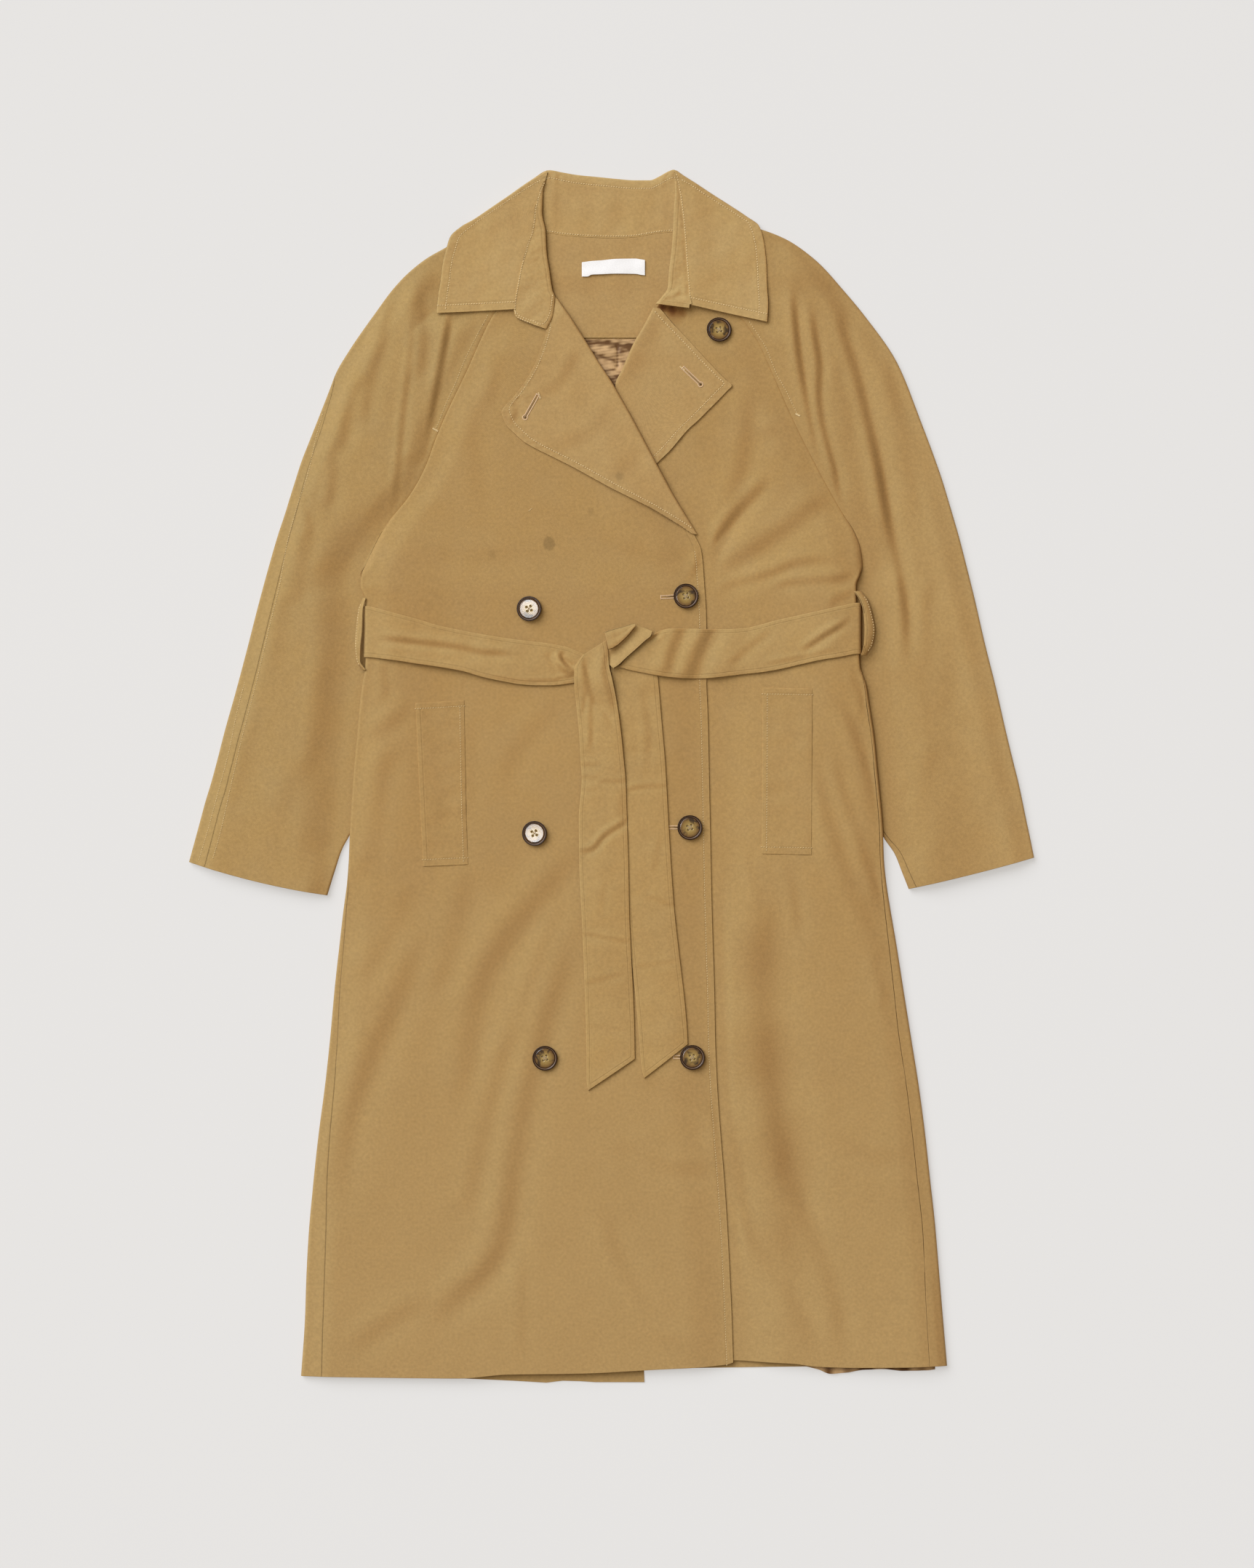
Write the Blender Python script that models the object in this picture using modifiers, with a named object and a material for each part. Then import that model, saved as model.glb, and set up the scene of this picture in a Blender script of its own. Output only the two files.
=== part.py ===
"""Double-breasted trench coat with raglan sleeves and a tied belt, laid flat and closed.

+X is the wearer's left, +Y the collar, +Z up; the origin is under the middle of the coat.
Each cloth panel is a grid of points through sections of the coat, and Solidify gives it its wall.
"""
import math
from collections import namedtuple

import bmesh
import bpy
from mathutils.bvhtree import BVHTree

# Cloth, in metres
CLOTH = 0.0012  # wall of the gabardine
SATIN = 0.0010  # wall of the lining and the label
SEAM_GAP = 0.0003
BEND_GAP = 0.0010  # between the middles of two walls that meet on a bend
UNDERARM_GAP = 0.0018
STEP = 0.0017  # from the middle of one layer to the middle of the next

# Heights of the middle of each layer above the floor
FLOOR_LEVEL = CLOTH / 2
FACING_LEVEL = 0.0021
LEFT_LEVEL = 0.0036  # the front that lies under
LEFT_SIDE_RISE = 0.0012
RIGHT_LEVEL = 0.0054  # the front that lies over
SLEEVE_LEVEL = 0.0048
TUCKED_SLEEVE_LEVEL = 0.0026  # where the body lies on the sleeve
LEAF_LEVEL = 0.0082
STAND_LEVEL = 0.0094
STAND_FOLD_LEVEL = 0.0050

# How far a layer rises over what lies under it
SLEEVE_LIFT = 0.0037
BELT_LIFT = 0.0016
LEAF_LIFT = 0.0016
ROLL_LIFT = 0.0016
LAPEL_ROLL = 0.0026  # extra height of a lapel along its roll line
TAIL_HEAD_RISE = 0.0030  # the upper tail where it crosses the belt
KNOT_RISE = 0.0022
LABEL_RISE = 0.0014

# Where those rises lie
BACK_RAMP_X = 0.198
BACK_RAMP_WIDTH = 0.022
FRONT_RAMP_X = 0.168
FRONT_RAMP_WIDTH = 0.062
SLEEVE_UNDER_LOW_Y = -0.112  # the body lies on the sleeves between these heights
SLEEVE_UNDER_HIGH_Y = 0.258
LEAF_UNDER_Y = 0.495  # the back of the collar lies under the coat above here
LEAF_RAMP_WIDTH = 0.025
LEAF_FOLD_Y = 0.566  # the collar leaves fold to the back above here
LEAF_REACH = 0.0018

# Looseness of the cloth between its edges
BODY_PUFF = 0.0028
POCKET_RELIEF = 0.0012
POCKET_X = 0.178
SLEEVE_PUFF = 0.0030

# Reach of a folded edge, from its middle to its outer side
SIDE_REACH = 0.0021
RAGLAN_REACH = 0.0013
ROLL_REACH = 0.0021

CENTRE_HEM_X = 0.0345  # the centre back seam runs from the neck to here
RAMP_XS = (0.1960, 0.2053, 0.2147, 0.2240)  # columns where the back rises over the sleeves
BELT_WIDTH = 0.0450
BELT_BACK_Y = 0.149
BELT_BACK_SPREAD = 0.006  # slack that widens the belt behind the back
BELT_BACK_ENDS = (-0.2492, 0.2517)
BELT_SIDE_Y = 0.146  # section of the body that the belt bends round
RIGHT_LAPEL_END_Y = 0.235
LEFT_LAPEL_END_Y = 0.400  # below here the left lapel is under the right one
BACK_TOP_Y = 0.548
FRONT_TOP_Y = 0.490

BUTTON_RADIUS = 0.01275
BUTTON_HEIGHT = 0.0042
BUTTON_STEPS = 12
BUTTON_UNDERSIDE = ((1.0, 0.62), (0.82, 0.12), (0.30, 0.0), (0.0, 0.0))  # shares of both sizes

GABARDINE = (0.447, 0.294, 0.127)
SATIN_COLOUR = (0.40, 0.29, 0.17)
LABEL_COLOUR = (0.85, 0.84, 0.80)
HORN = (0.060, 0.030, 0.014)
CLOTH_ROUGHNESS = 0.8
HORN_ROUGHNESS = 0.25

# Sections of the body from the hem up: side fold, how far in from it the side seam shows,
# and the front edge, which is the roll line above the top button
BodyRow = namedtuple("BodyRow", "y fold seam front")
RIGHT_ROWS = [
    BodyRow(-0.618, -0.3195, 0.0215, 0.1259),
    BodyRow(-0.560, -0.3155, 0.0190, 0.1245),
    BodyRow(-0.515, -0.3140, 0.0190, 0.1225),
    BodyRow(-0.470, -0.3115, 0.0180, 0.1202),
    BodyRow(-0.420, -0.3070, 0.0145, 0.1170),
    BodyRow(-0.370, -0.3015, 0.0120, 0.1130),
    BodyRow(-0.320, -0.2950, 0.0100, 0.1095),
    BodyRow(-0.270, -0.2895, 0.0080, 0.1074),
    BodyRow(-0.220, -0.2850, 0.0060, 0.1065),
    BodyRow(-0.175, -0.2800, 0.0048, 0.1050),
    BodyRow(-0.140, -0.2760, 0.0035, 0.1040),
    BodyRow(-0.110, -0.2720, 0.0015, 0.1033),
    BodyRow(-0.085, -0.2700, 0.0, 0.1028),
    BodyRow(-0.060, -0.2690, 0.0, 0.1023),
    BodyRow(0.005, -0.2648, 0.0, 0.1010),
    BodyRow(0.040, -0.2615, 0.0, 0.1003),
    BodyRow(0.070, -0.2590, 0.0, 0.0995),
    BodyRow(0.095, -0.2560, 0.0, 0.0984),
    BodyRow(0.112, -0.2530, 0.0, 0.0984),
    BodyRow(0.128, -0.2525, 0.0, 0.0984),
    BodyRow(0.146, -0.2525, 0.0, 0.0984),
    BodyRow(0.164, -0.2525, 0.0, 0.0981),
    BodyRow(0.180, -0.2528, 0.0, 0.0973),
    BodyRow(0.196, -0.2580, 0.0, 0.0962),
    BodyRow(0.207, -0.2570, 0.0, 0.0955),
    BodyRow(0.216, -0.2530, 0.0, 0.0949),
    BodyRow(0.232, -0.2455, 0.0, 0.0930),
    BodyRow(0.250, -0.2362, 0.0, 0.0880),
    BodyRow(0.268, -0.2238, 0.0, 0.0775),
    BodyRow(0.285, -0.2100, 0.0, 0.0670),
    BodyRow(0.303, -0.1987, 0.0, 0.0570),
    BodyRow(0.322, -0.1895, 0.0, 0.0465),
    BodyRow(0.345, -0.1812, 0.0, 0.0340),
    BodyRow(0.370, -0.1708, 0.0, 0.0210),
    BodyRow(0.420, -0.1470, 0.0, -0.0088),
    BodyRow(0.445, -0.1360, 0.0, -0.0243),
    BodyRow(0.468, -0.1250, 0.0, -0.0387),
    BodyRow(0.490, -0.1120, 0.0, -0.0540),
    BodyRow(0.520, -0.0950, 0.0, -0.0600),
    BodyRow(0.548, -0.0780, 0.0, -0.0660),
]
LEFT_ROWS = [
    BodyRow(-0.6075, 0.3464, 0.0185, -0.1100),
    BodyRow(-0.550, 0.3415, 0.0170, -0.1085),
    BodyRow(-0.505, 0.3378, 0.0150, -0.1075),
    BodyRow(-0.460, 0.3340, 0.0135, -0.1065),
    BodyRow(-0.415, 0.3290, 0.0135, -0.1055),
    BodyRow(-0.365, 0.3235, 0.0135, -0.1045),
    BodyRow(-0.320, 0.3175, 0.0130, -0.1040),
    BodyRow(-0.270, 0.3095, 0.0125, -0.1030),
    BodyRow(-0.220, 0.3015, 0.0100, -0.1025),
    BodyRow(-0.175, 0.2945, 0.0080, -0.1020),
    BodyRow(-0.140, 0.2885, 0.0060, -0.1015),
    BodyRow(-0.110, 0.2838, 0.0045, -0.1010),
    BodyRow(-0.085, 0.2812, 0.0040, -0.1005),
    BodyRow(-0.060, 0.2803, 0.0036, -0.1000),
    BodyRow(0.005, 0.2745, 0.0032, -0.0990),
    BodyRow(0.040, 0.2710, 0.0030, -0.0985),
    BodyRow(0.070, 0.2665, 0.0028, -0.0980),
    BodyRow(0.095, 0.2625, 0.0020, -0.0980),
    BodyRow(0.112, 0.2565, 0.0, -0.0980),
    BodyRow(0.128, 0.2555, 0.0, -0.0980),
    BodyRow(0.146, 0.2555, 0.0, -0.0980),
    BodyRow(0.164, 0.2550, 0.0, -0.0978),
    BodyRow(0.180, 0.2525, 0.0, -0.0972),
    BodyRow(0.196, 0.2525, 0.0, -0.0962),
    BodyRow(0.207, 0.2562, 0.0, -0.0955),
    BodyRow(0.216, 0.2585, 0.0, -0.0949),
    BodyRow(0.232, 0.2570, 0.0, -0.0930),
    BodyRow(0.250, 0.2510, 0.0, -0.0860),
    BodyRow(0.268, 0.2400, 0.0, -0.0740),
    BodyRow(0.285, 0.2300, 0.0, -0.0620),
    BodyRow(0.303, 0.2200, 0.0, -0.0510),
    BodyRow(0.322, 0.2100, 0.0, -0.0400),
    BodyRow(0.345, 0.1980, 0.0, -0.0270),
    BodyRow(0.370, 0.1860, 0.0, -0.0130),
    BodyRow(0.420, 0.1640, 0.0, 0.0120),
    BodyRow(0.445, 0.1525, 0.0, 0.0230),
    BodyRow(0.468, 0.1370, 0.0, 0.0355),
    BodyRow(0.490, 0.1230, 0.0, 0.0480),
    BodyRow(0.520, 0.1000, 0.0, 0.0560),
    BodyRow(0.548, 0.0800, 0.0, 0.0640),
]

# Sections of a sleeve from the neck to the cuff: its inner edge (raglan seam, then the part
# tucked under the body, then the open edge), its outer edge, and how far in the seams show
SleeveRow = namedtuple("SleeveRow", "inner_x inner_y outer_x outer_y outer_seam inner_seam")
RIGHT_SLEEVE = [
    SleeveRow(-0.0780, 0.548, -0.1480, 0.5590, 0.0, 0.0),
    SleeveRow(-0.0950, 0.520, -0.1690, 0.5450, 0.0, 0.0),
    SleeveRow(-0.1120, 0.490, -0.1900, 0.5330, 0.0, 0.0),
    SleeveRow(-0.1250, 0.468, -0.2100, 0.5170, 0.0, 0.0),
    SleeveRow(-0.1360, 0.445, -0.2260, 0.5000, 0.0, 0.0),
    SleeveRow(-0.1470, 0.420, -0.2400, 0.4810, 0.0, 0.0),
    SleeveRow(-0.1708, 0.370, -0.2700, 0.4380, 0.0, 0.0),
    SleeveRow(-0.1812, 0.345, -0.2830, 0.4160, 0.0, 0.0),
    SleeveRow(-0.1895, 0.322, -0.2900, 0.3980, 0.0040, 0.0),
    SleeveRow(-0.1987, 0.303, -0.2970, 0.3800, 0.0060, 0.0),
    SleeveRow(-0.2100, 0.285, -0.3045, 0.3610, 0.0080, 0.0),
    SleeveRow(-0.2238, 0.268, -0.3120, 0.3420, 0.0090, 0.0),
    SleeveRow(-0.2362, 0.250, -0.3190, 0.3240, 0.0100, 0.0),
    SleeveRow(-0.2455, 0.232, -0.3255, 0.3040, 0.0110, 0.0),
    SleeveRow(-0.2530, 0.216, -0.3320, 0.2830, 0.0120, 0.0),
    SleeveRow(-0.2570, 0.207, -0.3360, 0.2700, 0.0125, 0.0),
    SleeveRow(-0.2450, 0.185, -0.3430, 0.2490, 0.0130, 0.0),
    SleeveRow(-0.2340, 0.155, -0.3540, 0.2110, 0.0140, 0.0),
    SleeveRow(-0.2300, 0.115, -0.3640, 0.1740, 0.0150, 0.0),
    SleeveRow(-0.2310, 0.070, -0.3750, 0.1310, 0.0155, 0.0),
    SleeveRow(-0.2370, 0.025, -0.3870, 0.0860, 0.0160, 0.0),
    SleeveRow(-0.2480, -0.015, -0.3980, 0.0470, 0.0165, 0.0),
    SleeveRow(-0.2600, -0.043, -0.4070, 0.0120, 0.0165, 0.0),
    SleeveRow(-0.2690, -0.061, -0.4125, -0.0080, 0.0170, 0.0),
    SleeveRow(-0.2770, -0.076, -0.4180, -0.0260, 0.0170, 0.0),
    SleeveRow(-0.2840, -0.097, -0.4250, -0.0520, 0.0170, 0.0),
    SleeveRow(-0.2920, -0.123, -0.4350, -0.0885, 0.0170, 0.0),
]
LEFT_SLEEVE = [
    SleeveRow(0.0800, 0.548, 0.1360, 0.5680, 0.0, 0.0),
    SleeveRow(0.1000, 0.520, 0.1560, 0.5625, 0.0, 0.0),
    SleeveRow(0.1230, 0.490, 0.1800, 0.5530, 0.0, 0.0),
    SleeveRow(0.1370, 0.468, 0.2100, 0.5320, 0.0, 0.0),
    SleeveRow(0.1525, 0.445, 0.2400, 0.5000, 0.0, 0.0),
    SleeveRow(0.1640, 0.420, 0.2600, 0.4760, 0.0, 0.0),
    SleeveRow(0.1860, 0.370, 0.2935, 0.4285, 0.0, 0.0),
    SleeveRow(0.1980, 0.345, 0.3035, 0.4070, 0.0, 0.0),
    SleeveRow(0.2100, 0.322, 0.3120, 0.3850, 0.0, 0.0),
    SleeveRow(0.2200, 0.303, 0.3195, 0.3650, 0.0, 0.0),
    SleeveRow(0.2300, 0.285, 0.3260, 0.3480, 0.0, 0.0),
    SleeveRow(0.2400, 0.268, 0.3330, 0.3290, 0.0, 0.0),
    SleeveRow(0.2510, 0.250, 0.3410, 0.3060, 0.0, 0.0),
    SleeveRow(0.2570, 0.232, 0.3480, 0.2830, 0.0, 0.0),
    SleeveRow(0.2585, 0.216, 0.3545, 0.2610, 0.0, 0.0),
    SleeveRow(0.2562, 0.207, 0.3580, 0.2490, 0.0, 0.0),
    SleeveRow(0.2450, 0.185, 0.3650, 0.2220, 0.0, 0.0),
    SleeveRow(0.2360, 0.155, 0.3740, 0.1860, 0.0, 0.0),
    SleeveRow(0.2330, 0.115, 0.3855, 0.1360, 0.0, 0.0),
    SleeveRow(0.2350, 0.070, 0.3965, 0.0920, 0.0, 0.0),
    SleeveRow(0.2440, 0.025, 0.4070, 0.0460, 0.0, 0.0),
    SleeveRow(0.2570, -0.015, 0.4150, 0.0130, 0.0, 0.0),
    SleeveRow(0.2700, -0.043, 0.4200, -0.0070, 0.0, 0.0015),
    SleeveRow(0.2810, -0.064, 0.4245, -0.0280, 0.0, 0.0040),
    SleeveRow(0.2920, -0.080, 0.4275, -0.0430, 0.0, 0.0060),
    SleeveRow(0.3000, -0.100, 0.4320, -0.0640, 0.0, 0.0070),
    SleeveRow(0.3065, -0.1165, 0.4360, -0.0840, 0.0, 0.0080),
]

# The largest folds: a trough from one end to the other, bowed sideways at its middle
Fold = namedtuple("Fold", "x0 y0 x1 y1 bow width depth")
BODY_FOLDS = [
    Fold(-0.040, -0.070, -0.178, -0.220, 0.000, 0.026, 0.0022),
    Fold(-0.236, -0.150, -0.282, -0.450, -0.010, 0.026, 0.0022),
    Fold(-0.080, -0.265, -0.195, -0.560, -0.024, 0.026, 0.0026),
    Fold(-0.014, -0.410, 0.045, -0.520, 0.000, 0.026, 0.0014),
    Fold(-0.225, 0.085, -0.252, -0.060, 0.000, 0.020, 0.0014),
    Fold(-0.150, 0.260, -0.235, 0.190, 0.000, 0.026, 0.0014),
    Fold(0.158, -0.110, 0.178, -0.440, 0.008, 0.026, 0.0024),
    Fold(0.104, -0.320, 0.212, -0.585, 0.010, 0.026, 0.0024),
    Fold(0.228, -0.045, 0.293, -0.205, -0.006, 0.022, 0.0022),
    Fold(0.203, 0.108, 0.268, 0.000, -0.004, 0.020, 0.0016),
    Fold(0.100, 0.236, 0.170, 0.316, 0.004, 0.020, 0.0016),
    Fold(0.150, 0.215, 0.244, 0.192, 0.000, 0.020, 0.0014),
]
RIGHT_SLEEVE_FOLDS = [
    Fold(-0.170, 0.490, -0.190, 0.330, 0.004, 0.016, 0.0030),
    Fold(-0.222, 0.495, -0.292, 0.270, -0.010, 0.022, 0.0026),
    Fold(-0.286, 0.250, -0.278, 0.090, 0.004, 0.020, 0.0018),
    Fold(-0.296, 0.075, -0.347, -0.065, 0.000, 0.024, 0.0020),
]
LEFT_SLEEVE_FOLDS = [
    Fold(0.184, 0.505, 0.217, 0.318, 0.004, 0.017, 0.0028),
    Fold(0.185, 0.535, 0.262, 0.370, -0.016, 0.020, 0.0024),
    Fold(0.260, 0.365, 0.312, 0.135, -0.004, 0.022, 0.0026),
    Fold(0.276, 0.255, 0.284, 0.060, 0.003, 0.020, 0.0018),
]

# A strip or flap between two edges: matching points along the first and the second edge
Rung = namedtuple("Rung", "x0 y0 x1 y1")
LAPEL_RIGHT = [
    Rung(-0.055, 0.491, -0.068, 0.470),
    Rung(-0.048, 0.481, -0.068, 0.455),
    Rung(-0.040, 0.470, -0.072, 0.440),
    Rung(-0.032, 0.457, -0.080, 0.420),
    Rung(-0.022, 0.441, -0.090, 0.403),
    Rung(-0.012, 0.425, -0.100, 0.390),
    Rung(-0.002, 0.409, -0.112, 0.374),
    Rung(0.004, 0.400, -0.107, 0.360),
    Rung(0.012, 0.386, -0.090, 0.344),
    Rung(0.020, 0.372, -0.060, 0.328),
    Rung(0.033, 0.347, -0.020, 0.307),
    Rung(0.047, 0.321, 0.020, 0.286),
    Rung(0.065, 0.288, 0.052, 0.269),
    Rung(0.082, 0.260, 0.074, 0.2545),
]
LAPEL_LEFT = [
    Rung(0.043, 0.482, 0.0500, 0.481),
    Rung(0.038, 0.472, 0.060, 0.470),
    Rung(0.031, 0.459, 0.080, 0.448),
    Rung(0.025, 0.449, 0.100, 0.426),
    Rung(0.018, 0.434, 0.1245, 0.4015),
    Rung(0.011, 0.418, 0.110, 0.386),
    Rung(0.004, 0.402, 0.100, 0.376),
    Rung(0.004, 0.388, 0.090, 0.366),
    Rung(0.013, 0.370, 0.080, 0.357),
    Rung(0.024, 0.348, 0.060, 0.334),
    Rung(0.038, 0.324, 0.047, 0.3215),
]
LEAF_RIGHT = [
    Rung(-0.0670, 0.6150, -0.0740, 0.6190),
    Rung(-0.0710, 0.6050, -0.0880, 0.6100),
    Rung(-0.0745, 0.5950, -0.1040, 0.5985),
    Rung(-0.0775, 0.5830, -0.1220, 0.5862),
    Rung(-0.0790, 0.5710, -0.1400, 0.5740),
    Rung(-0.0810, 0.5590, -0.1560, 0.5640),
    Rung(-0.0850, 0.5480, -0.1655, 0.5550),
    Rung(-0.0880, 0.5370, -0.1695, 0.5430),
    Rung(-0.0910, 0.5270, -0.1730, 0.5300),
    Rung(-0.0940, 0.5130, -0.1760, 0.5070),
    Rung(-0.0970, 0.4970, -0.1780, 0.4950),
    Rung(-0.1000, 0.4800, -0.1800, 0.4760),
]
LEAF_LEFT = [
    Rung(0.0680, 0.6150, 0.0740, 0.6190),
    Rung(0.0700, 0.6050, 0.0880, 0.6100),
    Rung(0.0720, 0.5940, 0.1040, 0.5995),
    Rung(0.0735, 0.5820, 0.1220, 0.5880),
    Rung(0.0750, 0.5700, 0.1400, 0.5760),
    Rung(0.0760, 0.5580, 0.1520, 0.5670),
    Rung(0.0770, 0.5450, 0.1560, 0.5570),
    Rung(0.0780, 0.5320, 0.1590, 0.5400),
    Rung(0.0790, 0.5180, 0.1605, 0.5200),
    Rung(0.0800, 0.5050, 0.1610, 0.5030),
    Rung(0.0810, 0.4940, 0.1620, 0.4860),
    Rung(0.0830, 0.4845, 0.1610, 0.4670),
]
STAND_RIGHT = [
    Rung(-0.0695, 0.6020, -0.0715, 0.6015),
    Rung(-0.0700, 0.5800, -0.0775, 0.5790),
    Rung(-0.0670, 0.5600, -0.0802, 0.5590),
    Rung(-0.0660, 0.5400, -0.0868, 0.5380),
    Rung(-0.0630, 0.5200, -0.0920, 0.5170),
    Rung(-0.0600, 0.5000, -0.0962, 0.4970),
    Rung(-0.0575, 0.4920, -0.0992, 0.4800),
    Rung(-0.0600, 0.4750, -0.0975, 0.4725),
    Rung(-0.0670, 0.4590, -0.0800, 0.4640),
]
STAND_LEFT = [
    Rung(0.0660, 0.6020, 0.0685, 0.6015),
    Rung(0.0645, 0.5800, 0.0728, 0.5790),
    Rung(0.0635, 0.5600, 0.0752, 0.5590),
    Rung(0.0620, 0.5400, 0.0770, 0.5390),
    Rung(0.0595, 0.5200, 0.0782, 0.5190),
    Rung(0.0580, 0.5020, 0.0794, 0.5010),
    Rung(0.0520, 0.4930, 0.0805, 0.4910),
    Rung(0.0450, 0.4860, 0.0795, 0.4825),
]
BELT_RIGHT = [
    Rung(-0.2480, 0.1745, -0.2480, 0.1220),
    Rung(-0.2350, 0.1710, -0.2350, 0.1204),
    Rung(-0.2170, 0.1660, -0.2170, 0.1180),
    Rung(-0.1980, 0.1610, -0.1980, 0.1150),
    Rung(-0.1800, 0.1555, -0.1800, 0.1125),
    Rung(-0.1500, 0.1490, -0.1520, 0.1075),
    Rung(-0.1030, 0.1410, -0.1100, 0.0970),
    Rung(-0.0690, 0.1370, -0.0750, 0.0930),
    Rung(-0.0450, 0.1325, -0.0500, 0.0940),
    Rung(-0.0250, 0.1240, -0.0330, 0.0965),
]
BELT_LEFT = [
    Rung(0.2510, 0.1780, 0.2510, 0.1255),
    Rung(0.2350, 0.1745, 0.2350, 0.1222),
    Rung(0.2150, 0.1700, 0.2150, 0.1190),
    Rung(0.1970, 0.1660, 0.1960, 0.1148),
    Rung(0.1700, 0.1600, 0.1700, 0.1090),
    Rung(0.1370, 0.1520, 0.1400, 0.1050),
    Rung(0.0980, 0.1510, 0.1050, 0.1010),
    Rung(0.0690, 0.1515, 0.0750, 0.1005),
    Rung(0.0530, 0.1500, 0.0500, 0.1030),
    Rung(0.0400, 0.1430, 0.0280, 0.1070),
    Rung(0.0200, 0.1260, 0.0080, 0.1115),
]
TAIL_UPPER = [
    Rung(-0.0290, 0.1240, -0.0050, 0.1395),
    Rung(-0.0340, 0.1170, -0.0030, 0.1290),
    Rung(-0.0376, 0.1100, -0.0020, 0.1150),
    Rung(-0.0376, 0.0950, 0.0015, 0.0990),
    Rung(-0.0360, 0.0770, 0.0055, 0.0790),
    Rung(-0.0330, 0.0470, 0.0100, 0.0480),
    Rung(-0.0310, 0.0150, 0.0134, 0.0150),
    Rung(-0.0300, -0.0030, 0.0150, -0.0030),
    Rung(-0.0330, -0.0440, 0.0165, -0.0440),
    Rung(-0.0325, -0.0900, 0.0180, -0.0900),
    Rung(-0.0300, -0.1450, 0.0190, -0.1450),
    Rung(-0.0280, -0.1900, 0.0210, -0.1880),
    Rung(-0.0264, -0.2350, 0.0230, -0.2280),
    Rung(-0.0250, -0.2840, 0.0240, -0.2650),
    Rung(-0.0235, -0.3220, 0.0246, -0.2910),
]
TAIL_LOWER = [
    Rung(-0.0010, 0.1180, 0.0460, 0.1220),
    Rung(0.0010, 0.0980, 0.0485, 0.0990),
    Rung(0.0040, 0.0500, 0.0525, 0.0520),
    Rung(0.0065, 0.0150, 0.0555, 0.0180),
    Rung(0.0100, -0.0440, 0.0590, -0.0440),
    Rung(0.0140, -0.0950, 0.0620, -0.0950),
    Rung(0.0170, -0.1360, 0.0650, -0.1360),
    Rung(0.0210, -0.1850, 0.0700, -0.1820),
    Rung(0.0260, -0.2350, 0.0756, -0.2350),
    Rung(0.0300, -0.2850, 0.0780, -0.2600),
    Rung(0.0330, -0.3100, 0.0790, -0.2760),
]
KNOT_LOWER = [
    Rung(0.0265, 0.1550, 0.0430, 0.1480),
    Rung(0.0160, 0.1445, 0.0320, 0.1360),
    Rung(0.0080, 0.1355, 0.0200, 0.1255),
    Rung(0.0010, 0.1260, 0.0100, 0.1165),
]
KNOT_UPPER = [
    Rung(0.0235, 0.1555, 0.0248, 0.1540),
    Rung(0.0110, 0.1525, 0.0150, 0.1430),
    Rung(0.0020, 0.1500, 0.0060, 0.1330),
    Rung(-0.0062, 0.1475, -0.0010, 0.1305),
]

WELTS = {
    "pocket_welt_right": [
        Rung(-0.2010, 0.0750, -0.1510, 0.0780),
        Rung(-0.1930, -0.0930, -0.1470, -0.0910),
    ],
    "pocket_welt_left": [
        Rung(0.1560, 0.0910, 0.2070, 0.0900),
        Rung(0.1550, -0.0800, 0.2060, -0.0810),
    ],
}

# Belt loops: the outer side of each strap, and how far it stands in over the belt
LoopRow = namedtuple("LoopRow", "y outer_x outer_z inner_x inner_z")
LOOP_RIGHT = [
    LoopRow(0.183, -0.2549, 0.0080, -0.2515, 0.0125),
    LoopRow(0.170, -0.2605, 0.0085, -0.2570, 0.0130),
    LoopRow(0.150, -0.2622, 0.0090, -0.2585, 0.0138),
    LoopRow(0.132, -0.2630, 0.0090, -0.2590, 0.0135),
    LoopRow(0.118, -0.2612, 0.0075, -0.2575, 0.0115),
    LoopRow(0.109, -0.2549, 0.0076, -0.2515, 0.0119),
]
LOOP_LEFT = [
    LoopRow(0.190, 0.2570, 0.0070, 0.2495, 0.0112),
    LoopRow(0.180, 0.2640, 0.0080, 0.2560, 0.0125),
    LoopRow(0.167, 0.2680, 0.0085, 0.2595, 0.0135),
    LoopRow(0.150, 0.2710, 0.0085, 0.2605, 0.0140),
    LoopRow(0.136, 0.2690, 0.0080, 0.2600, 0.0130),
    LoopRow(0.124, 0.2620, 0.0070, 0.2570, 0.0105),
]

# Inside of the neck: half widths of the facing and the satin under it
NeckRow = namedtuple("NeckRow", "y left right")
FACING_ROWS = [
    NeckRow(0.5530, -0.0640, 0.0615),
    NeckRow(0.5350, -0.0710, 0.0700),
    NeckRow(0.5100, -0.0700, 0.0690),
    NeckRow(0.4900, -0.0680, 0.0640),
    NeckRow(0.4700, -0.0540, 0.0500),
    NeckRow(0.4515, -0.0420, 0.0390),
]
SATIN_ROWS = [
    NeckRow(0.4502, -0.0420, 0.0390),
    NeckRow(0.4350, -0.0320, 0.0320),
    NeckRow(0.4150, -0.0200, 0.0230),
    NeckRow(0.3900, -0.0050, 0.0150),
]
LABEL_RUNGS = [
    Rung(-0.0300, 0.5290, -0.0300, 0.5145),
    Rung(-0.0100, 0.5310, -0.0100, 0.5165),
    Rung(0.0100, 0.5328, 0.0100, 0.5172),
    Rung(0.0350, 0.5320, 0.0350, 0.5160),
]

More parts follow.
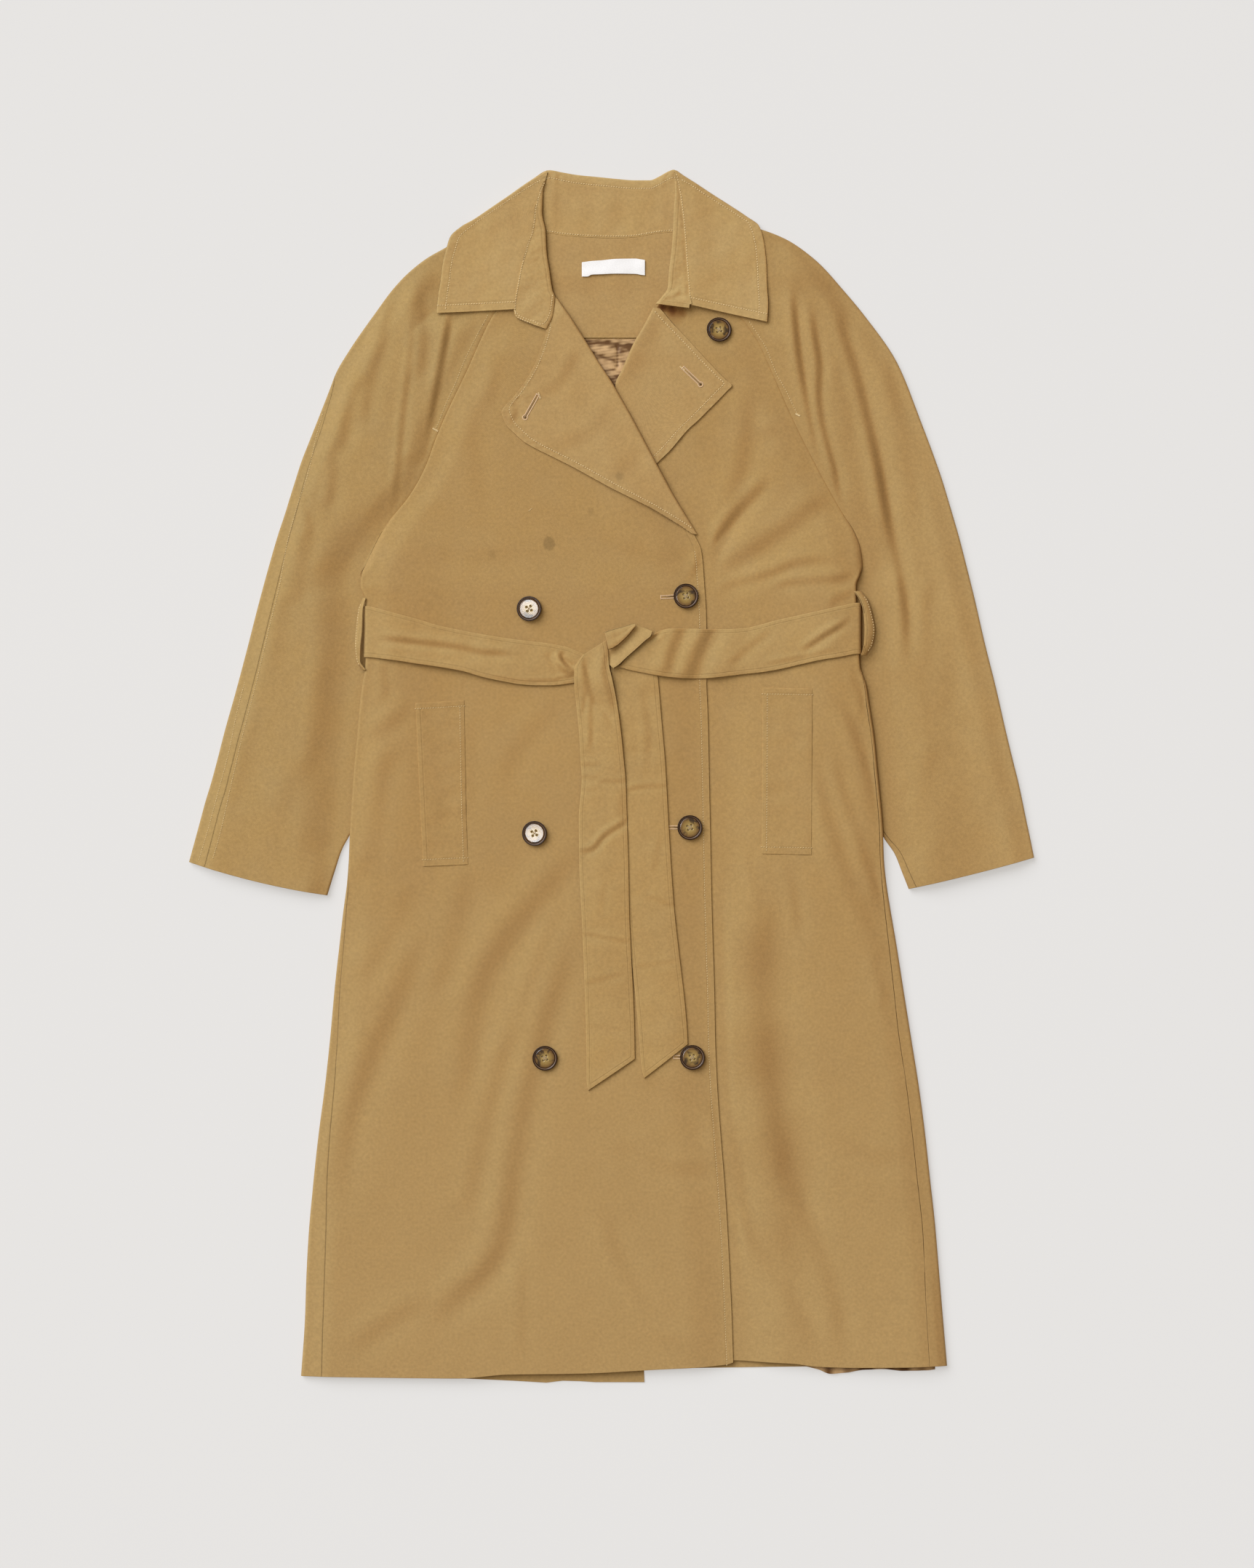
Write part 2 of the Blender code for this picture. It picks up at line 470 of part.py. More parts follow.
# Collar at the back: neck seam and top fold, across the coat
CollarRow = namedtuple("CollarRow", "x seam_y fold_y high")
STAND_BACK_ROWS = [
    CollarRow(-0.0630, 0.5590, 0.6235, STAND_FOLD_LEVEL),
    CollarRow(-0.0500, 0.5570, 0.6220, STAND_FOLD_LEVEL),
    CollarRow(-0.0350, 0.5555, 0.6195, STAND_FOLD_LEVEL),
    CollarRow(-0.0150, 0.5545, 0.6175, STAND_FOLD_LEVEL),
    CollarRow(0.0050, 0.5540, 0.6155, STAND_FOLD_LEVEL),
    CollarRow(0.0250, 0.5550, 0.6140, STAND_FOLD_LEVEL),
    CollarRow(0.0400, 0.5575, 0.6140, STAND_FOLD_LEVEL),
    CollarRow(0.0500, 0.5590, 0.6180, STAND_FOLD_LEVEL),
    CollarRow(0.0600, 0.5600, 0.6230, STAND_FOLD_LEVEL),
]
LEAF_BACK_ROWS = [
    CollarRow(-0.1450, 0.5450, 0.5705, LEAF_LEVEL),
    CollarRow(-0.1220, 0.5400, 0.5862, LEAF_LEVEL),
    CollarRow(-0.1000, 0.5350, 0.6010, LEAF_LEVEL),
    CollarRow(-0.0800, 0.5320, 0.6155, LEAF_LEVEL),
    CollarRow(-0.0640, 0.5300, 0.6245, STAND_FOLD_LEVEL),
    CollarRow(-0.0500, 0.5300, 0.6220, STAND_FOLD_LEVEL),
    CollarRow(-0.0350, 0.5300, 0.6195, STAND_FOLD_LEVEL),
    CollarRow(-0.0150, 0.5300, 0.6175, STAND_FOLD_LEVEL),
    CollarRow(0.0050, 0.5300, 0.6155, STAND_FOLD_LEVEL),
    CollarRow(0.0250, 0.5300, 0.6140, STAND_FOLD_LEVEL),
    CollarRow(0.0400, 0.5300, 0.6140, STAND_FOLD_LEVEL),
    CollarRow(0.0500, 0.5300, 0.6180, STAND_FOLD_LEVEL),
    CollarRow(0.0640, 0.5300, 0.6250, STAND_FOLD_LEVEL),
    CollarRow(0.0800, 0.5320, 0.6150, LEAF_LEVEL),
    CollarRow(0.1000, 0.5350, 0.6020, LEAF_LEVEL),
    CollarRow(0.1220, 0.5400, 0.5880, LEAF_LEVEL),
    CollarRow(0.1450, 0.5450, 0.5720, LEAF_LEVEL),
]

# Lining that shows below the left hem
HemRow = namedtuple("HemRow", "x y")
LINING_HEM_ROWS = [
    HemRow(0.190, -0.6060),
    HemRow(0.213, -0.6115),
    HemRow(0.226, -0.6160),
    HemRow(0.242, -0.6150),
    HemRow(0.261, -0.6120),
    HemRow(0.282, -0.6115),
    HemRow(0.301, -0.6130),
    HemRow(0.325, -0.6126),
    HemRow(0.334, -0.6115),
]
LINING_HEM_TOP_Y = -0.5850

ButtonPlace = namedtuple("ButtonPlace", "name x y side")
BUTTONS = [
    ButtonPlace("button_neck", 0.1110, 0.4590, 1),
    ButtonPlace("button_front_1", 0.0770, 0.1850, -1),
    ButtonPlace("button_front_2", 0.0810, -0.0530, -1),
    ButtonPlace("button_front_3", 0.0836, -0.2895, -1),
    ButtonPlace("button_side_1", -0.0840, 0.1720, -1),
    ButtonPlace("button_side_2", -0.0785, -0.0590, -1),
    ButtonPlace("button_side_3", -0.0680, -0.2900, -1),
]

Edge = namedtuple("Edge", "x y dx dy low high reach")


def smooth(value):
    """Ease from 0 to 1 as value goes from 0 to 1."""
    value = min(max(value, 0.0), 1.0)
    return value * value * (3.0 - 2.0 * value)


def mix(start, end, part):
    return start + (end - start) * part


def column(rows, name, y):
    """Value of one column of a table of sections at height y."""
    for below, above in zip(rows, rows[1:]):
        if y <= above.y:
            part = max((y - below.y) / (above.y - below.y), 0.0)
            return mix(getattr(below, name), getattr(above, name), part)
    return getattr(rows[-1], name)


def trough(fold, x, y):
    """Depth of one fold at a point."""
    along_x, along_y = fold.x1 - fold.x0, fold.y1 - fold.y0
    length = math.hypot(along_x, along_y)
    part = ((x - fold.x0) * along_x + (y - fold.y0) * along_y) / length**2
    aside = ((x - fold.x0) * along_y - (y - fold.y0) * along_x) / length
    inside = min(max(part, 0.0), 1.0)
    aside -= fold.bow * 4.0 * inside * (1.0 - inside)
    ends = smooth((part + 0.10) / 0.25) * smooth((1.10 - part) / 0.25)
    return fold.depth * ends * math.exp(-1.5 * (aside / fold.width) ** 2)


def slack(folds, puff, x, y):
    """Height of loose cloth, which its folds take away."""
    return max(puff - sum(trough(fold, x, y) for fold in folds), 0.0)


def relief(puff, x, y):
    """Loose cloth of the body, even round a pocket."""
    loose = slack(BODY_FOLDS, puff, x, y)
    from_pocket = abs(abs(x) - POCKET_X)
    even = smooth((0.072 - from_pocket) / 0.030) * smooth((0.150 - abs(y)) / 0.035)
    return mix(loose, POCKET_RELIEF, even)


def leaf_lift(y):
    """Rise over the back of the collar."""
    return LEAF_LIFT * smooth((y - LEAF_UNDER_Y) / LEAF_RAMP_WIDTH)


def floor_lift(x, y, ramp_x=BACK_RAMP_X, ramp_width=BACK_RAMP_WIDTH):
    """Rise of the body over the sleeves, the belt and the collar leaf that lie under it."""
    across = smooth((abs(x) - ramp_x) / ramp_width)
    along = smooth((y - SLEEVE_UNDER_LOW_Y) / 0.040) * smooth((SLEEVE_UNDER_HIGH_Y - y) / 0.038)
    from_belt = abs(y - BELT_BACK_Y)
    belt = smooth((0.054 - from_belt) / 0.022)
    return SLEEVE_LIFT * across * along + BELT_LIFT * belt + leaf_lift(y)


def front_lift(x, y):
    """Rise of the fronts, which span the step that the back makes beside the sleeves."""
    return floor_lift(x, y, FRONT_RAMP_X, FRONT_RAMP_WIDTH)


def body_puff(inset_front, inset_side, y):
    """Looseness of a front: none at its edges, little under the belt and the collar."""
    across = smooth(inset_front / 0.060) * smooth(inset_side / 0.050)
    waist = 1.0 - 0.75 * math.exp(-(((y - 0.140) / 0.045) ** 2))
    return BODY_PUFF * across * waist * smooth((0.470 - y) / 0.050)


def right_mid(x, y):
    """Middle of the front that lies over."""
    front = column(RIGHT_ROWS, "front", y) - x
    side = x - column(RIGHT_ROWS, "fold", y)
    roll = math.hypot(x - 0.024, (y - 0.364) * 0.45) / 0.038
    lift = ROLL_LIFT * smooth(1.6 - roll)
    return RIGHT_LEVEL + front_lift(x, y) + lift + relief(body_puff(front, side, y), x, y)


def left_mid(x, y):
    """Middle of the front that lies under."""
    front = x - column(RIGHT_ROWS, "front", y) - 0.008
    side = column(LEFT_ROWS, "fold", y) - x
    rise = LEFT_SIDE_RISE * smooth((x - 0.130) / 0.050)
    return LEFT_LEVEL + front_lift(x, y) + rise + relief(body_puff(front, side, y), x, y)


def back_mid(x, y):
    return FLOOR_LEVEL + floor_lift(x, y)


def facing_mid(x, y):
    return FACING_LEVEL + floor_lift(x, y)


def label_mid(x, y):
    return facing_mid(x, y) + LABEL_RISE


def sleeve_low(x, y):
    return FLOOR_LEVEL + leaf_lift(y)


def sleeve_high(body_rows, folds, x, y, inset):
    """Middle of a sleeve's upper layer, which flattens where the body lies on it."""
    beyond = abs(x) - abs(column(body_rows, "fold", y))
    across = smooth((0.056 - beyond) / 0.044)
    along = smooth((y + 0.115) / 0.045) * smooth((0.262 - y) / 0.044)
    tucked = across * along
    puff = SLEEVE_PUFF * smooth(inset / 0.035) * smooth((0.495 - y) / 0.040)
    loose = SLEEVE_LEVEL + slack(folds, puff, x, y) + leaf_lift(y)
    return mix(loose, TUCKED_SLEEVE_LEVEL, tucked)


def run(start, end, count, height):
    """Points from start to end at a height that follows x and y."""
    points = []
    for index in range(count + 1):
        part = index / count
        x, y = mix(start[0], end[0], part), mix(start[1], end[1], part)
        points.append((x, y, height(x, y)))
    return points


def arc_length(edge):
    return math.pi * (edge.reach + (edge.high - edge.low) / 2.0) / 2.0


def foot(edge):
    """Where the bend of a folded edge starts, as seen from above."""
    inset = edge.reach + CLOTH / 2.0
    return edge.x - edge.dx * inset, edge.y - edge.dy * inset


def seam_place(edge, inset):
    """Distance round a folded edge, from the start of its bend, to a seam seen at this inset."""
    outer = edge.reach + CLOTH / 2.0
    if inset >= outer:
        return arc_length(edge) + inset - outer
    angle = math.acos(1.0 - inset / outer)
    return arc_length(edge) * (0.5 + angle / math.pi)


def edge_point(edge, distance, top):
    """Point round a folded edge: up its bend, then in over the top layer."""
    x, y = foot(edge)
    bend = arc_length(edge)
    if distance >= bend:
        x -= edge.dx * (distance - bend)
        y -= edge.dy * (distance - bend)
        return x, y, top(x, y)
    angle = math.pi * (distance / bend - 0.5)
    out = edge.reach * math.cos(angle)
    height = (edge.low + edge.high) / 2.0 + (edge.high - edge.low) / 2.0 * math.sin(angle)
    return x + edge.dx * out, y + edge.dy * out, height


def low_side(edge, inset, top, count=4, gap=BEND_GAP):
    """Points of the under layer round the edge, up to the seam."""
    end = seam_place(edge, inset) - gap / 2.0
    return [edge_point(edge, end * index / count, top) for index in range(1, count + 1)]


def high_side(edge, inset, top, count=3, gap=BEND_GAP):
    """Points of the upper layer from the seam to just past the bend."""
    start = seam_place(edge, inset) + gap / 2.0
    end = max(arc_length(edge), start) + 0.005
    return [edge_point(edge, mix(start, end, index / count), top) for index in range(count + 1)]


def sheet(name, rows, wall, colour):
    """A cloth piece: a grid of points with a wall."""
    mesh = bpy.data.meshes.new(name)
    grid = bmesh.new()
    verts = [[grid.verts.new(point) for point in row] for row in rows]
    for lower, upper in zip(verts, verts[1:]):
        for index in range(len(lower) - 1):
            grid.faces.new((lower[index], lower[index + 1], upper[index + 1], upper[index]))
    grid.to_mesh(mesh)
    grid.free()
    mesh.shade_smooth()
    mesh.set_sharp_from_angle(angle=math.radians(50))
    piece = bpy.data.objects.new(name, mesh)
    coat.objects.link(piece)
    solid = piece.modifiers.new("wall", "SOLIDIFY")
    solid.thickness = wall
    solid.offset = 0.0
    solid.use_even_offset = True
    solid.use_quality_normals = True
    piece.data.materials.append(finish(name, colour, CLOTH_ROUGHNESS))
    return piece


def finish(name, colour, roughness):
    material = bpy.data.materials.new(name)
    material.use_nodes = True
    shader = material.node_tree.nodes["Principled BSDF"]
    shader.inputs["Base Color"].default_value = (*colour, 1.0)
    shader.inputs["Roughness"].default_value = roughness
    return material


def body_edge(row, side, top):
    """Folded side of the body at one section; above the armpit it is the raglan edge."""
    reach = mix(SIDE_REACH, RAGLAN_REACH, smooth((row.y - 0.190) / 0.026))
    x = row.fold - side * SEAM_GAP / 2.0
    inner = x - side * (reach + CLOTH / 2.0)
    return Edge(x, row.y, side, 0.0, back_mid(inner, row.y), top(inner, row.y), reach)


def make_back(name, rows, side, hem_drop, top):
    """Back panel of one half: out from the centre seam and round the side to the side seam."""
    sections = []
    for row in rows:
        at_hem = smooth(1.0 - (row.y - rows[0].y) / 0.040)
        part = (BACK_TOP_Y - row.y) / (BACK_TOP_Y - rows[0].y)
        centre = (CENTRE_HEM_X * part + side * SEAM_GAP / 2.0, row.y + hem_drop * at_hem)
        edge = body_edge(row, side, top)
        narrow = min(abs(row.fold) / 0.250, 1.0)
        flat = [(*centre, back_mid(*centre))]
        for column_x in RAMP_XS:
            x = side * column_x * narrow
            flat.append((x, row.y, back_mid(x, row.y)))
        base = foot(edge)
        sections.append(flat + [(*base, edge.low)] + low_side(edge, row.seam, top))
    return sheet(name, sections, CLOTH, GABARDINE)


def make_front(name, rows, side, hem_drop, top, shares):
    """Front panel of one half: from the side seam in to its front edge."""
    sections = []
    for row in rows:
        if row.y > FRONT_TOP_Y + SEAM_GAP:
            continue
        at_hem = smooth(1.0 - (row.y - rows[0].y) / 0.060)
        edge = body_edge(row, side, top)
        rolled = smooth((row.y - 0.232) / 0.018) * (ROLL_REACH + CLOTH / 2.0 + SEAM_GAP)
        front = (row.front + side * rolled, row.y + hem_drop * at_hem)
        bend = high_side(edge, row.seam, top)
        across = []
        for share in shares:
            x, y = mix(bend[-1][0], front[0], share), mix(row.y, front[1], share)
            across.append((x, y, top(x, y)))
        sections.append(bend + across)
    return sheet(name, sections, CLOTH, GABARDINE)


def sleeve_edges(row, side, top):
    """Inner and outer folded edges of a sleeve at one section."""
    length = math.hypot(row.outer_x - row.inner_x, row.outer_y - row.inner_y)
    dx = (row.outer_x - row.inner_x) / length
    dy = (row.outer_y - row.inner_y) / length
    open_cuff = smooth((-0.050 - row.inner_y) / 0.040)
    reach = mix(RAGLAN_REACH, SIDE_REACH, open_cuff)
    x = row.inner_x + side * SEAM_GAP / 2.0
    inset = reach + CLOTH / 2.0
    inner_foot = (x + dx * inset, row.inner_y + dy * inset)
    outer_foot = (row.outer_x - dx * inset, row.outer_y - dy * inset)
    inner = Edge(x, row.inner_y, -dx, -dy, sleeve_low(*inner_foot), top(*inner_foot), reach)
    outer = Edge(
        row.outer_x, row.outer_y, dx, dy, sleeve_low(*outer_foot), top(*outer_foot), SIDE_REACH
    )
    return inner, outer


def make_sleeve(name, rows, side, body_rows, folds):
    """Front and back of one sleeve."""
    front_sections = []
    back_sections = []
    for row in rows:
        def top(x, y):
            inner_inset = math.hypot(x - row.inner_x, y - row.inner_y)
            outer_inset = math.hypot(x - row.outer_x, y - row.outer_y)
            return sleeve_high(body_rows, folds, x, y, min(inner_inset, outer_inset))

        inner, outer = sleeve_edges(row, side, top)
        inner_bend = high_side(inner, row.inner_seam, top, 2, UNDERARM_GAP)
        outer_bend = high_side(outer, row.outer_seam, top)
        across = run(inner_bend[-1][:2], outer_bend[-1][:2], 5, top)
        front_sections.append(inner_bend + across[1:-1] + outer_bend[::-1])
        below = run(foot(inner), foot(outer), 2, sleeve_low)
        inner_low = low_side(inner, row.inner_seam, top, 2, UNDERARM_GAP)
        back_sections.append(inner_low[::-1] + below + low_side(outer, row.outer_seam, top))
    sheet(name + "_front", front_sections, CLOTH, GABARDINE)
    sheet(name + "_back", back_sections, CLOTH, GABARDINE)


def make_strip(name, rungs, height, columns, wall=CLOTH, colour=GABARDINE):
    """A flat piece between two edges, at a height that follows x and y."""
    sections = [run((rung.x0, rung.y0), (rung.x1, rung.y1), columns, height) for rung in rungs]
    return sheet(name, sections, wall, colour)


def make_lapel(name, rungs, under, hidden_y):
    """A lapel, turned over at its roll line and lying on its front; flat below hidden_y."""
    sections = []
    for rung in rungs:
        length = math.hypot(rung.x1 - rung.x0, rung.y1 - rung.y0)
        dx, dy = (rung.x0 - rung.x1) / length, (rung.y0 - rung.y1) / length
        rolled = smooth((rung.y0 - hidden_y) / 0.030) * smooth((0.491 - rung.y0) / 0.025)
        bump = LAPEL_ROLL * rolled * smooth(length / 0.030)

        def top(x, y):
            away = math.hypot(x - rung.x0, y - rung.y0)
            return under(x, y) + STEP + bump * math.exp(-((away / 0.014) ** 2))

        inset = ROLL_REACH + CLOTH / 2.0
        base = (rung.x0 - dx * inset, rung.y0 - dy * inset)
        edge = Edge(rung.x0, rung.y0, dx, dy, under(*base), top(*base), ROLL_REACH)
        bend = arc_length(edge)
        turned = []
        for step in range(4):
            x, y, z = edge_point(edge, bend * (0.5 + 0.5 * step / 3.0), top)
            turned.append((x, y, mix(edge.high, z, rolled)))
        sections.append(turned + run(turned[-1][:2], (rung.x1, rung.y1), 4, top)[1:])
    return sheet(name, sections, CLOTH, GABARDINE)


def leaf_mid(x, y):
    """Middle of the collar leaves, highest beside the stand."""
    beside = smooth((0.110 - abs(x)) / 0.026)
    return mix(LEAF_LEVEL, STAND_LEVEL, beside)


def make_leaf(name, rungs):
    """A collar leaf; its outer edge turns down where the collar folds to the back."""
    sections = []
    for rung in rungs:
        length = math.hypot(rung.x1 - rung.x0, rung.y1 - rung.y0)
        dx, dy = (rung.x1 - rung.x0) / length, (rung.y1 - rung.y0) / length
        folded = smooth((rung.y1 - LEAF_FOLD_Y) / 0.006)
        inset = LEAF_REACH + CLOTH / 2.0
        high = leaf_mid(rung.x1 - dx * inset, rung.y1 - dy * inset)
        low = mix(high - 0.0010, FLOOR_LEVEL, folded)
        edge = Edge(rung.x1, rung.y1, dx, dy, low, high, LEAF_REACH)
        bend = arc_length(edge)
        turned = [edge_point(edge, bend * (1.0 - 0.13 * step), leaf_mid) for step in range(4)]
        sections.append(run((rung.x0, rung.y0), turned[0][:2], 4, leaf_mid)[:-1] + turned)
    return sheet(name, sections, CLOTH, GABARDINE)


def collar_edge(row):
    """Top fold of the collar at one section."""
    return Edge(row.x, row.fold_y, 0.0, 1.0, FLOOR_LEVEL, row.high, SIDE_REACH)


def make_stand_back():
    """Inside of the collar stand, from the neck seam up to its top fold."""
    sections = []
    for row in STAND_BACK_ROWS:
        edge = collar_edge(row)
        seam_y = row.seam_y

        def top(x, y):
            rise = smooth((y - seam_y) / 0.045)
            return mix(FACING_LEVEL + LEAF_LIFT, row.high, rise)

        bend = arc_length(edge)
        turned = [edge_point(edge, bend * (0.58 + 0.14 * step), top) for step in range(4)]
        sections.append(turned + run(turned[-1][:2], (row.x, seam_y), 4, top)[1:])
    return sheet("collar_stand_back", sections, CLOTH, GABARDINE)


def make_leaf_back():
    """Back of the collar, under the coat from the top fold down over the neck seam."""
    sections = []
    for row in LEAF_BACK_ROWS:
        edge = collar_edge(row)
        flat = run((row.x, row.seam_y), foot(edge), 2, lambda x, y: FLOOR_LEVEL)
        bend = arc_length(edge)
        turned = [edge_point(edge, bend * 0.14 * (step + 1), None) for step in range(3)]
        sections.append(flat + turned)
    return sheet("collar_leaf_back", sections, CLOTH, GABARDINE)


def belt_height(x, y):
    """Middle of the belt where it lies on the fronts, and over the tail that hangs from it."""
    past_edge = smooth((x - 0.120) / 0.030)
    under = mix(right_mid(x, y), left_mid(x, y), past_edge)
    over_tail = smooth((x + 0.020) / 0.015) * smooth((0.080 - x) / 0.022)
    over_ramp = 0.0005 * smooth((abs(x) - 0.140) / 0.030)
    return under + STEP + STEP * over_tail + over_ramp


def make_belt(name, rungs, side):
    """One stretch of the belt on the front, turned down round the side of the body."""
    rows = LEFT_ROWS if side > 0 else RIGHT_ROWS
    top = left_mid if side > 0 else right_mid
    beside = next(row for row in rows if row.y == BELT_SIDE_Y)
    body = body_edge(beside, side, top)
    centre_x = foot(body)[0]
    outer = SIDE_REACH + STEP
    middle = (body.low + body.high) / 2.0
    half = (body.high - body.low) / 2.0 + STEP
    first = rungs[0]
    sections = []
    for step in range(7):
        angle = -math.pi / 2.0 + math.pi * step / 6.0
        x = centre_x + side * outer * math.cos(angle)
        z = middle + half * math.sin(angle)
        sections.append([(x, mix(first.y0, first.y1, part / 3.0), z) for part in range(4)])
    for rung in rungs[1:]:
        sections.append(run((rung.x0, rung.y0), (rung.x1, rung.y1), 3, belt_height))
    return sheet(name, sections, CLOTH, GABARDINE)


def make_belt_back():
    """The belt behind the back, between the two sleeves and on them at the sides."""
    ramp = [-x for x in reversed(RAMP_XS)]
    stations = [BELT_BACK_ENDS[0], *ramp, -0.100, 0.0, 0.100, *RAMP_XS, BELT_BACK_ENDS[1]]
    half = (BELT_WIDTH + BELT_BACK_SPREAD) / 2.0

    def height(x, y):
        return FLOOR_LEVEL + SLEEVE_LIFT * smooth((abs(x) - BACK_RAMP_X) / BACK_RAMP_WIDTH)

    rungs = [Rung(x, BELT_BACK_Y + half, x, BELT_BACK_Y - half) for x in stations]
    return make_strip("belt_back", rungs, height, 3)


def tail_lower_mid(x, y):
    return right_mid(x, y) + STEP


def tail_upper_mid(x, y):
    """Middle of the upper tail: over the lower one, and over the knot at its head."""
    over_tail = STEP * smooth((y + 0.240) / 0.060)
    over_belt = TAIL_HEAD_RISE * smooth((y - 0.070) / 0.030)
    return right_mid(x, y) + STEP + over_tail + over_belt


def knot_lower_mid(x, y):
    """Lower fold of the knot: it stands up from the belt towards the collar."""
    return belt_height(x, y) + STEP + KNOT_RISE * smooth((y - 0.115) / 0.035)


def knot_upper_mid(x, y):
    return knot_lower_mid(x, y) + STEP + 0.0004


def make_loop(name, rows, side):
    """A belt loop: a strap that stands out round the belt at the side."""
    sections = []
    for row in rows:
        middle_x = mix(row.outer_x, row.inner_x, 0.35) + side * 0.0004
        middle_z = mix(row.outer_z, row.inner_z, 0.65) + 0.0004
        sections.append([
            (row.outer_x, row.y, row.outer_z),
            (middle_x, row.y, middle_z),
            (row.inner_x, row.y, row.inner_z),
        ])
    return sheet(name, sections, CLOTH, GABARDINE)


def button_mesh():
    """Turned horn button: a dished face inside a raised rim."""
    r = BUTTON_RADIUS
    h = BUTTON_HEIGHT
    face = [
        (0.0, h * 0.55),
        (r * 0.70, h * 0.72),
        (r * 0.80, h * 0.62),
        (r * 0.90, h),
    ]
    profile = face + [(r * share, h * underside) for share, underside in BUTTON_UNDERSIDE]
    mesh = bpy.data.meshes.new("button")
    line = bmesh.new()
    verts = [line.verts.new((x, 0.0, z)) for x, z in profile]
    for start, end in zip(verts, verts[1:]):
        line.edges.new((start, end))
    line.to_mesh(mesh)
    line.free()
    return mesh


def button_seat(place, front):
    """Lowest height at which a button clears the front that it is sewn to."""
    cloth = BVHTree.FromObject(front, bpy.context.evaluated_depsgraph_get())
    heights = []
    for share, underside in BUTTON_UNDERSIDE:
        for step in range(2 * BUTTON_STEPS):
            angle = math.pi * step / BUTTON_STEPS
            x = place.x + share * BUTTON_RADIUS * math.cos(angle)
            y = place.y + share * BUTTON_RADIUS * math.sin(angle)
            top = cloth.ray_cast((x, y, 1.0), (0.0, 0.0, -1.0))[0].z
            heights.append(top - underside * BUTTON_HEIGHT)
    return max(heights) + SEAM_GAP


def make_button(place, mesh, front):
    piece = bpy.data.objects.new(place.name, mesh.copy())
    coat.objects.link(piece)
    piece.location = (place.x, place.y, button_seat(place, front))
    turn = piece.modifiers.new("turned", "SCREW")
    turn.angle = math.tau
    turn.steps = BUTTON_STEPS
    turn.render_steps = BUTTON_STEPS
    turn.screw_offset = 0.0
    turn.axis = "Z"
    turn.use_merge_vertices = True
    turn.merge_threshold = 0.00005
    piece.data.materials.append(finish(place.name, HORN, HORN_ROUGHNESS))
    return piece


for old in list(bpy.data.objects):
    bpy.data.objects.remove(old, do_unlink=True)
coat = bpy.data.collections.new("trench_coat")
bpy.context.scene.collection.children.link(coat)

even_shares = [(index + 1) / 13.0 for index in range(13)]
left_shares = [(index + 1) / 18.0 for index in range(9)] + [0.60, 0.80, 1.0]

make_back("back_right", RIGHT_ROWS, -1, -0.0070, right_mid)
make_back("back_left", LEFT_ROWS, 1, -0.0025, left_mid)
front_right = make_front("front_right", RIGHT_ROWS, -1, 0.0140, right_mid, even_shares)
front_left = make_front("front_left", LEFT_ROWS, 1, 0.0070, left_mid, left_shares)
make_sleeve("sleeve_right", RIGHT_SLEEVE, -1, RIGHT_ROWS, RIGHT_SLEEVE_FOLDS)
make_sleeve("sleeve_left", LEFT_SLEEVE, 1, LEFT_ROWS, LEFT_SLEEVE_FOLDS)
make_lapel("lapel_right", LAPEL_RIGHT, right_mid, RIGHT_LAPEL_END_Y)
make_lapel("lapel_left", LAPEL_LEFT, left_mid, LEFT_LAPEL_END_Y)
make_leaf("collar_leaf_right", LEAF_RIGHT)
make_leaf("collar_leaf_left", LEAF_LEFT)
make_leaf_back()
make_stand_back()
make_strip("collar_stand_right", STAND_RIGHT, lambda x, y: STAND_LEVEL, 2)
make_strip("collar_stand_left", STAND_LEFT, lambda x, y: STAND_LEVEL, 2)
facing_rungs = [Rung(row.left, row.y, row.right, row.y) for row in FACING_ROWS]
satin_rungs = [Rung(row.left, row.y, row.right, row.y) for row in SATIN_ROWS]
make_strip("neck_facing", facing_rungs, facing_mid, 6, SATIN)
make_strip("lining_back", satin_rungs, facing_mid, 5, SATIN, SATIN_COLOUR)
hem_rungs = [Rung(row.x, LINING_HEM_TOP_Y, row.x, row.y) for row in LINING_HEM_ROWS]
make_strip("lining_hem", hem_rungs, facing_mid, 2, SATIN, SATIN_COLOUR)
make_strip("label", LABEL_RUNGS, label_mid, 2, SATIN, LABEL_COLOUR)
for welt, corners in WELTS.items():
    on = right_mid if corners[0].x0 < 0.0 else left_mid
    steps = [
        Rung(*[mix(top, bottom, part / 9.0) for top, bottom in zip(corners[0], corners[1])])
        for part in range(10)
    ]
    make_strip(welt, steps, lambda x, y: on(x, y) + STEP + 2.0 * SEAM_GAP, 3)
make_belt("belt_right", BELT_RIGHT, -1)
make_belt("belt_left", BELT_LEFT, 1)
make_belt_back()
make_strip("belt_tail_upper", TAIL_UPPER, tail_upper_mid, 3)
make_strip("belt_tail_lower", TAIL_LOWER, tail_lower_mid, 3)
make_strip("belt_knot_lower", KNOT_LOWER, knot_lower_mid, 2)
make_strip("belt_knot_upper", KNOT_UPPER, knot_upper_mid, 2)
make_loop("belt_loop_right", LOOP_RIGHT, -1)
make_loop("belt_loop_left", LOOP_LEFT, 1)
button = button_mesh()
for place in BUTTONS:
    make_button(place, button, front_left if place.side > 0 else front_right)
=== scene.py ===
import math

